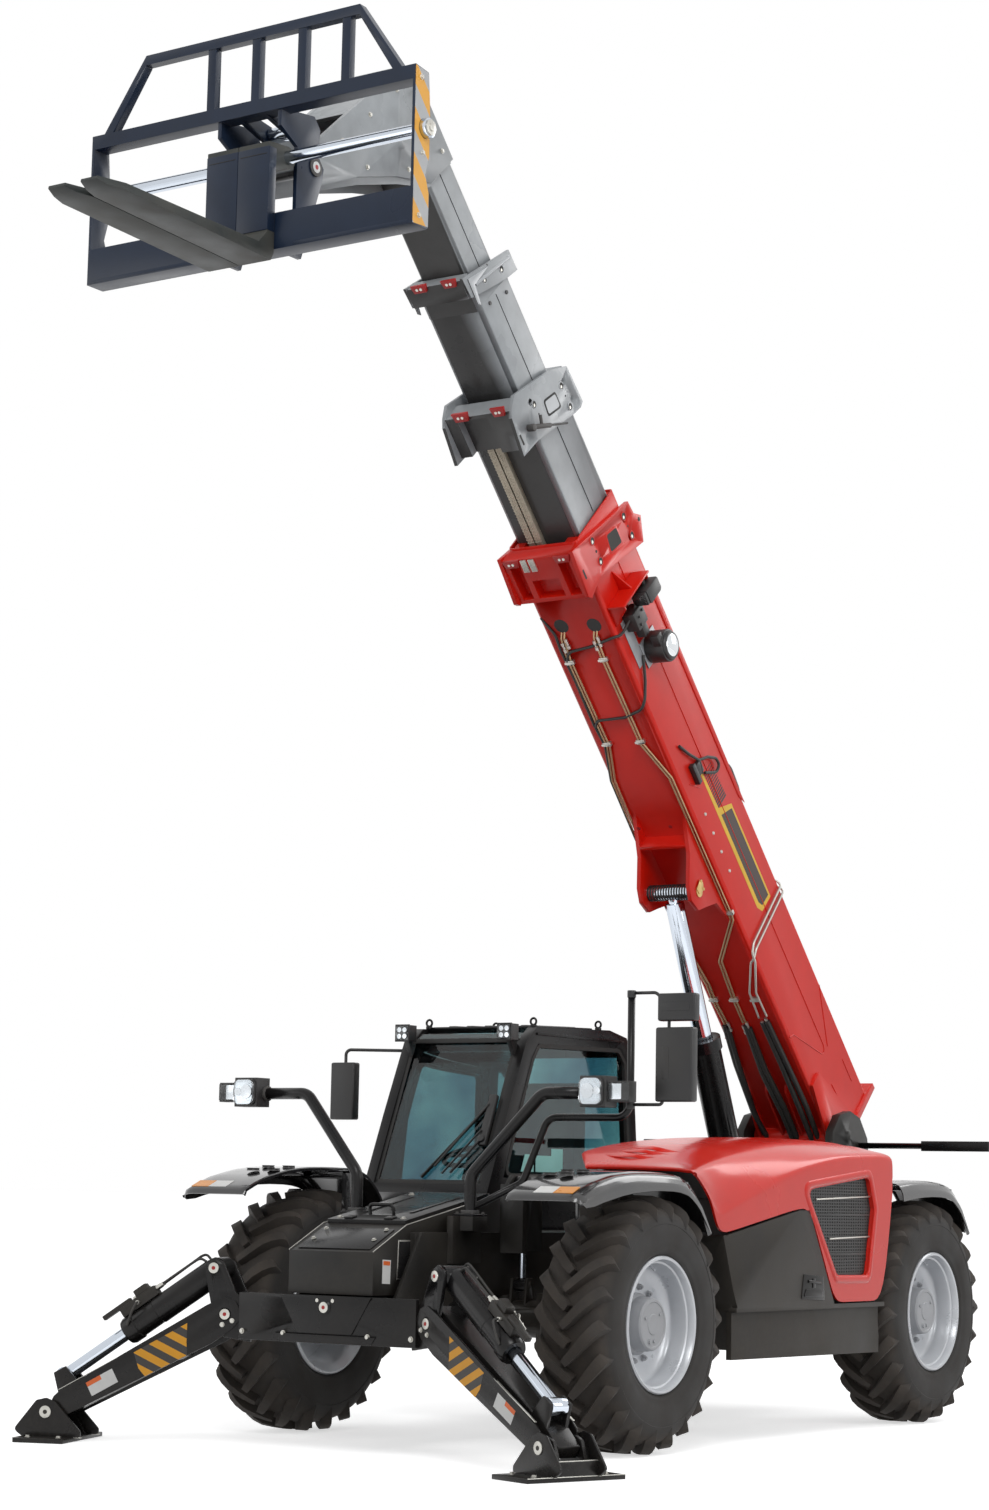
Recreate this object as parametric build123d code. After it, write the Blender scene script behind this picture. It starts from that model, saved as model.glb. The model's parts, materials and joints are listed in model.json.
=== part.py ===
# Telehandler with a four-section boom, fork carriage, front stabilisers and a side engine pod.
# Millimetres. +X is the machine's left, -Y its front, +Z up, the wheels stand on z = 0.
# Everything is drawn about mid-wheelbase and moved back by FRAME_Y, so that the origin is
# under the middle of the whole machine.
from build123d import *
from math import asin, atan2, cos, degrees, pi, radians, sin, sqrt
import os

# ---- driving sizes ---------------------------------------------------------------------
FRAME_Y = 1065          # mid-wheelbase lies this far behind the origin
PIN_GAP = 0.3           # radial clearance of a pin in its eye
RUN_GAP = 6             # clearance between pieces that move past each other

WHEELBASE = 3070
TRACK = 2000
AXLE_FRONT, AXLE_REAR = -WHEELBASE / 2, WHEELBASE / 2
AXLE_Z = 624.8          # the tyres stand on the flats of their lugs
TYRE_R = 625
TYRE_W = 400
LUG_H = 42
RIM_R = 305
RIM_W = 360
KINGPIN_INSET = 280     # kingpin to the wheel's middle
KINGPIN_X = TRACK / 2 - KINGPIN_INSET
KINGPIN_R = 28
HUB_R = 150
SPINDLE_R = 42          # stub that the wheel turns on
STEER_DEG = 30

FRAME_HALF = 300        # outer half-width of the main frame
FRAME_PLATE = 20
FRAME_Z0, FRAME_Z1 = 540, 1050
FRAME_Y0, FRAME_Y1 = -2330, 2240
BEAM_BACK = -2530       # back of the stabiliser beam, against the rails
SEAT_GAP = 0.3          # between pieces that sit on each other

BOOM_DEG = 45.73        # boom elevation at rest
PIVOT_Y, PIVOT_Z = 2141, 1619
PIVOT_PIN_R = 45
EAR_T = 30
LUG_IN = 150            # boom lugs of the lift cylinder, from the middle
LUG_S, LUG_N = 2080, -186       # lift cylinder's upper pin, along and square to the boom
LIFT_Y, LIFT_Z = 1480, 950      # lift cylinder's base pin
LIFT_BARREL_R, LIFT_ROD_R, LIFT_PIN_R, LIFT_EYE_R = 90, 55, 40, 44

# boom sections: half width, lower face, upper face, wall, tail and nose along the boom
SECTIONS = {
    "boom_base": (219, 0, 534, 9, -150, 4360),
    "boom_section_2": (202, 71, 495, 9, 830, 5000),
    "boom_section_3": (171, 116, 468, 8, 1530, 5760),
    "boom_section_4": (143, 151, 430, 8, 2360, 6960),
}
CORNER_R = 26

HEAD_S, HEAD_N = 7019, -733     # carriage pivot, along and square to the boom
HEAD_HALF = 165
HEAD_PIN_R = 35
TILT_S, TILT_N = 6757, 42       # tilt cylinder's rear pin

CARRIAGE_HALF = 980
CARRIAGE_AHEAD = 291.6          # face ahead of the carriage's pivot
CARRIAGE_BELOW = 488.3          # lower edge below the pivot
CARRIAGE_H = 765
BACKREST_H = 357
SHAFT_BEHIND, SHAFT_BELOW = 85, 13.3     # shaft behind the face and below the pivot
SHAFT_R = 33
FORK_W, FORK_T, FORK_GAP = 184, 55, 6
FORK_LENGTH = 1225              # tip ahead of the carriage's face
FORK_TRAVEL = 600

SPLAY_DEG = 20                  # stabilisers point this far ahead of square
LEG_X, LEG_Y, LEG_Z = 634, -2605, 636
LEG_LENGTH = 1030
FOOT_PIN_Z = 140
STAB_PIN_R = 28
CYL_R, CYL_Z = 64, 221          # upper cylinder pin from the leg pin, outward and up
ROD_ALONG, ROD_ABOVE = 900, 125  # rod pin from the leg pin, along the leg and above it
STAB_BARREL_R, STAB_ROD_R = 62, 34

CAB_X0, CAB_X1 = -1170, -345
CAB_WALL = 45
POD_X0, POD_X1 = 400, TRACK / 2 + 190
POD_FRONT, POD_REAR = AXLE_FRONT + 735, AXLE_REAR - 655     # ends of the pod, short of the wheels' sweep
PANEL = 22                      # sheet panels
TUBE_R = 30                     # lamp posts


# ---- helpers ---------------------------------------------------------------------------
def block(x0, x1, y0, y1, z0, z1):
    return Pos((x0 + x1) / 2, (y0 + y1) / 2, (z0 + z1) / 2) * Box(x1 - x0, y1 - y0, z1 - z0)


def outline(points):
    return make_face(Polyline(*points, close=True))


def side_plate(points, x0, x1):
    """Outline in (y, z), from x0 to x1."""
    return extrude(Plane.YZ.offset(x0) * outline(points), amount=x1 - x0)


def front_plate(points, y0, y1):
    """Outline in (x, z), from y0 to y1."""
    return extrude(Plane.XZ.offset(-y1) * outline(points), amount=y1 - y0)


def flat_plate(points, z0, z1):
    """Outline in (x, y), from z0 to z1."""
    return extrude(Plane.XY.offset(z0) * outline(points), amount=z1 - z0)


def bar_x(x0, x1, y, z, r):
    return Pos((x0 + x1) / 2, y, z) * Rot(0, 90, 0) * Cylinder(r, abs(x1 - x0))


def bar_y(y0, y1, x, z, r):
    return Pos(x, (y0 + y1) / 2, z) * Rot(90, 0, 0) * Cylinder(r, abs(y1 - y0))


def bar_z(z0, z1, x, y, r):
    return Pos(x, y, (z0 + z1) / 2) * Cylinder(r, z1 - z0)


def rod_between(a, b, r):
    a, b = Vector(*a), Vector(*b)
    return extrude(Plane(origin=a, z_dir=b - a) * Circle(r), amount=(b - a).length)


def bent_tube(points, bend, r):
    path = FilletPolyline(*points, radius=bend)
    return sweep(Plane(origin=path @ 0, z_dir=path % 0) * Circle(r), path=path)


def mirrored(shape):
    return mirror(shape, about=Plane.YZ)


def together(*pieces):
    """Separate solids kept in one node."""
    return Compound([solid for piece in pieces for solid in piece.solids()])


# ---- boom frame: x across, s along the boom, n square to it, from the pivot -----------------
BOOM_UP = radians(BOOM_DEG)
ALONG = Vector(0, -cos(BOOM_UP), sin(BOOM_UP))
SQUARE = Vector(0, sin(BOOM_UP), cos(BOOM_UP))
PIVOT = Vector(0, PIVOT_Y, PIVOT_Z)


def boom_point(x, s, n):
    return PIVOT + Vector(x, 0, 0) + ALONG * s + SQUARE * n


def boom_plate(points, x0, x1):
    """Outline in (s, n), from x0 to x1."""
    plane = Plane(origin=boom_point(x1, 0, 0), x_dir=ALONG, z_dir=(-1, 0, 0))
    return extrude(plane * outline(points), amount=x1 - x0)


def boom_block(x0, x1, s0, s1, n0, n1):
    return boom_plate([(s0, n0), (s1, n0), (s1, n1), (s0, n1)], x0, x1)


def boom_disc(s, n, r, x0, x1):
    at = boom_point(0, s, n)
    return bar_x(x0, x1, at.Y, at.Z, r)


def box_tube(half, n0, n1, wall, s0, s1):
    plane = Plane(origin=boom_point(0, s0, (n0 + n1) / 2), x_dir=(1, 0, 0), z_dir=ALONG)
    depth = n1 - n0
    ring = RectangleRounded(2 * half, depth, CORNER_R)
    ring -= RectangleRounded(2 * half - 2 * wall, depth - 2 * wall, CORNER_R - wall)
    return extrude(plane * ring, amount=s1 - s0)


# ---- wheels ------------------------------------------------------------------------------
LUG_COUNT = 22
LUG_DEG = 40            # lugs lean this far from straight across
LUG_HALF = 21
LUG_TOP = [(0, 625), (150, 623), (216, 600), (258, 558)]    # along the lug, radius
LUG_FOOT = [(258, 506), (225, 525), (150, 560), (0, 563)]


def tyre():
    """Along X about the origin, tread outward at x = 0 +- TYRE_W / 2."""
    half, crown = TYRE_W / 2, TYRE_R - LUG_H
    bead, foot = RIM_W / 2, RIM_R + 14
    outer = [(-bead + 26.6, foot), (-bead + 10.6, foot + 12.6), (-half + 4, RIM_R + 120), (-half + 12, crown - 62),
             (-half + 62, crown - 8), (0, crown), (half - 62, crown - 8), (half - 12, crown - 62),
             (half - 4, RIM_R + 120), (bead - 10.6, foot + 12.6), (bead - 26.6, foot)]
    inner = [(bead - 56, foot), (half - 36, RIM_R + 120), (half - 46, crown - 80),
             (0, crown - 30), (-half + 46, crown - 80), (-half + 36, RIM_R + 120),
             (-bead + 56, foot)]
    carcass = revolve(Plane.XY * outline(outer + inner), axis=Axis.X, revolution_arc=360)
    lean, edge = sin(radians(LUG_DEG)), LUG_HALF * cos(radians(LUG_DEG))
    lug_side = [(d, sqrt(r ** 2 - (d * lean + edge) ** 2)) for d, r in LUG_TOP + LUG_FOOT]
    bar = extrude(Plane.XY.offset(-LUG_HALF) * outline(lug_side), amount=2 * LUG_HALF)
    lugs = []
    pitch = 360 / LUG_COUNT
    for count in range(LUG_COUNT):
        left = Rot(0, LUG_DEG, 0) * bar
        lugs.append(Rot(count * pitch, 0, 0) * (Pos(-12, 0, 0) * left))
        lugs.append(Rot((count + 0.5) * pitch, 0, 0) * mirror(Pos(-12, 0, 0) * left, about=Plane.YZ))
    return carcass + lugs


def rim():
    """Wheel disc, barrel and planetary hub about the origin, outside at +X."""
    half = RIM_W / 2
    section = [(-half, RIM_R + 26), (-half, RIM_R - 4), (-half + 60, RIM_R - 30), (20, RIM_R - 46),
               (60, RIM_R - 46), (60, HUB_R - 10), (78, HUB_R - 10), (78, RIM_R - 60),
               (half - 36, RIM_R - 22), (half - 8, RIM_R - 6), (half, RIM_R + 26),
               (half - 10, RIM_R + 26), (half - 26, RIM_R + 13.7), (-half + 26, RIM_R + 13.7),
               (-half + 10, RIM_R + 26)]
    disc = revolve(Plane.XY * outline(section), axis=Axis.X, revolution_arc=360)
    hub = bar_x(-40, 110, 0, 0, HUB_R) + bar_x(110, 128, 0, 0, HUB_R - 26)
    return disc + hub - bar_x(-41, 30, 0, 0, SPINDLE_R + PIN_GAP)


AXLE_PAD_X, AXLE_PAD_Z = 330, 115      # pad under the frame rails
LEVEL_X, LEVEL_Y = 375, AXLE_FRONT - 15     # levelling cylinder
LEVEL_Z0, LEVEL_Z1 = 790, 1300
LEVEL_PIN_R = 14


def knuckle():
    """Kingpin block and spindle, kingpin on the Z axis through the origin, wheel at +X."""
    body = block(-50, 62, -50, 50, -84, 84)
    reach = TRACK / 2 - KINGPIN_X - 40
    spindle = bar_x(50, reach - RUN_GAP, 0, 0, 78) + bar_x(50, reach + 60, 0, 0, SPINDLE_R)
    kingpin = bar_z(-138, 138, 0, 0, KINGPIN_R)
    arm = block(-20, 30, 45, 170, -30, 10)
    return body + spindle + kingpin + arm


def axle():
    """Axle housing along X about the origin."""
    bulge = [(-185, 0), (-165, 105), (-95, 168), (95, 168), (165, 105), (185, 0)]
    tube = bar_x(-KINGPIN_X + 160, KINGPIN_X - 160, 0, 0, 92) + revolve(Plane.XY * outline(bulge), axis=Axis.X, revolution_arc=360)
    tube += block(-AXLE_PAD_X, AXLE_PAD_X, -80, 80, -110, AXLE_PAD_Z)
    for side in (-1, 1):
        end = block(*sorted((side * (KINGPIN_X - 220), side * (KINGPIN_X - 80))), -75, 75, -132, 132)
        end += block(*sorted((side * (KINGPIN_X - 82), side * (KINGPIN_X + 58))), -60, 60, -132, 132)
        end -= block(*sorted((side * (KINGPIN_X - 80), side * (KINGPIN_X + 60))), -61, 61, -90, 90)
        end -= bar_z(-133, 133, side * KINGPIN_X, 0, KINGPIN_R + PIN_GAP)
        tube += end
    return tube


def leveling_lugs():
    """Lugs of the levelling cylinder on the front axle, with their pin."""
    pair = [side_plate([(LEVEL_Y - 50, 640), (LEVEL_Y + 50, 640), (LEVEL_Y + 30, LEVEL_Z0 + 36),
                        (LEVEL_Y - 30, LEVEL_Z0 + 36)], x, x + 14)
            for x in (LEVEL_X - 50, LEVEL_X + 36)]
    return pair[0] + pair[1] + bar_x(LEVEL_X - 54, LEVEL_X + 54, LEVEL_Y, LEVEL_Z0, LEVEL_PIN_R)


# mudguards, y and z from the wheel's centre: top line of the front one, its rear part, and the lower edge of its lip
FENDER_NOSE = [(-815, 595), (-798, 618), (-625, 684), (-440, 722)]
FENDER_BACK = [(-255, 738), (-60, 740), (60, 738), (205, 722), (300, 674), (386, 594), (468, 453)]
FENDER_LIP = [(-640, 583), (-440, 622), (-255, 639), (-15, 651), (120, 640), (231, 604), (330, 552), (425, 488)]
FENDER_X = (-215, 205)
FENDER_T = 16


def strip(points, thickness):
    """Closed outline of a line of points and the same line set in by a thickness."""
    inner = []
    for i, (y, z) in enumerate(points):
        before, after = points[max(i - 1, 0)], points[min(i + 1, len(points) - 1)]
        run, rise = after[0] - before[0], after[1] - before[1]
        length = sqrt(run ** 2 + rise ** 2)
        inner.append((y + rise / length * thickness, z - run / length * thickness))
    return list(points) + inner[::-1]


def fender(top, lip):
    """Mudguard over a wheel at the origin, carried from the knuckle at -X."""
    x0, x1 = FENDER_X
    shell = side_plate(strip(top, FENDER_T), x0, x1)
    shell += side_plate(top + lip[::-1], x1 - 12, x1)
    foot = KINGPIN_X - TRACK / 2
    under = 738 - FENDER_T
    stem = block(foot - 28, foot + 30, -30, 30, 138 + SEAT_GAP, under + 4)
    return shell + stem + block(foot - 28, x0 + 60, -30, 30, under - 14, under + 4)


# ---- chassis -------------------------------------------------------------------------------
NOSE_HALF = 250
TOW_Y, TOW_R = 2420, 16
LIFT_LUG_IN = 106        # lift cylinder lugs stand this far from the middle
POD_FLOOR = 668
CAB_FLOOR = 905
TANK_TOP = 826
POST_BASE = (345, -1985, 1130)
NOSE_TOP = [(-2660, 955), (-2390, 1082), (-1640, 1225)]     # y, z of the sloping top
NOSE_HINGE_R, NOSE_HINGE_HALF = 9, 220
NOSE_HINGE = (-1632, 1225 + NOSE_HINGE_R + SEAT_GAP)


def chassis_frame():
    inner = FRAME_HALF - FRAME_PLATE
    front = BEAM_BACK + SEAT_GAP
    rails = [(front, 600), (FRAME_Y0, FRAME_Z0), (FRAME_Y1, FRAME_Z0),
             (FRAME_Y1, FRAME_Z1 + 60), (2420, 1500), (2400, 1620), (2300, 1740), (2170, 1780),
             (2030, 1750), (1940, 1650), (1880, FRAME_Z1 + 120), (1700, FRAME_Z1), (FRAME_Y0, FRAME_Z1),
             (front, 742)]
    left = side_plate(rails, inner, FRAME_HALF)
    ear = [(1900, FRAME_Z1 + 100), (2300, FRAME_Z1 + 100), (2420, 1500), (2400, 1620), (2300, 1740),
           (2170, 1780), (2030, 1750), (1940, 1650)]
    left += side_plate(ear, FRAME_HALF, FRAME_HALF + EAR_T)
    frame = left + mirrored(left)
    frame += block(-inner, inner, FRAME_Y0, 620, FRAME_Z1 - FRAME_PLATE, FRAME_Z1)
    frame += block(-inner, inner, front, 1150, FRAME_Z0 + 60, FRAME_Z0 + 60 + FRAME_PLATE)
    frame += block(-inner, inner, FRAME_Y1 - 300, FRAME_Y1 + 120, FRAME_Z0 + 60, FRAME_Z1 + 40)
    frame += block(-inner, inner, FRAME_Y0 - 30, FRAME_Y0, FRAME_Z0 + 70, FRAME_Z1)
    # pin of the boom
    frame += bar_x(-FRAME_HALF - EAR_T - 14, FRAME_HALF + EAR_T + 14, PIVOT_Y, PIVOT_Z, PIVOT_PIN_R)
    # cross beam, lugs and pin of the lift cylinder
    frame += block(-inner, inner, LIFT_Y + 110, LIFT_Y + 150, LIFT_Z - 75, FRAME_Z1)
    lug = [(LIFT_Y + 130, LIFT_Z - 75), (LIFT_Y + 130, LIFT_Z + 95), (LIFT_Y + 20, LIFT_Z + 78),
           (LIFT_Y - 60, LIFT_Z + 50), (LIFT_Y - 82, LIFT_Z), (LIFT_Y - 50, LIFT_Z - 62),
           (LIFT_Y + 20, LIFT_Z - 75)]
    for x0 in (LIFT_LUG_IN, -LIFT_LUG_IN - 30):
        frame += side_plate(lug, x0, x0 + 30)
    frame += bar_x(-LIFT_LUG_IN - 34, LIFT_LUG_IN + 34, LIFT_Y, LIFT_Z, LIFT_PIN_R)
    # carriers of the pod, the cab and the tank
    for y in (-420, 480):
        frame += block(FRAME_HALF, POD_X0 + 55, y, y + 90, 560, POD_FLOOR - SEAT_GAP)
        frame += block(-1000, -FRAME_HALF, y, y + 90, TANK_TOP + SEAT_GAP, CAB_FLOOR - SEAT_GAP)
    # sloping nose
    nose = [(FRAME_Y0, 752), (-2660, 752)] + NOSE_TOP + [(-1500, 1225), (-1500, FRAME_Z1 - 2),
                                                         (FRAME_Y0, FRAME_Z1 - 2)]
    nose[2] = (-2660, 955)
    shell = side_plate(nose, -NOSE_HALF, NOSE_HALF)
    well = [(-2360, 1030), (-2360, 1200), (-1700, 1330), (-1700, 1030)]
    shell -= side_plate(well, -NOSE_HALF + 40, NOSE_HALF - 40)
    frame += shell
    # brackets of the lamp posts and ears of the levelling cylinder
    for side in (-1, 1):
        frame += block(*sorted((side * 250, side * 405)), -2050, -1920, 1060, POST_BASE[2] - SEAT_GAP)
        frame += block(*sorted((side * 295, side * 330)), -2110, -1860, 900, 1130)
    for x in (LEVEL_X - 56, LEVEL_X + 36):
        frame += side_plate([(LEVEL_Y - 90, 960), (LEVEL_Y + 90, 960), (LEVEL_Y + 90, 1290), (LEVEL_Y + 40, 1340),
                             (LEVEL_Y - 40, 1340), (LEVEL_Y - 90, 1290)], x, x + 20)
    frame += block(FRAME_HALF - 5, LEVEL_X + 56, LEVEL_Y - 90, LEVEL_Y - 40, 950, 1290)
    frame += bar_x(LEVEL_X - 60, LEVEL_X + 60, LEVEL_Y, LEVEL_Z1, LEVEL_PIN_R)
    # tow clevis
    for z in (660, 750):
        ear = block(-60, 60, FRAME_Y1 + 100, TOW_Y + 50, z, z + 25)
        frame += ear - bar_z(z - 1, z + 26, 0, TOW_Y, TOW_R)
    for y in (AXLE_FRONT, AXLE_REAR):
        frame -= block(-700, 700, y - 215, y + 215, 0, AXLE_Z + AXLE_PAD_Z + SEAT_GAP)
    return frame


def nose_hatch():
    """Panel over the nose's well, lying on the sloping top."""
    low, high = NOSE_TOP[1], NOSE_TOP[2]
    slope = atan2(high[1] - low[1], high[0] - low[0])
    length = sqrt((high[0] - low[0]) ** 2 + (high[1] - low[1]) ** 2)
    lid = Pos(0, length / 2, 10 + SEAT_GAP) * Box(2 * NOSE_HALF - 30, length - 30, 20)
    grip = bent_tube([(-70, 150, 18), (-70, 150, 70), (70, 150, 70), (70, 150, 18)], 20, 9)
    leaf = side_plate([(-1670, 1232), (-1670, 1240), (-1634, 1242), (-1632, 1232), (-1642, 1228.5)],
                      -NOSE_HINGE_HALF, NOSE_HINGE_HALF)
    hinge = leaf + bar_x(-NOSE_HINGE_HALF, NOSE_HINGE_HALF, *NOSE_HINGE, NOSE_HINGE_R)
    return Pos(0, low[0], low[1]) * Rot(degrees(slope), 0, 0) * (lid + grip) + hinge


# ---- stabilisers -----------------------------------------------------------------------------
LEG_DROP = LEG_Z - FOOT_PIN_Z
LEG_DEG = degrees(asin(LEG_DROP / LEG_LENGTH))
LEG_AT = Location((LEG_X, LEG_Y, LEG_Z), (0, 0, -SPLAY_DEG))
EAR_IN = 76             # ears of the beam stand this far either side of the leg's plane


def leg_point(along, above):
    a = radians(-LEG_DEG)
    return along * cos(a) - above * sin(a), along * sin(a) + above * cos(a)


def stab_plate(points, y0, y1):
    """Outline in (outward, up) from the leg pin, y0 to y1 across the leg's plane."""
    return LEG_AT * front_plate(points, y0, y1)


def stab_pin(outward, up, r, y0, y1):
    return LEG_AT * bar_y(y0, y1, outward, up, r)


def along_leg(points):
    return [leg_point(along, above) for along, above in points]


BEAM_FACE = -2692


def stabilizer_beam():
    top, low = 745, 520
    half = 525
    beam = block(-half, half, BEAM_FACE, BEAM_BACK, low, 650)
    beam += block(-half, half, BEAM_FACE, BEAM_FACE + 28, 640, top)
    beam += block(-FRAME_HALF, FRAME_HALF, BEAM_BACK - 20, BEAM_BACK, 640, 740)
    ear = [(-130, -130), (70, -100), (70, 10), (CYL_R + 48, CYL_Z - 20), (CYL_R + 46, CYL_Z + 26),
           (CYL_R, CYL_Z + 52), (CYL_R - 46, CYL_Z + 26), (-50, 100), (-130, 60)]
    for y0 in (-EAR_IN - 22, EAR_IN):
        plate = stab_plate(ear, y0, y0 + 22)
        beam += plate + mirrored(plate)
    root = stab_plate([(-230, -116), (-122, -116), (-122, 60), (-230, 60)], -EAR_IN - 22, EAR_IN + 22)
    beam += root + mirrored(root)
    for outward, up in ((0, 0), (CYL_R, CYL_Z)):
        pin = stab_pin(outward, up, STAB_PIN_R, -EAR_IN - 34, EAR_IN + 34)
        beam += pin + mirrored(pin)
    beam += bar_y(BEAM_FACE - 14, BEAM_FACE + 10, 0, 690, 34)
    return beam


LEG_HALF = 62


def stabilizer_leg():
    half = LEG_HALF
    body = along_leg([(-70, -40), (-70, 40), (-30, 78), (60, 80), (LEG_LENGTH - 60, 52),
                      (LEG_LENGTH + 44, 30), (LEG_LENGTH + 44, -30), (LEG_LENGTH - 40, -52), (0, -78)])
    leg = stab_plate(body, -half, half)
    leg -= stab_pin(0, 0, STAB_PIN_R + PIN_GAP, -half - 1, half + 1)
    lug = along_leg([(ROD_ALONG - 70, 40), (ROD_ALONG + 60, 40), (ROD_ALONG + 34, ROD_ABOVE + 34),
                     (ROD_ALONG - 34, ROD_ABOVE + 34)])
    for y0 in (-half, half - 18):
        leg += stab_plate(lug, y0, y0 + 18)
    out, up = leg_point(LEG_LENGTH, 0)
    leg += stab_pin(out, up, STAB_PIN_R, -half - 36, half + 36)
    return leg


CYL_DIR = Vector(*leg_point(ROD_ALONG, ROD_ABOVE)) - Vector(CYL_R, CYL_Z)
STAB_BARREL_L = 575


def stab_axis_point(distance):
    step = CYL_DIR.normalized() * distance
    return CYL_R + step.X, CYL_Z + step.Y


def stab_rod_solid(d0, d1, r):
    a, b = stab_axis_point(d0), stab_axis_point(d1)
    return LEG_AT * rod_between((a[0], 0, a[1]), (b[0], 0, b[1]), r)


def stabilizer_barrel():
    wide = EAR_IN - SEAT_GAP
    eye = stab_pin(CYL_R, CYL_Z, 50, -wide, wide)
    tube = stab_rod_solid(20, STAB_BARREL_L, STAB_BARREL_R)
    barrel = tube + eye
    barrel -= stab_rod_solid(90, STAB_BARREL_L + 1, STAB_ROD_R + PIN_GAP)
    barrel -= stab_pin(CYL_R, CYL_Z, STAB_PIN_R + PIN_GAP, -wide - 1, wide + 1)
    return barrel


def stabilizer_rod():
    length = CYL_DIR.length
    rod = stab_rod_solid(length - 560, length, STAB_ROD_R)
    out, up = leg_point(ROD_ALONG, ROD_ABOVE)
    eye_half = LEG_HALF - 18 - SEAT_GAP
    return rod + stab_pin(out, up, 42, -eye_half, eye_half)


def stabilizer_foot():
    """Pad with two cheeks outside the leg, flat on the ground."""
    out, up = leg_point(LEG_LENGTH, 0)
    ground = -LEG_Z
    pad = LEG_AT * block(out - 150, out + 110, -275, 275, ground, ground + 22)
    cheek = [(out - 140, ground + 20), (out + 100, ground + 20), (out + 46, up + 30), (out, up + 52),
             (out - 46, up + 30)]
    for y0 in (-LEG_HALF - RUN_GAP - 20, LEG_HALF + RUN_GAP):
        pad += stab_plate(cheek, y0, y0 + 20)
    return pad - stab_pin(out, up, STAB_PIN_R + PIN_GAP, -120, 120)


# ---- boom --------------------------------------------------------------------------------------
def section(name):
    half, n0, n1, wall, s0, s1 = SECTIONS[name]
    return box_tube(half, n0, n1, wall, s0, s1)


def collar_plate(outline_sn, holes, x0, x1):
    plate = boom_plate(outline_sn, x0, x1)
    for s, n, r in holes:
        plate -= boom_disc(s, n, r, x0 - 1, x1 + 1)
    return plate


def wear_pads(outer, inner, s0, s1, ring):
    """Pads at the corners between two sections; ring is how far the collar's ring comes in."""
    half, n0, n1, wall = SECTIONS[outer][:4]
    in_half, in_n0, in_n1 = SECTIONS[inner][:3]
    side = half - wall + 1 - ring
    pads = []
    for x0, x1 in ((-in_half + 8, -in_half + 70), (in_half - 70, in_half - 8)):
        pads.append(boom_block(x0, x1, s0, s1, n0 + wall - 1, in_n0 - SEAT_GAP))
        pads.append(boom_block(x0, x1, s0, s1, in_n1 + SEAT_GAP, n1 - wall + 1))
    for n in (in_n0 + 40, in_n1 - 100):
        pads.append(boom_block(in_half + SEAT_GAP, side, s0, s1, n, n + 60))
        pads.append(boom_block(-side, -in_half - SEAT_GAP, s0, s1, n, n + 60))
    return pads


def boom_base():
    half, n0, n1, wall, s0, s1 = SECTIONS["boom_base"]
    base = section("boom_base")
    # tail flange and pivot tube
    flange = boom_plate([(s0, -30), (s0 + 40, -30), (s0 + 40, n1 + 80), (s0, n1 + 80)], -half - 20, half + 20)
    flange -= boom_plate([(s0 - 1, n0 + 60), (s0 + 41, n0 + 60), (s0 + 41, n1 - 60), (s0 - 1, n1 - 60)],
                         -half + 60, half - 60)
    base += flange
    cheek = [(-140, -60), (60, -70), (420, n0 + 4), (420, 120), (-140, 300)]
    for x0 in (half, -half - 20):
        base += boom_plate(cheek, x0, x0 + 20)
    base += boom_disc(0, 0, 78, -FRAME_HALF + 26, FRAME_HALF - 26)
    base -= boom_disc(0, 0, PIVOT_PIN_R + PIN_GAP, -FRAME_HALF, FRAME_HALF)
    # lugs of the lift cylinder
    lug = [(1650, 4), (2520, 4), (2300, -120), (2170, -250), (2090, -285), (2000, -260), (1960, -180),
           (1900, -70)]
    for x0 in (LUG_IN, -LUG_IN - 25):
        base += boom_plate(lug, x0, x0 + 25)
    base += boom_block(-LUG_IN, LUG_IN, 2330, 2350, -100, 4)
    # collar
    side = [(4360, -100), (4242, 583), (4157, 593), (4107, 650), (3978, 573), (4094, 57), (4055, -101),
            (4080, -125)]
    holes = [(4270, 130, 22), (4160, 120, 22), (4190, 480, 22), (4080, 470, 22)]
    for x0 in (half, -half - 24):
        base += collar_plate(side, holes, x0, x0 + 24)
    front = boom_block(-half - 1, half + 1, 4060, 4345, -95, 6)
    for x0, x1, a, b in ((-190, -120, 4085, 4320), (-85, 85, 4085, 4200), (120, 190, 4085, 4320)):
        front -= boom_block(x0, x1, a, b, -96, -30)
    base += front
    return base + wear_pads("boom_base", "boom_section_2", 4285, 4350, 0)


def boom_section_2():
    half, n0, n1, wall, s0, s1 = SECTIONS["boom_section_2"]
    body = section("boom_section_2")
    side = [(5240, -60), (5282, 5), (5200, 400), (5126, 572), (4893, 585), (4880, 546), (4889, 461),
            (4975, 55), (4985, -130), (5200, -95)]
    holes = [(5170, 120, 20), (5080, 480, 20), (4960, 500, 20), (5030, -20, 34)]
    for x0 in (half, -half - 20):
        body += collar_plate(side, holes, x0, x0 + 20)
    body += boom_block(-half - 1, half + 1, 4995, 5235, -70, n0 + 6) - boom_block(-130, 60, 4990, 5215, -71, -20)
    body += boom_block(-half, half, 4900, 5140, n1 - 4, n1 + 60)
    third = SECTIONS["boom_section_3"]
    ring = half - 1 - third[0] - RUN_GAP
    body += box_tube(half - 1, n0 - 6, n1 + 4, ring, 4990, 5120)
    return body + wear_pads("boom_section_2", "boom_section_3", 5040, 5110, ring - wall)


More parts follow.
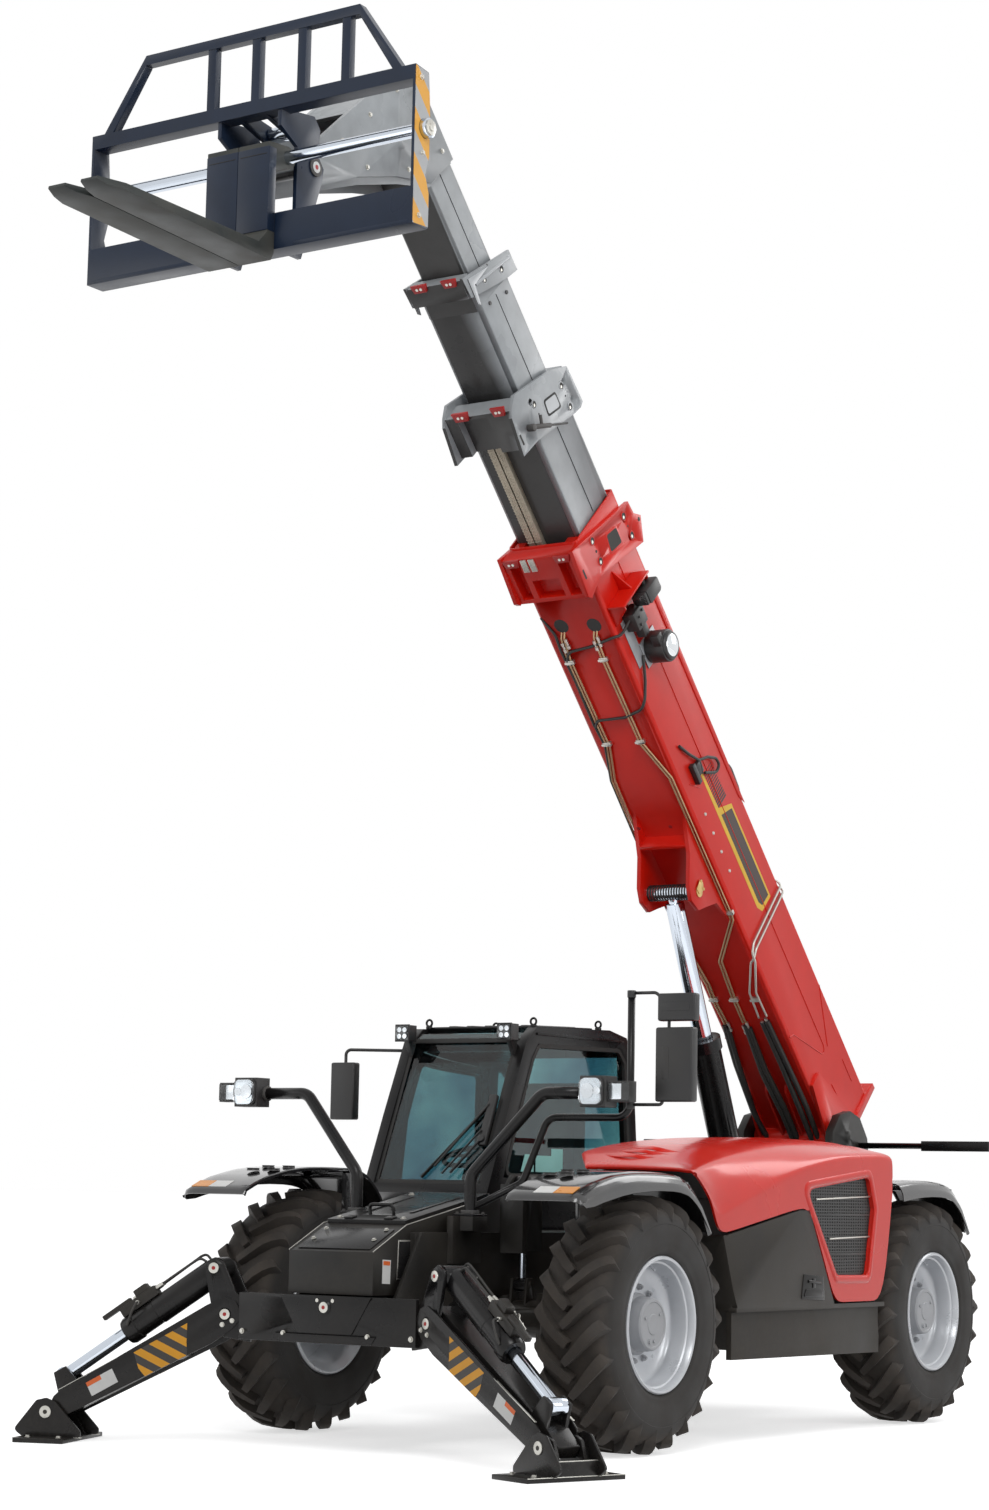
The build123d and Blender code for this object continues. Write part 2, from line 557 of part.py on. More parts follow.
def boom_section_3():
    half, n0, n1, wall, s0, s1 = SECTIONS["boom_section_3"]
    body = section("boom_section_3")
    side = [(5970, 40), (5868, 540), (5743, 545), (5760, 420), (5850, 50)]
    for x0 in (half, -half - 16):
        body += boom_plate(side, x0, x0 + 16)
    body += boom_block(-half - 1, half + 1, 5850, 5960, 44, n0 + 6)
    fourth = SECTIONS["boom_section_4"]
    ring = half - 1 - fourth[0] - RUN_GAP
    body += box_tube(half - 1, n0 - 6, n1 + 4, ring, 5740, 5860)
    return body + wear_pads("boom_section_3", "boom_section_4", 5780, 5850, ring - wall)


HEAD_SIDE = [(6450, 155), (6600, -90), (6760, -400), (6930, -800), (7030, -815), (7085, -770), (7100, -690),
             (7060, 300), (6960, 424), (6450, 424)]


def boom_section_4():
    half, n0, n1, wall, s0, s1 = SECTIONS["boom_section_4"]
    body = box_tube(half, n0, n1, wall, s0, 6700)
    for x0 in (half - wall, -half):
        body += boom_plate(HEAD_SIDE, x0, x0 + wall)
    for x0 in (half, -HEAD_HALF):
        body += boom_plate([(6470, 160), (6640, -90), (6800, -400), (6950, -800), (7030, -815), (7085, -770),
                            (7100, -690), (7060, 300), (6960, 424), (6470, 424)], x0, x0 + HEAD_HALF - half)
    body += boom_plate([(7078, -250), (7060, 300), (6960, 424), (6690, 424), (6690, 405), (6950, 405),
                        (7042, 292), (7060, -250)], -half + 1, half - 1)
    pin_x = HEAD_HALF + RUN_GAP + 26
    body += boom_disc(HEAD_S, HEAD_N, HEAD_PIN_R, -pin_x, pin_x)
    body += boom_disc(TILT_S, TILT_N, 30, -HEAD_HALF - 14, HEAD_HALF + 14)
    return body


CHAIN_X = ((-104, -64), (-54, -14))


def boom_chains():
    """Two leaf chains under the second section."""
    n0 = SECTIONS["boom_section_2"][1]
    chain = [boom_block(x0, x1, 1100, 4990, n0 - 34, n0) for x0, x1 in CHAIN_X]
    return chain[0] + chain[1]


LIFT_TOP = boom_point(0, LUG_S, LUG_N)
LIFT_FOOT = Vector(0, LIFT_Y, LIFT_Z)
LIFT_DIR = (LIFT_TOP - LIFT_FOOT).normalized()
LIFT_LENGTH = (LIFT_TOP - LIFT_FOOT).length
LIFT_BARREL_L = 1330


def lift_point(distance):
    at = LIFT_FOOT + LIFT_DIR * distance
    return at.X, at.Y, at.Z


def lift_barrel():
    wide = LIFT_LUG_IN - SEAT_GAP
    eye = bar_x(-wide, wide, LIFT_Y, LIFT_Z, 78)
    tube = rod_between(lift_point(60), lift_point(LIFT_BARREL_L), LIFT_BARREL_R)
    tube += rod_between(lift_point(LIFT_BARREL_L - 70), lift_point(LIFT_BARREL_L), LIFT_BARREL_R + 12)
    barrel = eye + tube
    barrel -= rod_between(lift_point(140), lift_point(LIFT_BARREL_L + 1), LIFT_ROD_R + PIN_GAP)
    return barrel - bar_x(-wide - 1, wide + 1, LIFT_Y, LIFT_Z, LIFT_PIN_R + PIN_GAP)


def lift_rod():
    rod = rod_between(lift_point(LIFT_LENGTH - 1339), lift_point(LIFT_LENGTH - 60), LIFT_ROD_R)
    rod += rod_between(lift_point(LIFT_LENGTH - 61), lift_point(LIFT_LENGTH), LIFT_EYE_R - 8)
    return rod + bar_x(-LUG_IN + SEAT_GAP, LUG_IN - SEAT_GAP, LIFT_TOP.Y, LIFT_TOP.Z, LIFT_EYE_R)


# ---- carriage -----------------------------------------------------------------------------------
HEAD_PIN = boom_point(0, HEAD_S, HEAD_N)
TILT_PIN = boom_point(0, TILT_S, TILT_N)
CARRIAGE_FACE = HEAD_PIN.Y - CARRIAGE_AHEAD
CARRIAGE_Z0 = HEAD_PIN.Z - CARRIAGE_BELOW
CARRIAGE_Z1 = CARRIAGE_Z0 + CARRIAGE_H
SHAFT_Y, SHAFT_Z = CARRIAGE_FACE + SHAFT_BEHIND, HEAD_PIN.Z - SHAFT_BELOW
FORK_TIP_Y = CARRIAGE_FACE - FORK_LENGTH
TILT_EYE = (HEAD_PIN.Y - 16.6, HEAD_PIN.Z + 196.7)     # y, z of the tilt rod's pin, between the middle plates
TILT_EYE_HALF = 60


def carriage_frame():
    face, half = CARRIAGE_FACE, CARRIAGE_HALF
    end = [(face, CARRIAGE_Z0), (face + 130, CARRIAGE_Z0 + 10), (face + 130, SHAFT_Z - 300), (face + 100, SHAFT_Z - 220),
           (face + 128, SHAFT_Z - 120), (face + 128, SHAFT_Z + 80), (face + 110, CARRIAGE_Z1 - 10), (face, CARRIAGE_Z1)]
    plate = side_plate(end, half - 14, half)
    plate -= bar_x(half - 15, half + 1, SHAFT_Y, SHAFT_Z, SHAFT_R + PIN_GAP)
    frame = plate + mirrored(plate)
    frame += block(-half, half, face, face + 14, CARRIAGE_Z0, CARRIAGE_Z0 + 180)
    frame += block(-half, half, face, face + 120, CARRIAGE_Z0, CARRIAGE_Z0 + 14)
    frame += block(-half, half, face, face + 120, CARRIAGE_Z0 + 166, CARRIAGE_Z0 + 180)
    frame += block(-half, half, face, face + 90, CARRIAGE_Z1 - 70, CARRIAGE_Z1 - 56)
    frame += block(-half, half, face, face + 14, CARRIAGE_Z1 - 70, CARRIAGE_Z1)
    # backrest
    top = CARRIAGE_Z1 + BACKREST_H
    frame += block(-650, 650, face, face + 50, top - 50, top)
    slant = front_plate([(-650, top), (-650, top - 56), (-850, CARRIAGE_Z1 - 4), (-905, CARRIAGE_Z1 - 4)],
                        face, face + 50)
    frame += slant + mirrored(slant)
    for x in (-235, 36, 312, 572):
        frame += block(x - 24, x + 24, face + 4, face + 46, CARRIAGE_Z1 - 4, top - 40)
    # middle plates behind the shaft, from the beam up to the rail and back to the pivot
    clear = SHAFT_Y + SHAFT_R + 24 + RUN_GAP
    mid = [(face + 118, CARRIAGE_Z0 + 5), (face + 118, SHAFT_Z - 280), (clear, SHAFT_Z - 240), (clear, SHAFT_Z + 75), (face + 15, SHAFT_Z + 142),
           (face + 15, CARRIAGE_Z1 - 62), (TILT_EYE[0], TILT_EYE[1] + 55), (TILT_EYE[0] + 50, TILT_EYE[1]),
           (HEAD_PIN.Y + 20, HEAD_PIN.Z + 66), (HEAD_PIN.Y + 68, HEAD_PIN.Z + 10),
           (HEAD_PIN.Y + 60, HEAD_PIN.Z - 50), (face + 200, CARRIAGE_Z0 + 5)]
    x0 = HEAD_HALF + RUN_GAP
    plates = side_plate(mid, x0, x0 + 22)
    plates -= bar_x(100, 300, HEAD_PIN.Y, HEAD_PIN.Z, HEAD_PIN_R + PIN_GAP)
    # lugs of the tilt rod, between the boom's head plates
    y, z = TILT_EYE
    lug = [(face + 12, CARRIAGE_Z1 - 5), (face + 12, CARRIAGE_Z1 - 66), (y - 30, z - 44), (y + 10, z - 42),
           (y + 38, z - 20), (y + 44, z + 5), (y + 30, z + 32), (y, z + 46)]
    x0 = TILT_EYE_HALF + RUN_GAP
    plates += side_plate(lug, x0, x0 + 24) + bar_x(x0, x0 + 38, y, z, 26)
    return frame + plates + mirrored(plates)


def fork_shaft():
    half = CARRIAGE_HALF
    shaft = bar_x(-half - 30, half + 30, SHAFT_Y, SHAFT_Z, SHAFT_R)
    for x0, x1 in ((half + PIN_GAP, half + 30), (-half - 30, -half - PIN_GAP)):
        shaft += bar_x(x0, x1, SHAFT_Y, SHAFT_Z, SHAFT_R + 14)
    return shaft


def fork(centre):
    """Fork hung on the shaft, its blade level."""
    x0, x1 = centre - FORK_W / 2, centre + FORK_W / 2
    back = CARRIAGE_FACE - RUN_GAP
    front = back - FORK_T
    low = CARRIAGE_Z0 - 60
    profile = [(back, SHAFT_Z + 20), (back, low + 40), (back - 20, low), (FORK_TIP_Y + 60, low + 36),
               (FORK_TIP_Y, low + 52), (FORK_TIP_Y + 4, low + 66), (front - 60, low + 66),
               (front, low + 130), (front, SHAFT_Z + 20)]
    shape = side_plate(profile, x0, x1)
    taper = flat_plate([(x0 - 1, FORK_TIP_Y - 1), (x0 - 1, FORK_TIP_Y + 150), (x0 + 45, FORK_TIP_Y - 1)],
                       low - 1, low + 200)
    shape -= taper
    shape -= mirror(taper, about=Plane.YZ.offset(centre))
    shape += bar_x(x0, x1, SHAFT_Y, SHAFT_Z, SHAFT_R + 22)
    shape += side_plate([(front, SHAFT_Z + 19), (back + 3, SHAFT_Z + 19), (SHAFT_Y, SHAFT_Z + 40),
                         (SHAFT_Y, SHAFT_Z + SHAFT_R + 22), (front, SHAFT_Z + 40)], x0, x1)
    shape += side_plate([(back, SHAFT_Z - 90), (SHAFT_Y, SHAFT_Z - 50), (SHAFT_Y, SHAFT_Z + 30),
                         (back, SHAFT_Z + 30)], x0, x1)
    return shape - bar_x(x0 - 1, x1 + 1, SHAFT_Y, SHAFT_Z, SHAFT_R + PIN_GAP)


TILT_FOOT = TILT_PIN
TILT_TOP = Vector(0, TILT_EYE[0], TILT_EYE[1])
TILT_DIR = (TILT_TOP - TILT_FOOT).normalized()
TILT_LENGTH = (TILT_TOP - TILT_FOOT).length


def tilt_point(distance):
    at = TILT_FOOT + TILT_DIR * distance
    return at.X, at.Y, at.Z


def tilt_barrel():
    barrel = rod_between(tilt_point(0), tilt_point(450), 50) + bar_x(-92, 92, TILT_PIN.Y, TILT_PIN.Z, 52)
    barrel -= rod_between(tilt_point(90), tilt_point(451), 26 + PIN_GAP)
    return barrel - bar_x(-93, 93, TILT_PIN.Y, TILT_PIN.Z, 30 + PIN_GAP)


def tilt_rod():
    rod = rod_between(tilt_point(TILT_LENGTH - 526), tilt_point(TILT_LENGTH), 26)
    return rod + bar_x(-TILT_EYE_HALF, TILT_EYE_HALF, TILT_EYE[0], TILT_EYE[1], 40)


# ---- cab --------------------------------------------------------------------------------------------
CAB_SIDE = [(-640, 905), (-640, 1180), (-800, 1240), (-620, 1660), (-430, 2080), (-330, 2160), (450, 2185),
            (640, 2150), (715, 2060), (770, 1500), (720, 1000), (620, 905)]
DOOR_SIDE = [(-560, 1240), (-560, 1300), (-490, 1640), (-345, 1990), (-290, 2060), (380, 2090), (400, 1000),
             (300, 960), (-480, 960)]


HINGE_Y = 402
HINGE_Z = (1180, 1960)


def grown(points, by):
    """The outline moved out by so much, or in where it is negative."""
    face = offset(outline(points), amount=by, kind=Kind.INTERSECTION)
    return face


def side_face(face, x0, x1):
    return extrude(Plane.YZ.offset(x0) * face, amount=x1 - x0)


def cab_shell():
    shell = side_plate(CAB_SIDE, CAB_X0, CAB_X1)
    shell -= side_face(grown(CAB_SIDE, -CAB_WALL), CAB_X0 + CAB_WALL, CAB_X1 - CAB_WALL)
    shell -= side_face(grown(DOOR_SIDE, RUN_GAP), CAB_X0 - 1, CAB_X0 + CAB_WALL + 1)
    # windscreen, left, rear and quarter windows
    shell -= WINDSCREEN_CUT
    for window, x0, x1 in SIDE_WINDOWS:
        shell -= side_plate(window, x0, x1)
    shell -= block(CAB_X0 + 90, CAB_X1 - 90, 600, 900, 1480, 2040)
    for z in HINGE_Z:
        shell += bar_z(z + SEAT_GAP, z + 40, CAB_X0 - 14, HINGE_Y, 13)
        shell += block(CAB_X0 - 20, CAB_X0 + 5, HINGE_Y, HINGE_Y + 50, z + SEAT_GAP, z + 40)
    return shell


WINDSCREEN_CUT = side_plate([(-900, 1290), (-600, 1290), (-250, 2110), (-380, 2300), (-900, 2300)],
                            CAB_X0 + 60, CAB_X1 - 60)
SIDE_WINDOWS = [
    ([(-640, 1330), (-520, 1640), (-370, 1990), (-310, 2070), (560, 2085), (640, 2010), (690, 1480),
      (640, 1330)], CAB_X1 - CAB_WALL - 1, CAB_X1 + 1),
    ([(470, 1330), (470, 2080), (560, 2080), (625, 2010), (690, 1480), (640, 1330)],
     CAB_X0 - 1, CAB_X0 + CAB_WALL + 1),
]


def cab_glass():
    pane = 8
    screen = side_plate([(-762, 1290), (-602, 1664), (-412, 2084), (-352, 2130), (-345, 2122), (-403, 2078),
                         (-594, 1660), (-753, 1290)], CAB_X0 + 60, CAB_X1 - 60)
    left = side_plate(SIDE_WINDOWS[0][0], CAB_X1 - 26, CAB_X1 - 26 + pane)
    quarter = side_plate(SIDE_WINDOWS[1][0], CAB_X0 + 18, CAB_X0 + 18 + pane)
    rear = side_plate([(700, 2040), (708, 2040), (757, 1480), (749, 1480)], CAB_X0 + 90, CAB_X1 - 90)
    return together(screen, left, quarter, rear)


def cab_door():
    door = side_plate(DOOR_SIDE, CAB_X0, CAB_X0 + CAB_WALL - 10)
    door -= side_plate(DOOR_WINDOW, CAB_X0 - 1, CAB_X0 + CAB_WALL)
    for z in HINGE_Z:
        door += bar_z(z - 40, z, CAB_X0 - 14, HINGE_Y, 13)
        door += block(CAB_X0 - 20, CAB_X0 + 5, HINGE_Y - 60, HINGE_Y - 28, z - 40, z)
        door += block(CAB_X0 - 20, CAB_X0 - 3, HINGE_Y - 30, HINGE_Y, z - 40, z)
    return door


DOOR_WINDOW = [(-470, 1300), (-420, 1640), (-290, 1980), (-250, 2010), (320, 2030), (330, 1080), (280, 1040),
               (-430, 1040)]


def cab_door_glass():
    return side_plate(DOOR_WINDOW, CAB_X0 + 12, CAB_X0 + 20)


def cab_interior():
    mid = (CAB_X0 + CAB_X1) / 2
    floor = CAB_FLOOR + CAB_WALL + SEAT_GAP
    seat = block(mid - 230, mid + 230, -50, 420, 1250, 1370) + block(mid - 220, mid + 220, 380, 500, 1340, 1880)
    seat += block(mid - 170, mid + 170, 0, 380, floor, 1252)
    column = rod_between((mid, -475, 990), (mid, -330, 1420), 35) + block(mid - 60, mid + 60, -530, -420, floor, 1010)
    wheel = Pos(mid, -310, 1450) * Rot(20, 0, 0) * Torus(170, 14)
    wheel += Pos(mid, -310, 1450) * Rot(20, 0, 0) * (Box(330, 30, 12) + Cylinder(40, 40))
    wheel += column
    console = block(CAB_X1 - CAB_WALL - 150, CAB_X1 - CAB_WALL - 40, -200, 380, floor, 1420)
    dash = block(mid - 280, mid + 280, -590, -530, floor, 1290)
    return together(seat, wheel, console, dash)


# ---- engine pod ---------------------------------------------------------------------------------------
POCKET_R = sqrt((TRACK / 2 + TYRE_W / 2 - KINGPIN_X) ** 2 + TYRE_R ** 2) + 14
# radius about the kingpin and height that the turning mudguard needs, at the front and at the rear wheel
SWEEP_FRONT = [(0, 1000), (694, 1000), (690, 1075), (646, 1215), (596, 1297), (556, 1347), (520, 1363), (520, 1372),
               (0, 1372)]
SWEEP_REAR = [(0, 1000), (690, 1000), (672, 1090), (672, 1372), (0, 1372)]
# side outline of the hood's skirt: its front edge from the bottom up, then the way back along the bottom
HOOD_Y0, HOOD_Y1 = POD_FRONT - 450, POD_REAR + 105
HOOD_FRONT = [(POD_FRONT - 190, 1056), (POD_FRONT - 235, 1105), (POD_FRONT - 245, 1210), (POD_FRONT - 340, 1300),
              (HOOD_Y0, 1366)]
HOOD_REAR = [(HOOD_Y1, 1280), (POD_REAR, 700)]
HOOD_BOTTOM = [(290, 700), (0, 1193), (-115, 1193)]
HOOD_TOP = 1700
# hood stations: y, height of the flat top, ridge x and z, shoulder x and z, height of the crease at the side;
# both x are measured from the pod's side
HOOD_ROWS = [(HOOD_Y0, 1395, -25, 1378, -8, 1374, 1368), (HOOD_Y0 + 100, 1429, -40, 1386, -8, 1345, 1298),
             (POD_FRONT - 200, 1472, -65, 1408, -16, 1302, 1148), (POD_FRONT, 1505, -105, 1440, -30, 1350, 1209),
             (-400, 1543, -160, 1494, -52, 1424, 1321), (0, 1567, -210, 1540, -78, 1484, 1408),
             (400, 1576, -240, 1557, -90, 1514, 1460), (HOOD_Y1, 1573, -264, 1547, -120, 1521, 1478)]
HOOD_FLAT_X = POD_X1 - 440
HOOD_HINGE_X, HOOD_HINGE_Z = 392, 1490
HOOD_HINGE_Y = (-500, 600)


def wheel_pockets():
    cut = None
    for y, sweep in ((AXLE_FRONT, SWEEP_FRONT), (AXLE_REAR, SWEEP_REAR)):
        ball = Pos(KINGPIN_X, y, AXLE_Z) * Sphere(POCKET_R)
        ball &= block(0, 2000, y - 1000, y + 1000, 0, AXLE_Z + TYRE_R + 20)
        ball += Pos(KINGPIN_X, y, 0) * revolve(Plane.XZ * outline(sweep), axis=Axis.Z, revolution_arc=360)
        cut = ball if cut is None else cut + ball
    return cut


def hood_form(inset):
    faces = []
    for y, top, ridge_x, ridge_z, shoulder_x, shoulder_z, crease in HOOD_ROWS:
        end = inset if y == HOOD_ROWS[0][0] else (-inset if y == HOOD_ROWS[-1][0] else 0)
        points = [(POD_X0 + 4, 600), (POD_X1 - inset, 600), (POD_X1 - inset, crease - inset * 0.3),
                  (POD_X1 + shoulder_x - inset * 0.9, shoulder_z - inset * 0.5),
                  (POD_X1 + ridge_x - inset * 0.4, ridge_z - inset * 0.9),
                  (HOOD_FLAT_X, top - inset), (POD_X0 + 4, top - inset)]
        faces.append(Plane.XZ.offset(-(y + end)) * outline(points))
    return loft(faces, ruled=True)


def engine_hood():
    skirt = HOOD_FRONT + [(HOOD_Y0, HOOD_TOP), (HOOD_Y1, HOOD_TOP)] + HOOD_REAR + HOOD_BOTTOM
    shell = hood_form(0) & side_plate(skirt, POD_X0, POD_X1 + 10)
    hollow = [(y + PANEL, z + PANEL / 2) for y, z in HOOD_FRONT] + [(HOOD_Y0 + PANEL, HOOD_TOP), (HOOD_Y1 - PANEL, HOOD_TOP)]
    hollow += [(y - PANEL, z) for y, z in HOOD_REAR] + [(POD_REAR - 20, 500), (HOOD_FRONT[0][0] + PANEL, 500)]
    shell -= hood_form(PANEL) & side_plate(hollow, POD_X0, POD_X1 + 10)
    shell -= side_plate([(-40, 1298), (697, 1374), (766, 1198), (685, 836), (312, 840)], POD_X1 - 60, POD_X1 + 10)
    shell -= flat_plate([(POD_X0, HOOD_Y0 - 10), (POD_X0 + 160, HOOD_Y0 - 10), (POD_X0, HOOD_Y0 + 230)], 1000, HOOD_TOP)
    shell -= block(POD_X0, POD_X0 + 80, POD_REAR, HOOD_Y1 + 5, 690, 1372)
    for y in HOOD_HINGE_Y:
        shell += bar_y(y - 50, y, HOOD_HINGE_X, HOOD_HINGE_Z, 11)
        shell += block(HOOD_HINGE_X - 5, POD_X0 + 14, y - 50, y, HOOD_HINGE_Z, 1560 if y > 0 else 1520)
    return shell - POCKETS


def pod_body():
    front = [(POD_FRONT - 142, 1050), (POD_FRONT - 99, 939), (POD_FRONT - 38, 781), (POD_FRONT + 10, 690)]
    outer = front[::-1] + [(-117, 1186), (-6, 1186), (282, 694), (282, 690)]
    panel = side_plate(outer, POD_X1 - PANEL, POD_X1)
    panel += side_plate(strip(front, -PANEL), POD_X1 - 190, POD_X1 - 1)
    floor = block(POD_X0, POD_X1, POD_FRONT, POD_REAR + 5, POD_FLOOR, 692)
    inner = block(POD_X0 - 16, POD_X0, POD_FRONT, POD_REAR + 80, POD_FLOOR, 1470)
    inner += block(POD_X0 - 10, POD_X0 + 20, POD_FRONT, POD_REAR + 5, POD_FLOOR, 800)
    ends = block(POD_X0, POD_X1 - 30, POD_FRONT, POD_FRONT + PANEL, 690, 1040)
    ends += block(POD_X0, POD_X1 - 60, POD_REAR - 100, POD_REAR - 100 + PANEL, 690, 1100)
    sill = side_plate([(POD_FRONT, 430), (POD_REAR - 8, 418), (POD_REAR, POD_FLOOR), (POD_FRONT, POD_FLOOR)],
                      POD_X1 - 60, POD_X1 - 30)
    sill += block(POD_X0 + 60, POD_X1 - 50, POD_FRONT + 160, POD_REAR - 240, 470, POD_FLOOR)
    body = panel + floor + inner + ends + sill
    for y in HOOD_HINGE_Y:
        body += bar_y(y + SEAT_GAP, y + 50, HOOD_HINGE_X, HOOD_HINGE_Z, 11)
        body += block(POD_X0 - 16, HOOD_HINGE_X + 5, y + SEAT_GAP, y + 50, 1440, HOOD_HINGE_Z)
    return body - POCKETS


def pod_grille():
    """Slatted panel just behind the hood's opening."""
    area = [(-30, 1290), (690, 1366), (756, 1198), (680, 844), (318, 848)]
    backing = side_face(grown(area, 30), POD_X1 - PANEL - 12, POD_X1 - PANEL - SEAT_GAP)
    slats = None
    for z in (940, 1030, 1120, 1210, 1290):
        slat = side_plate(area, POD_X1 - PANEL - 1, POD_X1 - PANEL + 12)
        slat &= block(POD_X1 - 100, POD_X1 + 10, -200, 900, z - 8, z + 8)
        slats = slat if slats is None else slats + slat
    return backing + slats


def engine_block():
    return block(480, 1000, -560, 560, 692 + SEAT_GAP, 1240)


# ---- lamps, mirrors, rear bar ------------------------------------------------------------------------------
LAMP_X = 985


def light_posts():
    """Tube posts from the nose to the headlamps; the left one also carries the mirrors."""
    x, y, z = POST_BASE
    left = bent_tube([(x, y, z), (x, y, 1330), (720, y + 60, 1735), (LAMP_X - SEAT_GAP, y + 60, 1735)], 90, TUBE_R)
    left += block(x - 60, x + 60, y - 60, y + 60, z, z + 12)
    right = mirrored(left)
    carrier = bent_tube([(x + 8, y + 8, 1170), (560, y + 140, 1300), (690, y + 160, 1620),
                         (MIRROR_POST[0], MIRROR_POST[1], 1620), (*MIRROR_POST, 2235)], 75, MIRROR_TUBE_R)
    return together(left + carrier, right)


def headlamps():
    lamps = []
    for side in (1, -1):
        body = block(LAMP_X, 1130, -2010, -1900, 1665, 1815) + block(1120, 1250, -1985, -1920, 1690, 1790)
        lamps.append(body if side > 0 else mirrored(body))
    for x in (CAB_X0 + 30, CAB_X1 - 110):
        lamp = block(x, x + 90, -560, -480, 2080, 2170)
        lamps.append(lamp + side_plate([(-466.7, 2000), (-439.7, 2060), (-490, 2090), (-520, 2090)], x + 30, x + 60))
    return together(*lamps)


MIRROR_POST = (1160, -1825)      # x, y of the upright tube
MIRROR_TUBE_R = 18


def mirrors():
    x, y = MIRROR_POST[0] + MIRROR_TUBE_R + SEAT_GAP, MIRROR_POST[1]
    large = block(1315, 1520, y - 35, y + 25, 1695, 2052)
    small = block(1322, 1530, y - 30, y + 25, 2082, 2216)
    left = bent_tube([(x, y, 2222), (1300, y, 2222), (1372, y, 2150), (1372, y, 2000)], 40, 8)
    left += bent_tube([(x, y, 1682), (1340, y, 1682), (1340, y, 1760)], 20, 8)
    arm = bent_tube([(CAB_X0 - 10, -380, 2035), (-1480, -560, 2035), (-1480, -560, 1950)], 30, 9)
    arm += block(CAB_X0 - 20, CAB_X0 - SEAT_GAP, -410, -350, 2005, 2065)
    right = block(-1560, -1400, -595, -530, 1640, 1962)
    return together(left + large + small, arm + right)


def rear_light_bar():
    bar = bar_x(FRAME_HALF + EAR_T + SEAT_GAP, 760, 2300, 1575, 18) + block(750, 1190, 2275, 2325, 1545, 1605)
    return together(bar, mirrored(bar))


def side_tank():
    """Fuel tank and steps under the cab door."""
    tank = block(-1150, -360, -560, 560, 480, TANK_TOP)
    for z in (560, 700):
        tank -= block(-1151, -960, -300, 200, z, z + 100)
    return tank - mirrored(POCKETS)


def leveling_cylinder():
    eye = 36 - SEAT_GAP
    tube = bar_z(980, LEVEL_Z1, LEVEL_X, LEVEL_Y, 32) + bar_x(LEVEL_X - eye, LEVEL_X + eye, LEVEL_Y, LEVEL_Z1, 34)
    rod = bar_z(LEVEL_Z0, 981, LEVEL_X, LEVEL_Y, 17) + bar_x(LEVEL_X - eye, LEVEL_X + eye, LEVEL_Y, LEVEL_Z0, 30)
    whole = tube + rod
    for z in (LEVEL_Z0, LEVEL_Z1):
        whole -= bar_x(LEVEL_X - 60, LEVEL_X + 60, LEVEL_Y, z, LEVEL_PIN_R + PIN_GAP)
    return whole


# ---- put together ----------------------------------------------------------------------------------------------
POCKETS = wheel_pockets()
nodes = {}


def add(name, shape):
    nodes[name] = shape


def wheels():
    one_tyre, one_rim, one_knuckle = tyre(), rim(), knuckle()
    guards = {"front": fender(FENDER_NOSE + FENDER_BACK, FENDER_LIP),
              "rear": fender(FENDER_NOSE[-1:] + FENDER_BACK, FENDER_LIP[1:])}
    for row, y in (("front", AXLE_FRONT), ("rear", AXLE_REAR)):
        for side, sign in (("left", 1), ("right", -1)):
            corner = f"{row}_{side}"
            at = Pos(TRACK / 2, y, AXLE_Z)
            pieces = {"tyre_": at * one_tyre, "rim_": at * one_rim, "fender_": at * guards[row],
                      "knuckle_": Pos(KINGPIN_X, y, AXLE_Z) * one_knuckle}
            for prefix, piece in pieces.items():
                add(prefix + corner, piece if sign > 0 else mirrored(piece))


def stabilizers():
    pieces = {"leg": stabilizer_leg(), "barrel": stabilizer_barrel(), "rod": stabilizer_rod(),
              "foot": stabilizer_foot()}
    for kind, piece in pieces.items():
        add(f"stabilizer_{kind}_left", piece)
        add(f"stabilizer_{kind}_right", mirrored(piece))


def whole_machine():
    wheels()
    one_axle = axle()
    front = Pos(0, AXLE_FRONT, AXLE_Z) * one_axle + leveling_lugs()
    add("axles", together(front, Pos(0, AXLE_REAR, AXLE_Z) * one_axle))
    add("chassis_frame", chassis_frame())
    add("nose_hatch", nose_hatch())
    add("stabilizer_beam", stabilizer_beam())
    stabilizers()
    for maker in (boom_base, boom_section_2, boom_section_3, boom_section_4, boom_chains, lift_barrel,
                  lift_rod, tilt_barrel, tilt_rod, carriage_frame, fork_shaft, cab_shell, cab_glass, cab_door, cab_door_glass,
                  cab_interior, engine_hood, pod_body, pod_grille, engine_block, light_posts, headlamps,
                  mirrors, rear_light_bar, side_tank, leveling_cylinder):
        add(maker.__name__, maker())
    add("fork_left", fork((FORK_W + FORK_GAP) / 2))
    add("fork_right", fork(-(FORK_W + FORK_GAP) / 2))


whole_machine()
os.makedirs("parts", exist_ok=True)
for name, shape in nodes.items():
    export_step(Pos(0, FRAME_Y, 0) * shape, f"parts/{name}.step")
print(len(nodes), "nodes")
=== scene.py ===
# Telescopic handler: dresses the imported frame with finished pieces, materials, lights and a camera.
import json
import math
from functools import partial

import bmesh
import bpy
from mathutils import Matrix, Vector

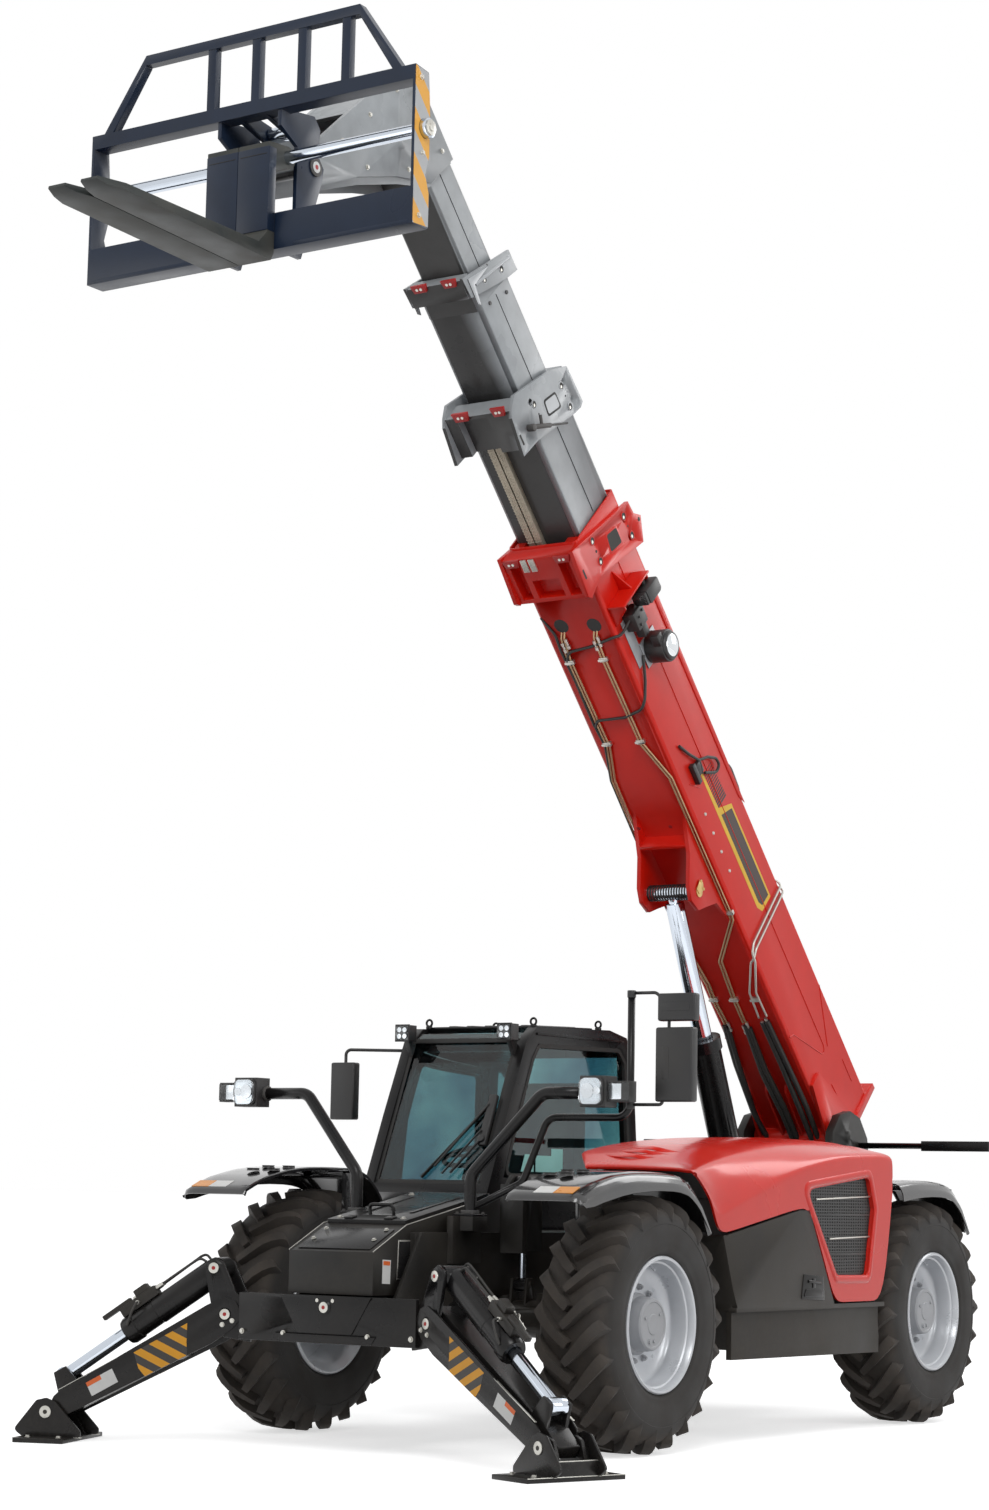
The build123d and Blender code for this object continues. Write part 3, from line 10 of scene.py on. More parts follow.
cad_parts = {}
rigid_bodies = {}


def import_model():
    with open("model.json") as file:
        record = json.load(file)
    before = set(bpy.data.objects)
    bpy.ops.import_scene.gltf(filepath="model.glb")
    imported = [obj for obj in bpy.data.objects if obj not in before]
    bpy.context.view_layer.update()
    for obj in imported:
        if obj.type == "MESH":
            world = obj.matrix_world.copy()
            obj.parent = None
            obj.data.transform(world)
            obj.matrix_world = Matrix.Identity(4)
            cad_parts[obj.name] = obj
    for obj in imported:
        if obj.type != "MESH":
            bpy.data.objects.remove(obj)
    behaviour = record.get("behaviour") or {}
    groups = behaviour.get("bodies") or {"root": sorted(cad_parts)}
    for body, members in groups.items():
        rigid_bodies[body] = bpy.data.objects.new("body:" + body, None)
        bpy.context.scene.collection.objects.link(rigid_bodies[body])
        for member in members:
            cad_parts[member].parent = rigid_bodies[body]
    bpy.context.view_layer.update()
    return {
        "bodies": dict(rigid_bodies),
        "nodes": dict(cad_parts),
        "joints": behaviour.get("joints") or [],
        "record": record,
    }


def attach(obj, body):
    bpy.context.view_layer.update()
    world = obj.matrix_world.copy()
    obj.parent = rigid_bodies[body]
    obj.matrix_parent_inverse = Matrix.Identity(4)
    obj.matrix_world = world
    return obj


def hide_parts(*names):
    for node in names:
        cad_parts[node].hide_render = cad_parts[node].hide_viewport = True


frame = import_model()
nodes = frame["nodes"]
bodyOf = {node: body for body, held in frame["record"]["behaviour"]["bodies"].items() for node in held}
scene = bpy.context.scene
print("frame loaded:", len(nodes), "nodes")

midY = 1.065             # mid-wheelbase in the frame
corners = ("front_left", "front_right", "rear_left", "rear_right")
axle = {"from middle": 1.535, "out": 1.0, "high": 0.6248}


# small tools for making pieces

def tidy(bm, merge=0.00002):
    bmesh.ops.remove_doubles(bm, verts=bm.verts, dist=merge)
    bmesh.ops.recalc_face_normals(bm, faces=bm.faces)


def finishPiece(name, bm, look, body, slot=None, sharp=32):
    tidy(bm)
    mesh = bpy.data.meshes.new(name)
    bm.to_mesh(mesh)
    bm.free()
    return placePiece(name, mesh, look, body, sharp)


def placePiece(name, mesh, look, body, sharp=32):
    piece = bpy.data.objects.new(name, mesh)
    scene.collection.objects.link(piece)
    mesh.materials.clear()
    mesh.materials.append(paint[look])
    mesh.shade_smooth()
    mesh.set_sharp_from_angle(angle=math.radians(sharp))
    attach(piece, body)
    return piece


def softenEdges(bm, width, geom=None, segments=2):
    edges = geom or [e for e in bm.edges if len(e.link_faces) == 2 and e.calc_face_angle(0) > 0.5]
    bmesh.ops.bevel(bm, geom=edges, offset=width, offset_type="OFFSET", segments=segments, profile=0.5,
                    affect="EDGES", clamp_overlap=True, material=-1)


def addBox(bm, low, high, soft=0.0, matrix=None):
    part = bmesh.new()
    bmesh.ops.create_cube(part, size=1)
    low, high = Vector(low), Vector(high)
    bmesh.ops.scale(part, vec=high - low, verts=part.verts)
    bmesh.ops.translate(part, vec=(low + high) / 2, verts=part.verts)
    if soft:
        softenEdges(part, soft)
    return addPart(bm, part, matrix)


def addPart(bm, part, matrix=None):
    if matrix is not None:
        bmesh.ops.transform(part, matrix=matrix, verts=part.verts)
    tidy(part)
    holder = bpy.data.meshes.new("holder")
    part.to_mesh(holder)
    part.free()
    bm.from_mesh(holder)
    bpy.data.meshes.remove(holder)
    return bm


def addRod(bm, start, end, radius, tip=None, sides=28, soft=0.0, matrix=None):
    start, end = Vector(start), Vector(end)
    part = bmesh.new()
    bmesh.ops.create_cone(part, cap_ends=True, segments=sides, radius1=radius,
                          radius2=radius if tip is None else tip, depth=(end - start).length)
    if soft:
        rims = [e for e in part.edges if len(e.link_faces) == 2 and e.calc_face_angle(0) > 0.8]
        softenEdges(part, soft, rims)
    turn = (end - start).to_track_quat("Z", "Y").to_matrix().to_4x4()
    bmesh.ops.transform(part, matrix=Matrix.Translation((start + end) / 2) @ turn, verts=part.verts)
    return addPart(bm, part, matrix)


# outline is drawn in the plane square to the axis: x -> (y, z), y -> (x, z), z -> (x, y)
def addPlate(bm, outline, axis, low, high, soft=0.0, matrix=None, holes=()):
    place = {"x": lambda u, v, w: (w, u, v),
             "y": lambda u, v, w: (u, w, v),
             "z": lambda u, v, w: (u, v, w)}[axis]
    part = bmesh.new()
    rim = [part.verts.new(place(u, v, low)) for u, v in outline]
    loops = [[part.edges.new((a, b)) for a, b in zip(rim, rim[1:] + rim[:1])]]
    for u, v, r in holes:
        ring = [part.verts.new(place(u + r * math.cos(t * math.tau / 20), v + r * math.sin(t * math.tau / 20),
                                     low)) for t in range(20)]
        loops.append([part.edges.new((a, b)) for a, b in zip(ring, ring[1:] + ring[:1])])
    if holes:
        bmesh.ops.triangle_fill(part, edges=[e for loop in loops for e in loop], use_beauty=True)
        bmesh.ops.dissolve_limit(part, angle_limit=0.01, verts=part.verts, edges=part.edges)
    else:
        part.faces.new(rim)
    step = Vector(place(0, 0, high)) - Vector(place(0, 0, low))
    grown = bmesh.ops.extrude_face_region(part, geom=list(part.faces))
    bmesh.ops.translate(part, vec=step, verts=[g for g in grown["geom"] if isinstance(g, bmesh.types.BMVert)])
    bmesh.ops.recalc_face_normals(part, faces=part.faces)
    if soft:
        softenEdges(part, soft)
    return addPart(bm, part, matrix)


def rect(u0, v0, u1, v1):
    return [(u0, v0), (u1, v0), (u1, v1), (u0, v1)]


# profile is (along, radius) about the X axis
def addTurned(bm, profile, steps=64, matrix=None, closed=True):
    part = bmesh.new()
    line = [part.verts.new((x, 0, r)) for x, r in profile]
    pairs = zip(line, line[1:] + line[:1]) if closed else zip(line, line[1:])
    edges = [part.edges.new(pair) for pair in pairs]
    bmesh.ops.spin(part, geom=line + edges, cent=(0, 0, 0), axis=(1, 0, 0), angle=math.tau, steps=steps,
                   use_merge=True)
    bmesh.ops.remove_doubles(part, verts=part.verts, dist=0.00001)
    return addPart(bm, part, matrix)


def addBolt(bm, at, axis, size=0.012, height=0.009, matrix=None, washer=True, sides=6):
    at, axis = Vector(at), Vector(axis).normalized()
    base = at
    if washer:
        addRod(bm, at, at + axis * height * 0.25, size * 1.35, sides=18, matrix=matrix)
        base = at + axis * height * 0.25
    addRod(bm, base, base + axis * height, size, sides=sides, matrix=matrix)
    return bm


def addRows(tool, bm, *rows, **same):
    for row in rows:
        tool(bm, *row, **same)


# the same tools in a frame of their own; the plural ones take a row of values for each part
class At:
    def __init__(self, frame):
        for name, many, tool in (("box", "boxes", addBox), ("rod", "rods", addRod),
                                 ("plate", "plates", addPlate), ("bolt", "bolts", addBolt),
                                 ("turned", "turnedRows", addTurned)):
            setattr(self, name, partial(tool, matrix=frame))
            setattr(self, many, partial(addRows, getattr(self, name)))
        self.frame = frame

    def pipe(self, name, routes, *values, **more):
        return pipePiece(name, [[self.frame @ Vector(p) for p in route] for route in routes], *values, **more)


mid = Matrix.Translation((0, midY, 0))
onMid = At(mid)


def bags(count):
    return [bmesh.new() for _ in range(count)]


# one piece from each bag: name = (bag, look, slot, sharp)
def finishAll(body, ending="", **pieces):
    for name, (bag, look, *more) in pieces.items():
        finishPiece(name + ending, bag, look, body, *more)


# a rigid pipe or bent tube: straight runs with true bends
def addPipe(curve, points, bend):
    points = [Vector(p) for p in points]
    knots = [(points[0], points[0], points[0])]
    for before, corner, after in zip(points, points[1:], points[2:]):
        inward, outward = (corner - before).normalized(), (after - corner).normalized()
        reach = min(bend * math.tan(inward.angle(outward) / 2), (corner - before).length * 0.48,
                    (after - corner).length * 0.48)
        a, b = corner - inward * reach, corner + outward * reach
        pull = 0.55
        knots.append((a, a - inward * reach * 0.3, a + inward * reach * pull))
        knots.append((b, b - outward * reach * pull, b + outward * reach * 0.3))
    knots.append((points[-1], points[-1], points[-1]))
    spline = curve.splines.new("BEZIER")
    spline.bezier_points.add(len(knots) - 1)
    for knot, (at, left, right) in zip(spline.bezier_points, knots):
        knot.handle_left_type = knot.handle_right_type = "FREE"
        knot.co, knot.handle_left, knot.handle_right = at, left, right
    spline.use_smooth = True


def pipePiece(name, routes, radius, bend, look, body, slot=None, fine=5, round=3):
    curve = bpy.data.curves.new(name, "CURVE")
    curve.dimensions = "3D"
    curve.bevel_depth = radius
    curve.bevel_resolution = round
    curve.resolution_u = fine
    curve.use_fill_caps = True
    for route in routes:
        addPipe(curve, route, bend)
    curve.materials.append(paint[look])
    piece = bpy.data.objects.new(name, curve)
    scene.collection.objects.link(piece)
    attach(piece, body)
    return piece


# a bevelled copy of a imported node, standing for it
def dressNode(node, look, soft=0.003, sharp=32, name=None, shortest=0.02):
    mesh = nodes[node].data.copy()
    bm = bmesh.new()
    bm.from_mesh(mesh)
    bmesh.ops.remove_doubles(bm, verts=bm.verts, dist=0.00005)
    bmesh.ops.dissolve_limit(bm, angle_limit=math.radians(0.6), verts=bm.verts, edges=bm.edges)
    if soft:
        edges = [e for e in bm.edges if len(e.link_faces) == 2 and e.calc_length() > shortest
                 and e.calc_face_angle(0) > math.radians(38)]
        softenEdges(bm, soft, edges)
    bmesh.ops.triangulate(bm, faces=[f for f in bm.faces if len(f.verts) > 4])
    bm.to_mesh(mesh)
    bm.free()
    piece = placePiece(name or node + "Skin", mesh, look, bodyOf[node], sharp=sharp)
    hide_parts(node)
    return piece


def leftAndRight(build):
    for side, sign in (("Left", 1), ("Right", -1)):
        build(side, sign)


def mirrorX(sign):
    return Matrix.Diagonal((sign, 1, 1, 1))


# a corner's name for its pieces and the frame of its wheel, mirrored for the right side
def cornerPlace(corner):
    sign = axle["out"] if corner.endswith("left") else -axle["out"]
    along = -axle["from middle"] if corner.startswith("front") else axle["from middle"]
    camel = "".join(word.title() for word in corner.split("_"))
    return camel, Matrix.Translation((sign, midY + along, axle["high"])) @ mirrorX(sign)


# shader groups

def newGroup(name, inputs, outputs):
    group = bpy.data.node_groups.new(name, "ShaderNodeTree")
    for title, kind, value in inputs:
        socket = group.interface.new_socket(name=title, in_out="INPUT", socket_type=kind)
        socket.default_value = value
    for title, kind in outputs:
        group.interface.new_socket(name=title, in_out="OUTPUT", socket_type=kind)
    return group, group.nodes.new("NodeGroupInput"), group.nodes.new("NodeGroupOutput")


def addNode(tree, kind, **values):
    node = tree.nodes.new(kind)
    for key, value in values.items():
        if hasattr(node, key):
            setattr(node, key, value)
        else:
            node.inputs[key].default_value = value
    return node


def addNoise(tree, vector, scale, detail=3.0, rough=0.55):
    noise = tree.nodes.new("ShaderNodeTexNoise")
    noise.inputs["Scale"].default_value = scale
    noise.inputs["Detail"].default_value = detail
    noise.inputs["Roughness"].default_value = rough
    tree.links.new(vector, noise.inputs["Vector"])
    return noise.outputs["Fac"]


def addRamp(tree, source, low, high, fromValue=0.0, toValue=1.0):
    ramp = tree.nodes.new("ShaderNodeMapRange")
    for key, value in (("From Min", low), ("From Max", high), ("To Min", fromValue), ("To Max", toValue)):
        ramp.inputs[key].default_value = value
    tree.links.new(source, ramp.inputs["Value"])
    return ramp.outputs["Result"]


def addMath(tree, operation, a, b):
    node = tree.nodes.new("ShaderNodeMath")
    node.operation = operation
    for index, value in enumerate((a, b)):
        if isinstance(value, (int, float)):
            node.inputs[index].default_value = value
        else:
            tree.links.new(value, node.inputs[index])
    return node.outputs[0]


def addMix(tree, factor, a, b):
    mix = tree.nodes.new("ShaderNodeMix")
    mix.data_type = "RGBA"
    tree.links.new(factor, mix.inputs[0])
    for index, value in ((6, a), (7, b)):
        if isinstance(value, tuple):
            mix.inputs[index].default_value = (*value, 1) if len(value) == 3 else value
        else:
            tree.links.new(value, mix.inputs[index])
    return mix.outputs[2]


def spotIn(tree, kind="Object"):
    return tree.nodes.new("ShaderNodeTexCoord").outputs[kind]


def addDot(tree, source, along):
    node = tree.nodes.new("ShaderNodeVectorMath")
    node.operation = "DOT_PRODUCT"
    node.inputs[1].default_value = along
    tree.links.new(source, node.inputs[0])
    return node.outputs["Value"]


# puts another colour into a finished look
def recolor(name, color):
    tree = paint[name].node_tree
    tree.links.new(color, next(n for n in tree.nodes if n.type == "GROUP").inputs["Color"])


# paint or plastic with soft dust clouds, a dustier foot and a fine skin
def agedSkin():
    tree, given, out = newGroup("agedSkin",
                                [("Color", "NodeSocketColor", (0.5, 0.5, 0.5, 1)),
                                 ("Dust Color", "NodeSocketColor", (0.3, 0.26, 0.2, 1)),
                                 ("Dust", "NodeSocketFloat", 0.1), ("Foot Dust", "NodeSocketFloat", 0.2),
                                 ("Foot Height", "NodeSocketFloat", 1.0),
                                 ("Cloud Scale", "NodeSocketFloat", 3.0), ("Tone", "NodeSocketFloat", 0.1),
                                 ("Roughness", "NodeSocketFloat", 0.4), ("Spread", "NodeSocketFloat", 0.12),
                                 ("Grain Scale", "NodeSocketFloat", 320.0), ("Grain", "NodeSocketFloat", 0.3)],
                                [("Color", "NodeSocketColor"), ("Roughness", "NodeSocketFloat"),
                                 ("Height", "NodeSocketFloat")])
    link = tree.links.new
    spot = spotIn(tree)
    cloud = tree.nodes.new("ShaderNodeTexNoise")
    cloud.inputs["Detail"].default_value = 5
    link(spot, cloud.inputs["Vector"])
    link(given.outputs["Cloud Scale"], cloud.inputs["Scale"])
    soft = addRamp(tree, cloud.outputs["Fac"], 0.35, 0.72)
    split = tree.nodes.new("ShaderNodeSeparateXYZ")
    link(spot, split.inputs[0])
    low = addMath(tree, "DIVIDE", split.outputs["Z"], given.outputs["Foot Height"])
    low = addRamp(tree, low, 0.0, 1.0, 1.0, 0.0)
    foot = addMath(tree, "MULTIPLY", low, given.outputs["Foot Dust"])
    speck = addRamp(tree, addNoise(tree, spot, 38, 6, 0.7), 0.42, 0.68)
    foot = addMath(tree, "MULTIPLY", foot, addRamp(tree, speck, 0, 1, 0.45, 1.0))
    veil = addMath(tree, "MULTIPLY", soft, given.outputs["Dust"])
    dust = addMath(tree, "ADD", veil, foot)
    shade = addRamp(tree, addNoise(tree, spot, 7, 4), 0.3, 0.7, -0.5, 0.5)
    shade = addMath(tree, "MULTIPLY", shade, given.outputs["Tone"])
    shade = addMath(tree, "ADD", shade, 1.0)
    toned = tree.nodes.new("ShaderNodeVectorMath")
    toned.operation = "SCALE"
    link(given.outputs["Color"], toned.inputs[0])
    link(shade, toned.inputs["Scale"])
    color = addMix(tree, dust, toned.outputs[0], given.outputs["Dust Color"])
    link(color, out.inputs["Color"])
    wide = addMath(tree, "MULTIPLY", addRamp(tree, cloud.outputs["Fac"], 0.3, 0.7, -0.5, 0.5),
                   given.outputs["Spread"])
    rough = addMath(tree, "ADD", addMath(tree, "ADD", given.outputs["Roughness"], wide),
                    addMath(tree, "MULTIPLY", dust, 0.5))
    link(rough, out.inputs["Roughness"])
    grain = tree.nodes.new("ShaderNodeTexNoise")
    grain.inputs["Detail"].default_value = 2
    link(spot, grain.inputs["Vector"])
    link(given.outputs["Grain Scale"], grain.inputs["Scale"])
    link(addMath(tree, "MULTIPLY", grain.outputs["Fac"], given.outputs["Grain"]), out.inputs["Height"])
    return tree


agedGroup = agedSkin()
paint = {}      # every material by its name


def agedMaterial(name, look):
    material = bpy.data.materials.new(name)
    material.use_nodes = True
    tree = material.node_tree
    shader = tree.nodes["Principled BSDF"]
    aged = tree.nodes.new("ShaderNodeGroup")
    aged.node_tree = agedGroup
    for key, value in look["aged"].items():
        aged.inputs[key].default_value = (*value, 1) if isinstance(value, tuple) else value
    tree.links.new(aged.outputs["Color"], shader.inputs["Base Color"])
    tree.links.new(aged.outputs["Roughness"], shader.inputs["Roughness"])
    bump = tree.nodes.new("ShaderNodeBump")
    bump.inputs["Strength"].default_value = look.get("bump", 0.15)
    bump.inputs["Distance"].default_value = look.get("depth", 0.002)
    tree.links.new(aged.outputs["Height"], bump.inputs["Height"])
    tree.links.new(bump.outputs["Normal"], shader.inputs["Normal"])
    for key, value in look.get("shader", {}).items():
        shader.inputs[key].default_value = value
    material.diffuse_color = (*look["aged"]["Color"], 1)
    paint[name] = material
    return material


def agedLook(color, rough, dust=0.05, foot=0.15, height=1.0, tone=0.12, spread=0.12, cloud=3.0, grain=0.3,
             scale=320.0, dustColor=(0.28, 0.24, 0.19), bump=0.12, depth=0.002, **shader):
    return {"aged": {"Color": color, "Roughness": rough, "Dust": dust, "Foot Dust": foot, "Foot Height": height,
                     "Tone": tone, "Spread": spread, "Cloud Scale": cloud, "Grain": grain, "Grain Scale": scale,
                     "Dust Color": dustColor}, "bump": bump, "depth": depth,
            "shader": {key.replace("_", " "): value for key, value in shader.items()}}


looks = {
    "redEnamel": agedLook((0.68, 0.012, 0.004), 0.34, dust=0.03, tone=0.08, cloud=1.6,
                          dustColor=(0.45, 0.16, 0.1),
                          Coat_Weight=0.08, Coat_Roughness=0.15, Specular_IOR_Level=0.28),
    "hoodRed": agedLook((0.72, 0.013, 0.004), 0.26, dust=0.04, foot=0.06, tone=0.05, cloud=1.4,
                        dustColor=(0.6, 0.3, 0.24), Coat_Weight=0.18, Coat_Roughness=0.1,
                        Specular_IOR_Level=0.3),
    "deepRed": agedLook((0.42, 0.008, 0.01), 0.4, tone=0.12),
    "boomGrey": agedLook((0.34, 0.36, 0.375), 0.3, dust=0.1, tone=0.22, cloud=2.4, dustColor=(0.3, 0.29, 0.27),
                         Specular_IOR_Level=0.3),
    "collarGrey": agedLook((0.46, 0.48, 0.5), 0.3, dust=0.06, tone=0.12),
    "blackEnamel": agedLook((0.0055, 0.0055, 0.0065), 0.26, dust=0.03, foot=0.06, Specular_IOR_Level=0.25),
    "cabBlack": agedLook((0.0055, 0.0055, 0.0065), 0.28, dust=0.03, foot=0.04, Specular_IOR_Level=0.25),
    "frameBlack": agedLook((0.007, 0.0065, 0.006), 0.42, dust=0.07, foot=0.16, tone=0.3,
                           Specular_IOR_Level=0.3),
    "sillBlack": agedLook((0.016, 0.014, 0.012), 0.55, dust=0.06, foot=0.1, tone=0.3, Specular_IOR_Level=0.3),
    "guardBlack": agedLook((0.012, 0.013, 0.016), 0.16, dust=0.05, foot=0.12, height=1.6, Coat_Weight=0.6,
                           Coat_Roughness=0.06),
    "carriageNavy": agedLook((0.007, 0.016, 0.038), 0.32, dust=0.03, foot=0.0, tone=0.2,
                             dustColor=(0.1, 0.13, 0.18),
                             Specular_IOR_Level=0.35),
    "forkIron": agedLook((0.03, 0.035, 0.034), 0.48, dust=0.12, foot=0.0, tone=0.3, cloud=5.0,
                         Specular_IOR_Level=0.3),
    "wheelSilver": agedLook((0.6, 0.62, 0.65), 0.3, dust=0.05, foot=0.12, height=1.3, tone=0.08, Metallic=0.25),
    "hubGrey": agedLook((0.4, 0.41, 0.43), 0.42, dust=0.08, foot=0.12, height=1.3, tone=0.1),
    "chrome": agedLook((0.58, 0.63, 0.7), 0.12, dust=0.0, foot=0.0, spread=0.05, tone=0.02, bump=0.02,
                       Metallic=1.0),
    "zinc": agedLook((0.55, 0.54, 0.5), 0.36, dust=0.05, foot=0.1, tone=0.1, Metallic=0.9),
    "bronzePipe": agedLook((0.42, 0.28, 0.16), 0.34, dust=0.08, foot=0.0, tone=0.25, Metallic=0.85),
    "brass": agedLook((0.62, 0.45, 0.18), 0.36, dust=0.04, foot=0.0, tone=0.2, Metallic=0.9),
    "chainSteel": agedLook((0.44, 0.39, 0.31), 0.42, dust=0.1, foot=0.0, tone=0.35, Metallic=0.6),
    "rubberHose": agedLook((0.012, 0.012, 0.012), 0.55, dust=0.08, tone=0.2, scale=500.0),
    "sealRubber": agedLook((0.01, 0.01, 0.01), 0.7, dust=0.05),
    "blackPlastic": agedLook((0.014, 0.014, 0.015), 0.45, dust=0.05, scale=700.0, bump=0.25),
    "trimPlastic": agedLook((0.035, 0.036, 0.038), 0.6, dust=0.06, scale=500.0, bump=0.2),
    "whiteLabel": agedLook((0.78, 0.78, 0.76), 0.5, dust=0.06, foot=0.1),
    "orangeLabel": agedLook((0.85, 0.16, 0.03), 0.45, dust=0.05, foot=0.1),
    "amberReflex": agedLook((0.8, 0.3, 0.03), 0.25, dust=0.02),
    "plateBlack": agedLook((0.015, 0.015, 0.016), 0.28, dust=0.03),
    "ironBlock": agedLook((0.05, 0.05, 0.052), 0.6, dust=0.2),
    "yellowLabel": agedLook((0.8, 0.5, 0.02), 0.42, dust=0.05, foot=0.0),
    "stripBlack": agedLook((0.03, 0.012, 0.01), 0.4, dust=0.05, foot=0.0),
    "padRed": agedLook((0.48, 0.012, 0.012), 0.45, dust=0.06, tone=0.2),
    "tealLabel": agedLook((0.3, 0.62, 0.58), 0.5, dust=0.03, foot=0.0),
    "lampSilver": agedLook((0.7, 0.72, 0.74), 0.16, dust=0.0, foot=0.0, tone=0.02, Metallic=1.0),
}
for name, look in looks.items():
    agedMaterial(name, look)


# painted shade: dark underside on the boom's inner sections, darkened in the colour to stand for the shade
# under them
def paintedUndersideShade(name, shade):
    tree = paint[name].node_tree
    # faces turned down are mixed towards the dark colour as painted shade
    under = addRamp(tree, addDot(tree, spotIn(tree, "Normal"), boomUnder), 0.75, 0.9, 0.0, 0.9)
    recolor(name, addMix(tree, under, looks[name]["aged"]["Color"], shade))


boomUnder = (0.0, -0.716, -0.698)       # square to the boom's lower faces
paintedUndersideShade("boomGrey", (0.014, 0.011, 0.009))
paintedUndersideShade("collarGrey", (0.018, 0.015, 0.014))


def plainMaterial(name, color, rough, **values):
    material = bpy.data.materials.new(name)
    material.use_nodes = True
    shader = material.node_tree.nodes["Principled BSDF"]
    shader.inputs["Base Color"].default_value = (*color, 1)
    shader.inputs["Roughness"].default_value = rough
    for key, value in values.items():
        shader.inputs[key.replace("_", " ")].default_value = value
    material.diffuse_color = (*color, 1)
    paint[name] = material
    return material


def smearedGlass(name, color, rough, **values):
    material = plainMaterial(name, color, rough, **values)
    tree = material.node_tree
    spot = spotIn(tree)
    smear = addRamp(tree, addNoise(tree, spot, 4, 5), 0.4, 0.7, rough, rough + 0.02)
    tree.links.new(smear, tree.nodes["Principled BSDF"].inputs["Roughness"])
    return material


cabTint = smearedGlass("cabGlass", (0.14, 0.3, 0.36), 0.0, Transmission_Weight=1.0, IOR=1.5).node_tree
tintCloud = addRamp(cabTint, addNoise(cabTint, spotIn(cabTint), 1.7, 3), 0.38, 0.62)
cabTint.links.new(addMix(cabTint, tintCloud, (0.11, 0.25, 0.31), (0.27, 0.46, 0.47)),
                  cabTint.nodes["Principled BSDF"].inputs["Base Color"])
smearedGlass("lampGlass", (0.92, 0.95, 0.97), 0.0, Transmission_Weight=1.0, IOR=1.4)
smearedGlass("mirrorGlass", (0.75, 0.78, 0.8), 0.02, Metallic=1.0)


# diagonal stripes; along runs square to the bands
def stripedMaterial(name, look, other, along, width):
    tree = agedMaterial(name, look).node_tree
    wave = addMath(tree, "FRACT", addMath(tree, "DIVIDE", addDot(tree, spotIn(tree), along), width), 0.0)
    band = addMath(tree, "GREATER_THAN", wave, 0.5)
    recolor(name, addMix(tree, band, look["aged"]["Color"], other))


# rubber: browner and dustier on the tread, dark on the side wall
def tyreMaterial():
    look = {"dark": (0.017, 0.016, 0.0155), "brown": (0.05, 0.04, 0.032), "rough": 0.78}
    tree = agedMaterial("tyreRubber",
                        agedLook(look["dark"], look["rough"], dust=0.1, foot=0.1, height=1.4, tone=0.35,
                                 cloud=6.0, dustColor=(0.1, 0.082, 0.066), scale=240.0, bump=0.35,
                                 depth=0.003)).node_tree
    tread = addNode(tree, "ShaderNodeAttribute", attribute_name="tread")
    patchy = addRamp(tree, addNoise(tree, spotIn(tree), 9, 5), 0.3, 0.7, 0.25, 1.0)
    worn = addMath(tree, "MULTIPLY", tread.outputs["Fac"], patchy)
    recolor("tyreRubber", addMix(tree, worn, look["dark"], look["brown"]))


tyreMaterial()
print("materials made:", len(paint))

# plain nodes: bevelled copies with finished materials

finishOf = {
    "axles": "frameBlack", "boom_base": "redEnamel", "boom_section_2": "boomGrey", "boom_section_3": "boomGrey",
    "boom_section_4": "boomGrey", "cab_shell": "cabBlack", "cab_door": "cabBlack",
    "carriage_frame": "carriageNavy",
    "chassis_frame": "frameBlack", "engine_block": "ironBlock", "engine_hood": "hoodRed",
    "fork_left": "forkIron", "fork_right": "forkIron", "fork_shaft": "chrome",
    "leveling_cylinder": "blackEnamel",
    "lift_barrel": "blackEnamel", "lift_rod": "chrome", "tilt_barrel": "blackEnamel", "tilt_rod": "chrome",
    "light_posts": "blackEnamel", "nose_hatch": "blackEnamel", "pod_body": "sillBlack",
    "pod_grille": "blackPlastic",
    "rear_light_bar": "blackEnamel", "side_tank": "frameBlack", "stabilizer_beam": "blackEnamel",
    "cab_interior": "trimPlastic", "mirrors": "blackPlastic", "headlamps": "blackPlastic",
    "cab_glass": "cabGlass", "cab_door_glass": "cabGlass", "boom_chains": "chainSteel",
}
for corner in corners:
    finishOf["knuckle_" + corner] = "frameBlack"
    finishOf["fender_" + corner] = "guardBlack"
    finishOf["tyre_" + corner] = "tyreRubber"
    finishOf["rim_" + corner] = "wheelSilver"
for side in ("left", "right"):
    for part in ("leg", "barrel", "foot"):
        finishOf[f"stabilizer_{part}_{side}"] = "blackEnamel"
    finishOf[f"stabilizer_rod_{side}"] = "chrome"

edgeWidth = {"boom_base": 0.005, "boom_section_2": 0.004, "boom_section_3": 0.004, "boom_section_4": 0.005,
             "carriage_frame": 0.004, "fork_left": 0.005, "fork_right": 0.005, "cab_shell": 0.006,
             "cab_glass": 0.0, "cab_door_glass": 0.0, "engine_hood": 0.012, "engine_block": 0.01,
             "chassis_frame": 0.004, "stabilizer_beam": 0.005, "pod_body": 0.003, "nose_hatch": 0.006}


def dressPlainNodes(skip):
    for node in sorted(nodes):
        if node in skip:
            continue
        dressNode(node, finishOf[node], soft=edgeWidth.get(node, 0.003), name=node + "_skin")


# wheels

wheel = {"lugs": 22, "lean": math.radians(40), "half": 0.021}
tyreLine = [(0.15, 0.319), (0.17, 0.332), (0.186, 0.352), (0.19, 0.362), (0.189, 0.372), (0.196, 0.392),
            (0.1985, 0.42), (0.1995, 0.445), (0.1985, 0.47), (0.1965, 0.486), (0.1985, 0.489), (0.1975, 0.495),
            (0.193, 0.512), (0.184, 0.532), (0.168, 0.553), (0.14, 0.568), (0.08, 0.578), (0.0, 0.583)]
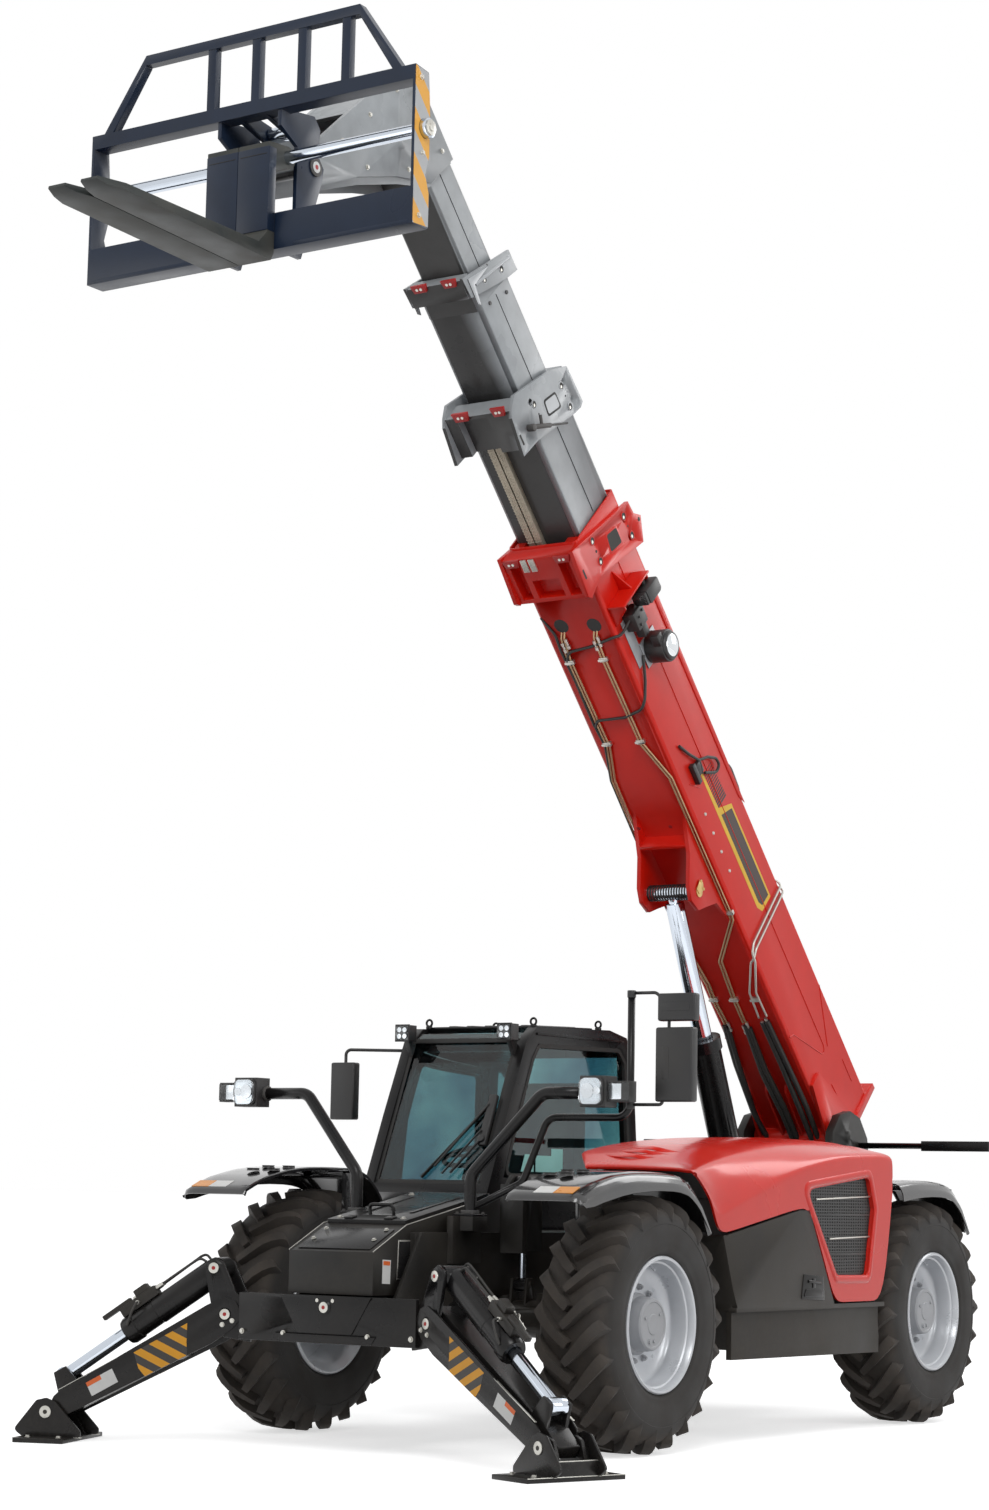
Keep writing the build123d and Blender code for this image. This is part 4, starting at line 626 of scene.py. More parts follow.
# along a lug: distance, top radius, foot radius, half width
lugLine = [(0.0, 0.6235, 0.57, 0.017), (0.03, 0.6245, 0.57, 0.02), (0.09, 0.6245, 0.566, 0.022),
           (0.15, 0.6225, 0.556, 0.024), (0.195, 0.609, 0.538, 0.027), (0.232, 0.588, 0.52, 0.03),
           (0.252, 0.566, 0.505, 0.031), (0.256, 0.548, 0.5, 0.03)]
rimLine = [(0.17, 0.333), (0.18, 0.333), (0.187, 0.327), (0.184, 0.316), (0.17, 0.309), (0.152, 0.305),
           (0.147, 0.297), (0.128, 0.291), (0.075, 0.284), (0.06, 0.279), (0.05, 0.268), (0.04, 0.245),
           (0.034, 0.215), (0.032, 0.135), (0.018, 0.135), (0.018, 0.245), (0.03, 0.27), (0.03, 0.276),
           (-0.12, 0.276), (-0.15, 0.292), (-0.172, 0.305), (-0.187, 0.316), (-0.187, 0.327), (-0.18, 0.333),
           (-0.17, 0.333), (-0.166, 0.322), (-0.154, 0.3188), (0.154, 0.3188), (0.166, 0.322)]
hubLine = [(-0.04, 0.055), (-0.04, 0.14), (0.03, 0.15), (0.046, 0.15), (0.051, 0.146), (0.056, 0.133),
           (0.1, 0.131), (0.106, 0.128), (0.125, 0.127), (0.133, 0.121), (0.135, 0.11), (0.131, 0.106),
           (0.131, 0.052), (0.135, 0.048), (0.136, 0.0), (0.03, 0.0), (0.03, 0.055)]


def wheelPoint(x, turn, r):
    return Vector((x, -math.cos(turn) * r, math.sin(turn) * r))


def addLug(bm, side, turn):
    lean, rows = wheel["lean"], []
    part = bmesh.new()
    for along, top, foot, half in lugLine:
        row = []
        for across, r in ((-half * 1.25, foot), (-half, top), (half, top), (half * 1.25, foot)):
            bend = 0.1 * along * along / 0.256
            x = side * (-0.012 + along * math.cos(lean) - across * math.sin(lean))
            arc = along * math.sin(lean) + across * math.cos(lean) + bend
            row.append(part.verts.new(wheelPoint(min(max(x, -0.1985), 0.1985), turn + arc / 0.6, r)))
        rows.append(row)
    for one, two in zip(rows, rows[1:]):
        for a in range(3):
            part.faces.new((one[a], one[a + 1], two[a + 1], two[a]))
    part.faces.new(rows[0])
    part.faces.new(rows[-1])
    softenEdges(part, 0.0045)
    addPart(bm, part)


def makeTyre():
    bm = bmesh.new()
    inner = [(0.0, 0.55), (0.15, 0.53), (0.17, 0.42), (0.145, 0.33)]
    outer = [(-x, r) for x, r in tyreLine] + list(reversed(tyreLine[:-1]))
    addTurned(bm, outer + [(x, r) for x, r in reversed(inner)] + [(-x, r) for x, r in inner[1:]], steps=88)
    for count in range(wheel["lugs"]):
        turn = math.tau * count / wheel["lugs"]
        addLug(bm, 1, turn)
        addLug(bm, -1, turn + math.pi / wheel["lugs"])
    mesh = bpy.data.meshes.new("tyre")
    bm.to_mesh(mesh)
    bm.free()
    tread = mesh.attributes.new("tread", "FLOAT", "POINT")
    tread.data.foreach_set("value", [min(1.0, max(0.0, (math.hypot(v.co.y, v.co.z) - 0.512) / 0.04))
                                     for v in mesh.vertices])
    return mesh


def makeRim():
    bm = bmesh.new()
    addTurned(bm, rimLine, steps=96)
    for turn in (0.35, 1.5):
        addRod(bm, wheelPoint(0.12, turn, 0.284), wheelPoint(0.15, turn, 0.262), 0.006, sides=10)
    for count in range(4):
        turn = math.tau * (count + 0.5) / 4
        addRod(bm, wheelPoint(0.028, turn, 0.232), wheelPoint(0.0385, turn, 0.232), 0.011, sides=16, soft=0.002)
    return bm


def makeHub():
    bm = bmesh.new()
    addTurned(bm, hubLine, steps=64)
    for count in range(12):
        turn = math.tau * (count + 0.25) / 12
        at = wheelPoint(0.031, turn, 0.18)
        addBolt(bm, at, (1, 0, 0), size=0.0135, height=0.016)
        addRod(bm, at, at + Vector((0.028, 0, 0)), 0.0075, sides=12, soft=0.0012)
    for count in range(3):
        addBolt(bm, wheelPoint(0.13, math.tau * count / 3 + 0.4, 0.08), (1, 0, 0), 0.009, 0.006)
    addBolt(bm, wheelPoint(0.13, -1.2, 0.088), (1, 0, 0), 0.012, 0.008)
    return bm


def wheelsAndHubs():
    tyreMesh = makeTyre()
    for corner in corners:
        camel, place = cornerPlace(corner)
        mesh = tyreMesh.copy()
        bm = bmesh.new()
        bm.from_mesh(mesh)
        bmesh.ops.transform(bm, matrix=place, verts=bm.verts)
        bmesh.ops.recalc_face_normals(bm, faces=bm.faces)
        bm.to_mesh(mesh)
        bm.free()
        tyre = placePiece("tyre" + camel, mesh, "tyreRubber", "wheel_" + corner, sharp=40)
        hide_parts("tyre_" + corner)
        for kind, make, look in (("rim", makeRim, "wheelSilver"), ("hub", makeHub, "hubGrey")):
            bm = make()
            bmesh.ops.transform(bm, matrix=place, verts=bm.verts)
            piece = finishPiece(kind + camel, bm, look, "wheel_" + corner, sharp=30, slot="silver_paint")
            if kind == "rim":
                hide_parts("rim_" + corner)


wheelsAndHubs()
print("wheels made")


# mudguards

# top line from the wheel's centre (y, z) with the depth of the lip there
guardFront = [(-0.813, 0.592, 0.045), (-0.795, 0.622, 0.075), (-0.715, 0.655, 0.095), (-0.625, 0.684, 0.102),
              (-0.52, 0.706, 0.104), (-0.44, 0.721, 0.104), (-0.34, 0.732, 0.102)]
guardBack = [(-0.255, 0.737, 0.1), (-0.16, 0.739, 0.096), (-0.06, 0.7395, 0.093), (0.06, 0.7375, 0.092),
             (0.14, 0.732, 0.092), (0.205, 0.721, 0.092), (0.256, 0.702, 0.088), (0.3, 0.673, 0.082),
             (0.345, 0.636, 0.074), (0.386, 0.593, 0.066), (0.43, 0.521, 0.05), (0.466, 0.452, 0.03)]
# across the guard: place across, drop below the top line, share of the lip's depth
guardAcross = [(-0.213, 0.02, 0), (-0.214, 0.006, 0), (-0.208, 0.001, 0), (-0.15, 0.0, 0), (-0.05, 0.0, 0),
               (0.05, 0.0, 0), (0.12, 0.001, 0), (0.155, 0.006, 0), (0.18, 0.018, 0), (0.195, 0.036, 0.1),
               (0.2015, 0.0, 0.62), (0.2045, 0.0, 1.0), (0.2, 0.0, 1.02)]


guard = {"wall": 0.006}


def guardPoint(line, i, x, drop, share):
    y, z, lip = line[i]
    before, after = line[max(i - 1, 0)], line[min(i + 1, len(line) - 1)]
    ahead = Vector((0, after[0] - before[0], after[1] - before[1])).normalized()
    down = Vector((0, ahead.z, -ahead.y))
    return Vector((x, y, z)) + down * (drop + share * lip)


def makeGuard(line):
    shell = bmesh.new()
    rows = [[shell.verts.new(guardPoint(line, i, x, drop, share)) for x, drop, share in guardAcross]
            for i in range(len(line))]
    for one, two in zip(rows, rows[1:]):
        for a in range(len(guardAcross) - 1):
            shell.faces.new((one[a], one[a + 1], two[a + 1], two[a]))
    bmesh.ops.subdivide_edges(shell, edges=shell.edges, cuts=1, use_grid_fill=True, smooth=0.55)
    bmesh.ops.recalc_face_normals(shell, faces=shell.faces)
    bmesh.ops.solidify(shell, geom=list(shell.faces), thickness=guard["wall"])
    return shell


def guards():
    for corner in corners:
        camel, place = cornerPlace(corner)
        front = corner.startswith("front")
        line = guardFront + guardBack if front else [(-0.44, 0.721, 0.104)] + guardBack
        bm = makeGuard(line)
        # dimples with a bolt in each, on the inner part of the top
        spots = [(-0.16, -0.5), (-0.05, -0.53), (-0.15, -0.36), (-0.04, -0.39)] if front else [(-0.12, -0.22),
                                                                                               (-0.02, -0.24)]
        dots = bmesh.new()
        for x, y in spots:
            z = 0.7395 - (0.02 if y < -0.42 else 0.004 if y < -0.3 else -0.002)
            addTurned(dots, [(0.0015, 0.03), (0.004, 0.034), (0.0055, 0.033), (0.0035, 0.027), (-0.006, 0.02),
                             (-0.006, 0.0), (-0.008, 0.0), (-0.008, 0.034)], steps=28,
                      matrix=Matrix.Translation((x, y, z)) @ Matrix.Rotation(-math.pi / 2, 4, "Y"))
            addBolt(dots, (x, y, z - 0.006), (0, 0, 1), 0.008, 0.006)
        addPlate(bm, rect(-0.03, 0.137, 0.03, 0.726), "x", -0.308, -0.25, 0.004)
        addBox(bm, (-0.308, -0.03, 0.706), (-0.155, 0.03, 0.724), 0.003)
        for y in (-0.3, 0.22):
            addBox(bm, (-0.19, y - 0.02, 0.69 if y < 0 else 0.68), (0.185, y + 0.02, 0.704 if y < 0 else 0.694),
                   0.003)
        for bag in (bm, dots):
            bmesh.ops.transform(bag, matrix=place, verts=bag.verts)
        guard = finishPiece("mudguard" + camel, bm, "guardBlack", "knuckle_" + corner, sharp=38)
        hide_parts("fender_" + corner)
        finishPiece("mudguardBolts" + camel, dots, "blackPlastic", "knuckle_" + corner, slot="black_paint")
        if front:
            for name, x0, x1, look in (("White", -0.075, 0.035, "whiteLabel"),
                                       ("Amber", 0.037, 0.145, "amberReflex")):
                patch = bmesh.new()
                addPlate(patch, [(-0.7865, 0.628), (-0.715, 0.6575), (-0.713, 0.6545), (-0.785, 0.624)], "x",
                         x0, x1)
                bmesh.ops.transform(patch, matrix=place, verts=patch.verts)
                finishPiece("mudguard" + name + camel, patch, look, "knuckle_" + corner, slot="black_paint")


guards()
print("mudguards made")

dressed = {f"{kind}_{corner}" for kind in ("tyre", "rim", "fender") for corner in corners}


# hood and engine pod

hood = {"front": -1.25, "rear": 0.985, "side": 1.19, "inner": 0.384, "foot": 0.7}
# stations: y, inner top, flat top, ridge x z, shoulder x z, crease z, lower edge z
hoodRows = [
    (-1.25, 1.392, 1.396, 1.15, 1.38, 1.178, 1.374, 1.368, 1.366),
    (-1.205, 1.409, 1.412, 1.15, 1.384, 1.182, 1.362, 1.347, 1.34),
    (-1.15, 1.426, 1.43, 1.146, 1.388, 1.182, 1.345, 1.308, 1.3),
    (-1.09, 1.446, 1.449, 1.137, 1.396, 1.18, 1.32, 1.255, 1.25),
    (-1.045, 1.46, 1.462, 1.13, 1.402, 1.178, 1.306, 1.205, 1.19),
    (-0.99, 1.471, 1.474, 1.122, 1.41, 1.174, 1.302, 1.153, 1.0645),
    (-0.88, 1.49, 1.493, 1.101, 1.427, 1.168, 1.322, 1.186, 1.075),
    (-0.74, 1.51, 1.513, 1.076, 1.448, 1.16, 1.358, 1.227, 1.0975),
    (-0.56, 1.529, 1.532, 1.05, 1.473, 1.15, 1.394, 1.274, 1.1265),
    (-0.4, 1.541, 1.545, 1.03, 1.493, 1.14, 1.424, 1.321, 1.1525),
    (-0.24, 1.552, 1.556, 1.01, 1.513, 1.13, 1.45, 1.36, 1.1785),
    (-0.115, 1.56, 1.563, 0.995, 1.528, 1.12, 1.468, 1.388, 1.196),
    (0.0, 1.565, 1.568, 0.98, 1.54, 1.112, 1.484, 1.408, 1.196),
    (0.1, 1.569, 1.572, 0.968, 1.548, 1.108, 1.494, 1.424, 1.03),
    (0.2, 1.572, 1.575, 0.96, 1.552, 1.104, 1.502, 1.438, 0.857),
    (0.292, 1.574, 1.577, 0.954, 1.555, 1.102, 1.508, 1.449, 0.7),
    (0.4, 1.575, 1.577, 0.95, 1.557, 1.1, 1.514, 1.46, 0.7),
    (0.56, 1.575, 1.577, 0.944, 1.556, 1.096, 1.518, 1.468, 0.7),
    (0.72, 1.574, 1.576, 0.938, 1.554, 1.09, 1.521, 1.474, 0.7),
    (0.88, 1.573, 1.574, 0.93, 1.55, 1.08, 1.522, 1.477, 0.7),
    (0.985, 1.571, 1.571, 0.926, 1.545, 1.07, 1.519, 1.475, 1.28)]
grilleHole = [(-0.04, 1.298), (0.697, 1.374), (0.766, 1.198), (0.685, 0.836), (0.312, 0.84)]
grilleSize = {"foot": 0.835, "top": 1.4, "pitch": 0.0165, "end": 0.75, "column pitch": 0.028}
hoodSlots = [(-1.075, 0.56, 0.87), (-0.975, 0.58, 0.89), (-0.875, 0.6, 0.91)]     # y, from x, to x


def cutBy(piece, cutter):
    holder = bpy.data.meshes.new("cutter")
    cutter.to_mesh(holder)
    cutter.free()
    tool = bpy.data.objects.new("cutter", holder)
    scene.collection.objects.link(tool)
    knife = piece.modifiers.new("cut", "BOOLEAN")
    knife.operation = "DIFFERENCE"
    knife.solver = "EXACT"
    knife.object = tool
    bake(piece)
    bpy.data.objects.remove(tool)


def bake(piece):
    bpy.context.view_layer.update()
    done = bpy.data.meshes.new_from_object(piece.evaluated_get(bpy.context.evaluated_depsgraph_get()))
    piece.modifiers.clear()
    old = piece.data
    done.name = piece.name
    piece.data = done
    bpy.data.meshes.remove(old)
    return piece


def roundedOutline(points, radius, steps=5):
    out = []
    for before, at, after in zip(points[-1:] + points[:-1], points, points[1:] + points[:1]):
        at = Vector(at)
        inward, outward = (at - Vector(before)).normalized(), (Vector(after) - at).normalized()
        reach = min(radius * math.tan(inward.angle(outward) / 2), (at - Vector(before)).length * 0.45,
                    (Vector(after) - at).length * 0.45)
        a, b = at - inward * reach, at + outward * reach
        for step in range(steps + 1):
            t = step / steps
            out.append(tuple(a * (1 - t) ** 2 + at * 2 * t * (1 - t) + b * t * t))
    return out


def grownOutline(points, by):
    middle = sum((Vector(p) for p in points), Vector((0, 0))) / len(points)
    out = []
    for before, at, after in zip(points[-1:] + points[:-1], points, points[1:] + points[:1]):
        at = Vector(at)
        one, two = (at - Vector(before)).normalized(), (Vector(after) - at).normalized()
        normal = (Vector((one.y, -one.x)) + Vector((two.y, -two.x))).normalized()
        if normal.dot(at - middle) < 0:
            normal = -normal
        out.append(tuple(at + normal * by / max(0.4, math.cos(one.angle(two) / 2))))
    return out


# how high the hood's top is at a spot
def hoodHeight(x, y):
    for one, two in zip(hoodRows, hoodRows[1:]):
        if one[0] <= y <= two[0]:
            t = (y - one[0]) / (two[0] - one[0])
            a, b = [(hood["inner"], row[1], 0.75, row[2], row[3], row[4]) for row in (one, two)]
            m = [u * (1 - t) + v * t for u, v in zip(a, b)]
            if x <= m[2]:
                return m[1] + (m[3] - m[1]) * (x - m[0]) / (m[2] - m[0])
            return m[3] + (m[5] - m[3]) * (x - m[2]) / (m[4] - m[2])
    return 1.5


def hoodShell():
    bm = bmesh.new()
    soft = bm.edges.layers.float.get("crease_edge") or bm.edges.layers.float.new("crease_edge")
    grid = []
    for y, inner, top, ridgeX, ridgeZ, shoulderX, shoulderZ, crease, low in hoodRows:
        side = hood["side"]
        mid = (0.75 + ridgeX) / 2
        fall = crease - low
        line = [(hood["inner"], inner - 0.03), (hood["inner"], inner), (0.5, inner + 0.001), (0.75, top),
                (mid, (top * 0.62 + ridgeZ * 0.38)), (ridgeX - 0.045, ridgeZ + 0.009), (ridgeX, ridgeZ - 0.002),
                ((ridgeX * 0.6 + shoulderX * 0.4), ridgeZ * 0.62 + shoulderZ * 0.38 + 0.006),
                (shoulderX, shoulderZ), (side - 0.006, crease + min(0.028, fall * 0.4 + 0.004)),
                (side, crease - min(0.004, fall * 0.1)), (side, crease - fall * 0.45), (side, low)]
        if y < -1.0:
            line[0] = (hood["inner"], inner - 0.012)
        push = max(0.0, (-1.02 - y) / 0.23) * 0.17
        line = [(x + push * max(0.0, 1 - (x - hood["inner"]) / 0.2), z) for x, z in line]
        grid.append([bm.verts.new((x, y, z)) for x, z in line])
    for one, two in zip(grid, grid[1:]):
        for a in range(len(one) - 1):
            bm.faces.new((one[a], two[a], two[a + 1], one[a + 1]))
    # turned down at the front and at the rear
    for row, step in ((grid[0], Vector((0, 0.014, -0.018))), (grid[-1], Vector((0, 0.004, -0.02)))):
        low = [bm.verts.new(v.co + step) for v in row[1:-1]]
        for a in range(len(low) - 1):
            bm.faces.new((row[a + 1], row[a + 2], low[a + 1], low[a]))
    bm.edges.ensure_lookup_table()
    bm.verts.index_update()
    bm.edges.index_update()
    wide = len(hoodRows[0]) + 4
    for edge in bm.edges:
        a, b = edge.verts[0].index % wide, edge.verts[1].index % wide
        inGrid = max(v.index for v in edge.verts) < wide * len(hoodRows)
        if edge.is_boundary:
            edge[soft] = 1.0
        elif inGrid and a == b == 6:
            edge[soft] = 0.22
        elif inGrid and a == b == 10:
            edge[soft] = 0.72
        elif inGrid and a == b == 1:
            edge[soft] = 0.5
    bmesh.ops.recalc_face_normals(bm, faces=bm.faces)
    if sum(f.normal.z for f in bm.faces) < 0:
        bmesh.ops.reverse_faces(bm, faces=bm.faces)
    bmesh.ops.translate(bm, vec=(0, midY, 0), verts=bm.verts)
    mesh = bpy.data.meshes.new("hood")
    bm.to_mesh(mesh)
    bm.free()
    piece = placePiece("hoodShell", mesh, "hoodRed", "hood", sharp=50)
    smooth = piece.modifiers.new("smooth", "SUBSURF")
    smooth.levels = smooth.render_levels = 2
    thick = piece.modifiers.new("thick", "SOLIDIFY")
    thick.thickness = 0.012
    thick.offset = -1
    bake(piece)
    cutter = bmesh.new()
    onMid.plate(cutter, roundedOutline(grownOutline(grilleHole, -0.004), 0.045), "x", 1.1, 1.25)
    cutBy(piece, cutter)
    for y, x0, x1 in hoodSlots:
        cutter = bmesh.new()
        slot = [(x0, y - 0.004), (x0 + 0.06, y - 0.022), ((x0 + x1) / 2, y - 0.03), (x1 - 0.05, y - 0.018),
                (x1, y + 0.004), (x1 - 0.05, y + 0.002), ((x0 + x1) / 2, y - 0.006), (x0 + 0.06, y + 0.002)]
        onMid.plate(cutter, slot, "z", 1.3, 1.62)
        cutBy(piece, cutter)
    piece.data.shade_smooth()
    piece.data.set_sharp_from_angle(angle=math.radians(50))
    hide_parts("engine_hood")
    return piece


# a raised, curved lip with a dark slot under it; the darker red box below each slot is painted shade seen
# through the slot
def hoodLouvres():
    lips, dark = bags(2)
    for y, x0, x1 in hoodSlots:
        rows = []
        for step in range(13):
            t = step / 12
            x = x0 + (x1 - x0) * t
            bow = math.sin(math.pi * t)
            front = y - 0.03 * bow
            z = hoodHeight(x, front)
            rows.append([(x, front - 0.03 * bow, z - 0.002), (x, front - 0.012 * bow, z + 0.01 * bow),
                         (x, front + 0.006 * bow, hoodHeight(x, front) + 0.013 * bow),
                         (x, front + 0.006 * bow, hoodHeight(x, front) + 0.009 * bow - 0.001),
                         (x, front - 0.012 * bow, z + 0.005 * bow - 0.002),
                         (x, front - 0.028 * bow, z - 0.006)])
        verts = [[lips.verts.new((u, v + midY, w)) for u, v, w in row] for row in rows]
        for one, two in zip(verts, verts[1:]):
            for a in range(6):
                lips.faces.new((one[a], one[(a + 1) % 6], two[(a + 1) % 6], two[a]))
        # darker red box below the slot: painted shade
        onMid.box(dark, (x0 - 0.01, y - 0.045, hoodHeight((x0 + x1) / 2, y - 0.05) - 0.045),
                  (x1 + 0.01, y + 0.02, hoodHeight((x0 + x1) / 2, y - 0.05) - 0.03), 0.003)
    finishAll("hood", hoodLouvres=(lips, "hoodRed", "red_paint", 50),
              hoodLouvreBack=(dark, "deepRed", "red_paint"))


# raised frame round the grille, mesh, slats and two bright bars
def podGrille():
    frameBm = bmesh.new()
    rings = [(0.04, 1.19), (0.034, 1.1945), (0.026, 1.1965), (0.012, 1.1965), (0.004, 1.194), (-0.002, 1.185),
             (-0.004, 1.165)]
    lines = [roundedOutline(grownOutline(grilleHole, by), 0.045 + by * 0.6, 6) for by, x in rings]
    verts = [[frameBm.verts.new((x, y + midY, z)) for y, z in line] for line, (by, x) in zip(lines, rings)]
    for one, two in zip(verts, verts[1:]):
        for a in range(len(one)):
            b = (a + 1) % len(one)
            frameBm.faces.new((one[a], one[b], two[b], two[a]))
    finishPiece("grilleFrame", frameBm, "hoodRed", "hood", sharp=60, slot="red_paint")
    back = bmesh.new()
    onMid.plate(back, grownOutline(grilleHole, 0.02), "x", 1.158, 1.1645)
    bars = bmesh.new()
    z = grilleSize["foot"]
    while z < grilleSize["top"]:
        z += grilleSize["pitch"]
        y0, y1 = grilleSpan(z)
        if y1 - y0 > 0.05:
            onMid.box(back, (1.1635, y0 + 0.012, z - 0.0035), (1.1685, y1 - 0.012, z + 0.0035))
    y = 0.0
    while y < grilleSize["end"]:
        z0, z1 = grilleColumn(y)
        if z1 - z0 > 0.05:
            onMid.box(back, (1.1635, y - 0.0025, z0 + 0.012), (1.1675, y + 0.0025, z1 - 0.012))
        y += grilleSize["column pitch"]
    for (ya, za), (yb, zb) in (((0.1, 1.245), (0.752, 1.266)), ((0.256, 1.036), (0.748, 1.048))):
        onMid.rod(bars, (1.172, ya, za), (1.172, yb, zb), 0.0045, sides=12, soft=0.001)
    for z in (1.165, 0.955):
        y0, y1 = grilleSpan(z)
        onMid.box(back, (1.163, y0 + 0.02, z - 0.006), (1.172, y1 - 0.02, z + 0.006), 0.002)
    grille = finishPiece("grilleMesh", back, "blackPlastic", "hood", sharp=35)
    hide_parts("pod_grille")
    finishPiece("grilleBars", bars, "zinc", "hood", slot="silver_paint")


def crossings(at, axis):
    found = []
    for a, b in zip(grilleHole, grilleHole[1:] + grilleHole[:1]):
        if (a[axis] - at) * (b[axis] - at) < 0:
            t = (at - a[axis]) / (b[axis] - a[axis])
            found.append(a[1 - axis] + (b[1 - axis] - a[1 - axis]) * t)
    return (min(found), max(found)) if len(found) > 1 else (0.0, 0.0)


def grilleSpan(z):
    return crossings(z, 1)


def grilleColumn(y):
    return crossings(y, 0)


def podPanels():
    dressNode("pod_body", "sillBlack", soft=0.004, name="podBody")
    trim, bolts, latch = bags(3)
    sillX = 1.13
    onMid.plate(trim,
                roundedOutline([(-0.797, 0.438), (0.85, 0.426), (0.826, 0.62), (0.826, 0.66), (-0.797, 0.66)],
                               0.012, 3), "x", sillX - 0.001, sillX + 0.004, 0.0015)
    for y, z in ((-0.72, 0.625), (0.79, 0.62), (-0.72, 0.475), (0.79, 0.475)):
        onMid.bolt(bolts, (sillX + 0.004, y, z), (1, 0, 0), 0.011, 0.007)
        onMid.rod(bolts, (sillX + 0.003, y, z), (sillX + 0.0055, y, z), 0.02, sides=20)
    # recessed handle
    spot = [(-0.075, 0.855), (0.15, 0.838), (0.165, 0.712), (-0.1, 0.724)]
    onMid.plates(latch, (roundedOutline(spot, 0.012, 4), "x", 1.1895, 1.1935, 0.0015),
                 (roundedOutline([(-0.055, 0.775), (0.125, 0.768), (0.14, 0.728), (-0.08, 0.736)],
                                 0.01, 4), "x", 1.193, 1.1985, 0.002))
    onMid.rod(latch, (1.196, -0.03, 0.815), (1.196, 0.11, 0.806), 0.008, sides=16, soft=0.002)
    onMid.box(latch, (1.193, 0.02, 0.78), (1.1985, 0.05, 0.83), 0.002)
    finishAll("chassis", sillSkin=(trim, "sillBlack", "black_paint"), sillBolts=(bolts, "zinc", "silver_paint"),
              podLatch=(latch, "blackEnamel", "black_paint"))
    # shut line between the panels and the sill
    seam = bmesh.new()
    onMid.box(seam, (1.12, -0.8, 0.6685), (1.1885, 0.285, 0.6745))
    finishPiece("podSeam", seam, "sealRubber", "chassis", slot="black_paint")


hoodShell()
hoodLouvres()
podGrille()
podPanels()
dressed |= {"engine_hood", "pod_grille", "pod_body"}
print("hood and pod made")


# boom: placed by x, s along it and n square to it

lean = math.radians(45.73)
boomFrame = Matrix(((1, 0, 0, 0), (0, -math.cos(lean), math.sin(lean), 2.141 + midY),
                    (0, math.sin(lean), math.cos(lean), 1.619), (0, 0, 0, 1)))
onBoom = At(boomFrame)


# pipes clipped in pairs under the boom
def pipePair(route, gap):
    return [[(x + shift, s, n) for x, s, n in route] for shift in (-gap, gap)]


# radius, bend, look, curve steps along and round
boomLines = {"pipe": (0.0062, 0.04, "bronzePipe", 4, 2), "sidePipe": (0.0068, 0.04, "zinc", 4, 2),
             "hose": (0.017, 0.25, "rubberHose", 5, 2), "cable": (0.0085, 0.06, "rubberHose", 5, 2),
             "loop": (0.009, 0.05, "rubberHose", 5, 2), "topHose": (0.02, 0.09, "rubberHose", 6, 3)}


def boomLine(name, kind, routes):
    radius, bend, look, fine, round = boomLines[kind]
    onBoom.pipe(name, routes, radius, bend, look, "boom", None, fine, round)


low = -0.013        # height of the lines under the boom
pipeLeft = [(-0.096, 3.82, 0.02), (-0.112, 3.76, low), (-0.13, 3.62, low), (-0.124, 3.01, low),
            (-0.188, 2.77, low), (-0.198, 2.4, low), (-0.196, 1.55, low), (-0.16, 1.24, low),
            (-0.166, 1.12, low), (-0.154, 0.93, low)]
pipeRight = [(0.111, 3.81, 0.02), (0.094, 3.745, low), (0.088, 3.62, low), (0.096, 3.014, low),
             (0.186, 2.764, low), (0.19, 1.766, low), (0.184, 1.72, low), (-0.008, 1.417, low),
             (-0.026, 1.14, low), (-0.026, 0.94, low)]
pipeSide = [[(0.06, 1.53, 0.546), (0.2, 1.52, 0.548), (0.233, 1.5, 0.535), (0.234, 1.47, 0.03),
             (0.222, 1.43, low), (0.19, 1.4, low), (0.095, 1.17, low), (0.086, 0.975, low)],
            [(0.06, 1.585, 0.546), (0.2, 1.57, 0.548), (0.233, 1.545, 0.535), (0.234, 1.515, 0.03),
             (0.226, 1.47, low), (0.222, 1.409, low), (0.139, 1.169, low), (0.142, 0.988, low)]]
boomLine("boomPipes", "pipe", pipePair(pipeLeft, 0.0095) + pipePair(pipeRight, 0.0095))
boomLine("boomSidePipes", "sidePipe", pipeSide)

clips, fittings, pipeHoleShade = bags(3)
for x, s in ((-0.13, 3.6), (-0.124, 3.03), (0.088, 3.6), (0.096, 3.03), (0.19, 1.78), (-0.164, 1.125),
             (-0.027, 1.122), (0.114, 1.118), (-0.197, 2.0)):
    onBoom.boxes(clips, ((x - 0.026, s - 0.014, -0.022), (x + 0.026, s + 0.014, 0.001), 0.003),
                 ((x - 0.032, s - 0.007, -0.027), (x + 0.032, s + 0.007, -0.02), 0.002))
for x, s in ((-0.112, 3.745), (0.093, 3.74), (-0.156, 0.93), (-0.028, 0.93), (0.112, 0.96)):
    for shift in (-0.016, 0.016):
        lift = 0.012 * (1 if shift > 0 else -1)
        for step, r in ((0.0, 0.0105), (0.022, 0.0085), (0.044, 0.0115)):
            onBoom.rod(fittings, (x + shift, s + lift - step, low), (x + shift, s + lift - step - 0.02, low), r,
                       sides=6)
# black discs where the pipes enter the boom: painted shade in the holes
for x, s in ((-0.096, 3.835), (0.111, 3.82)):
    onBoom.rod(pipeHoleShade, (x, s, 0.004), (x, s, -0.0006), 0.044, sides=36)
finishAll("boom", boomClips=(clips, "zinc"), boomFittings=(fittings, "zinc"),
          boomPipeHoles=(pipeHoleShade, "sealRubber"))
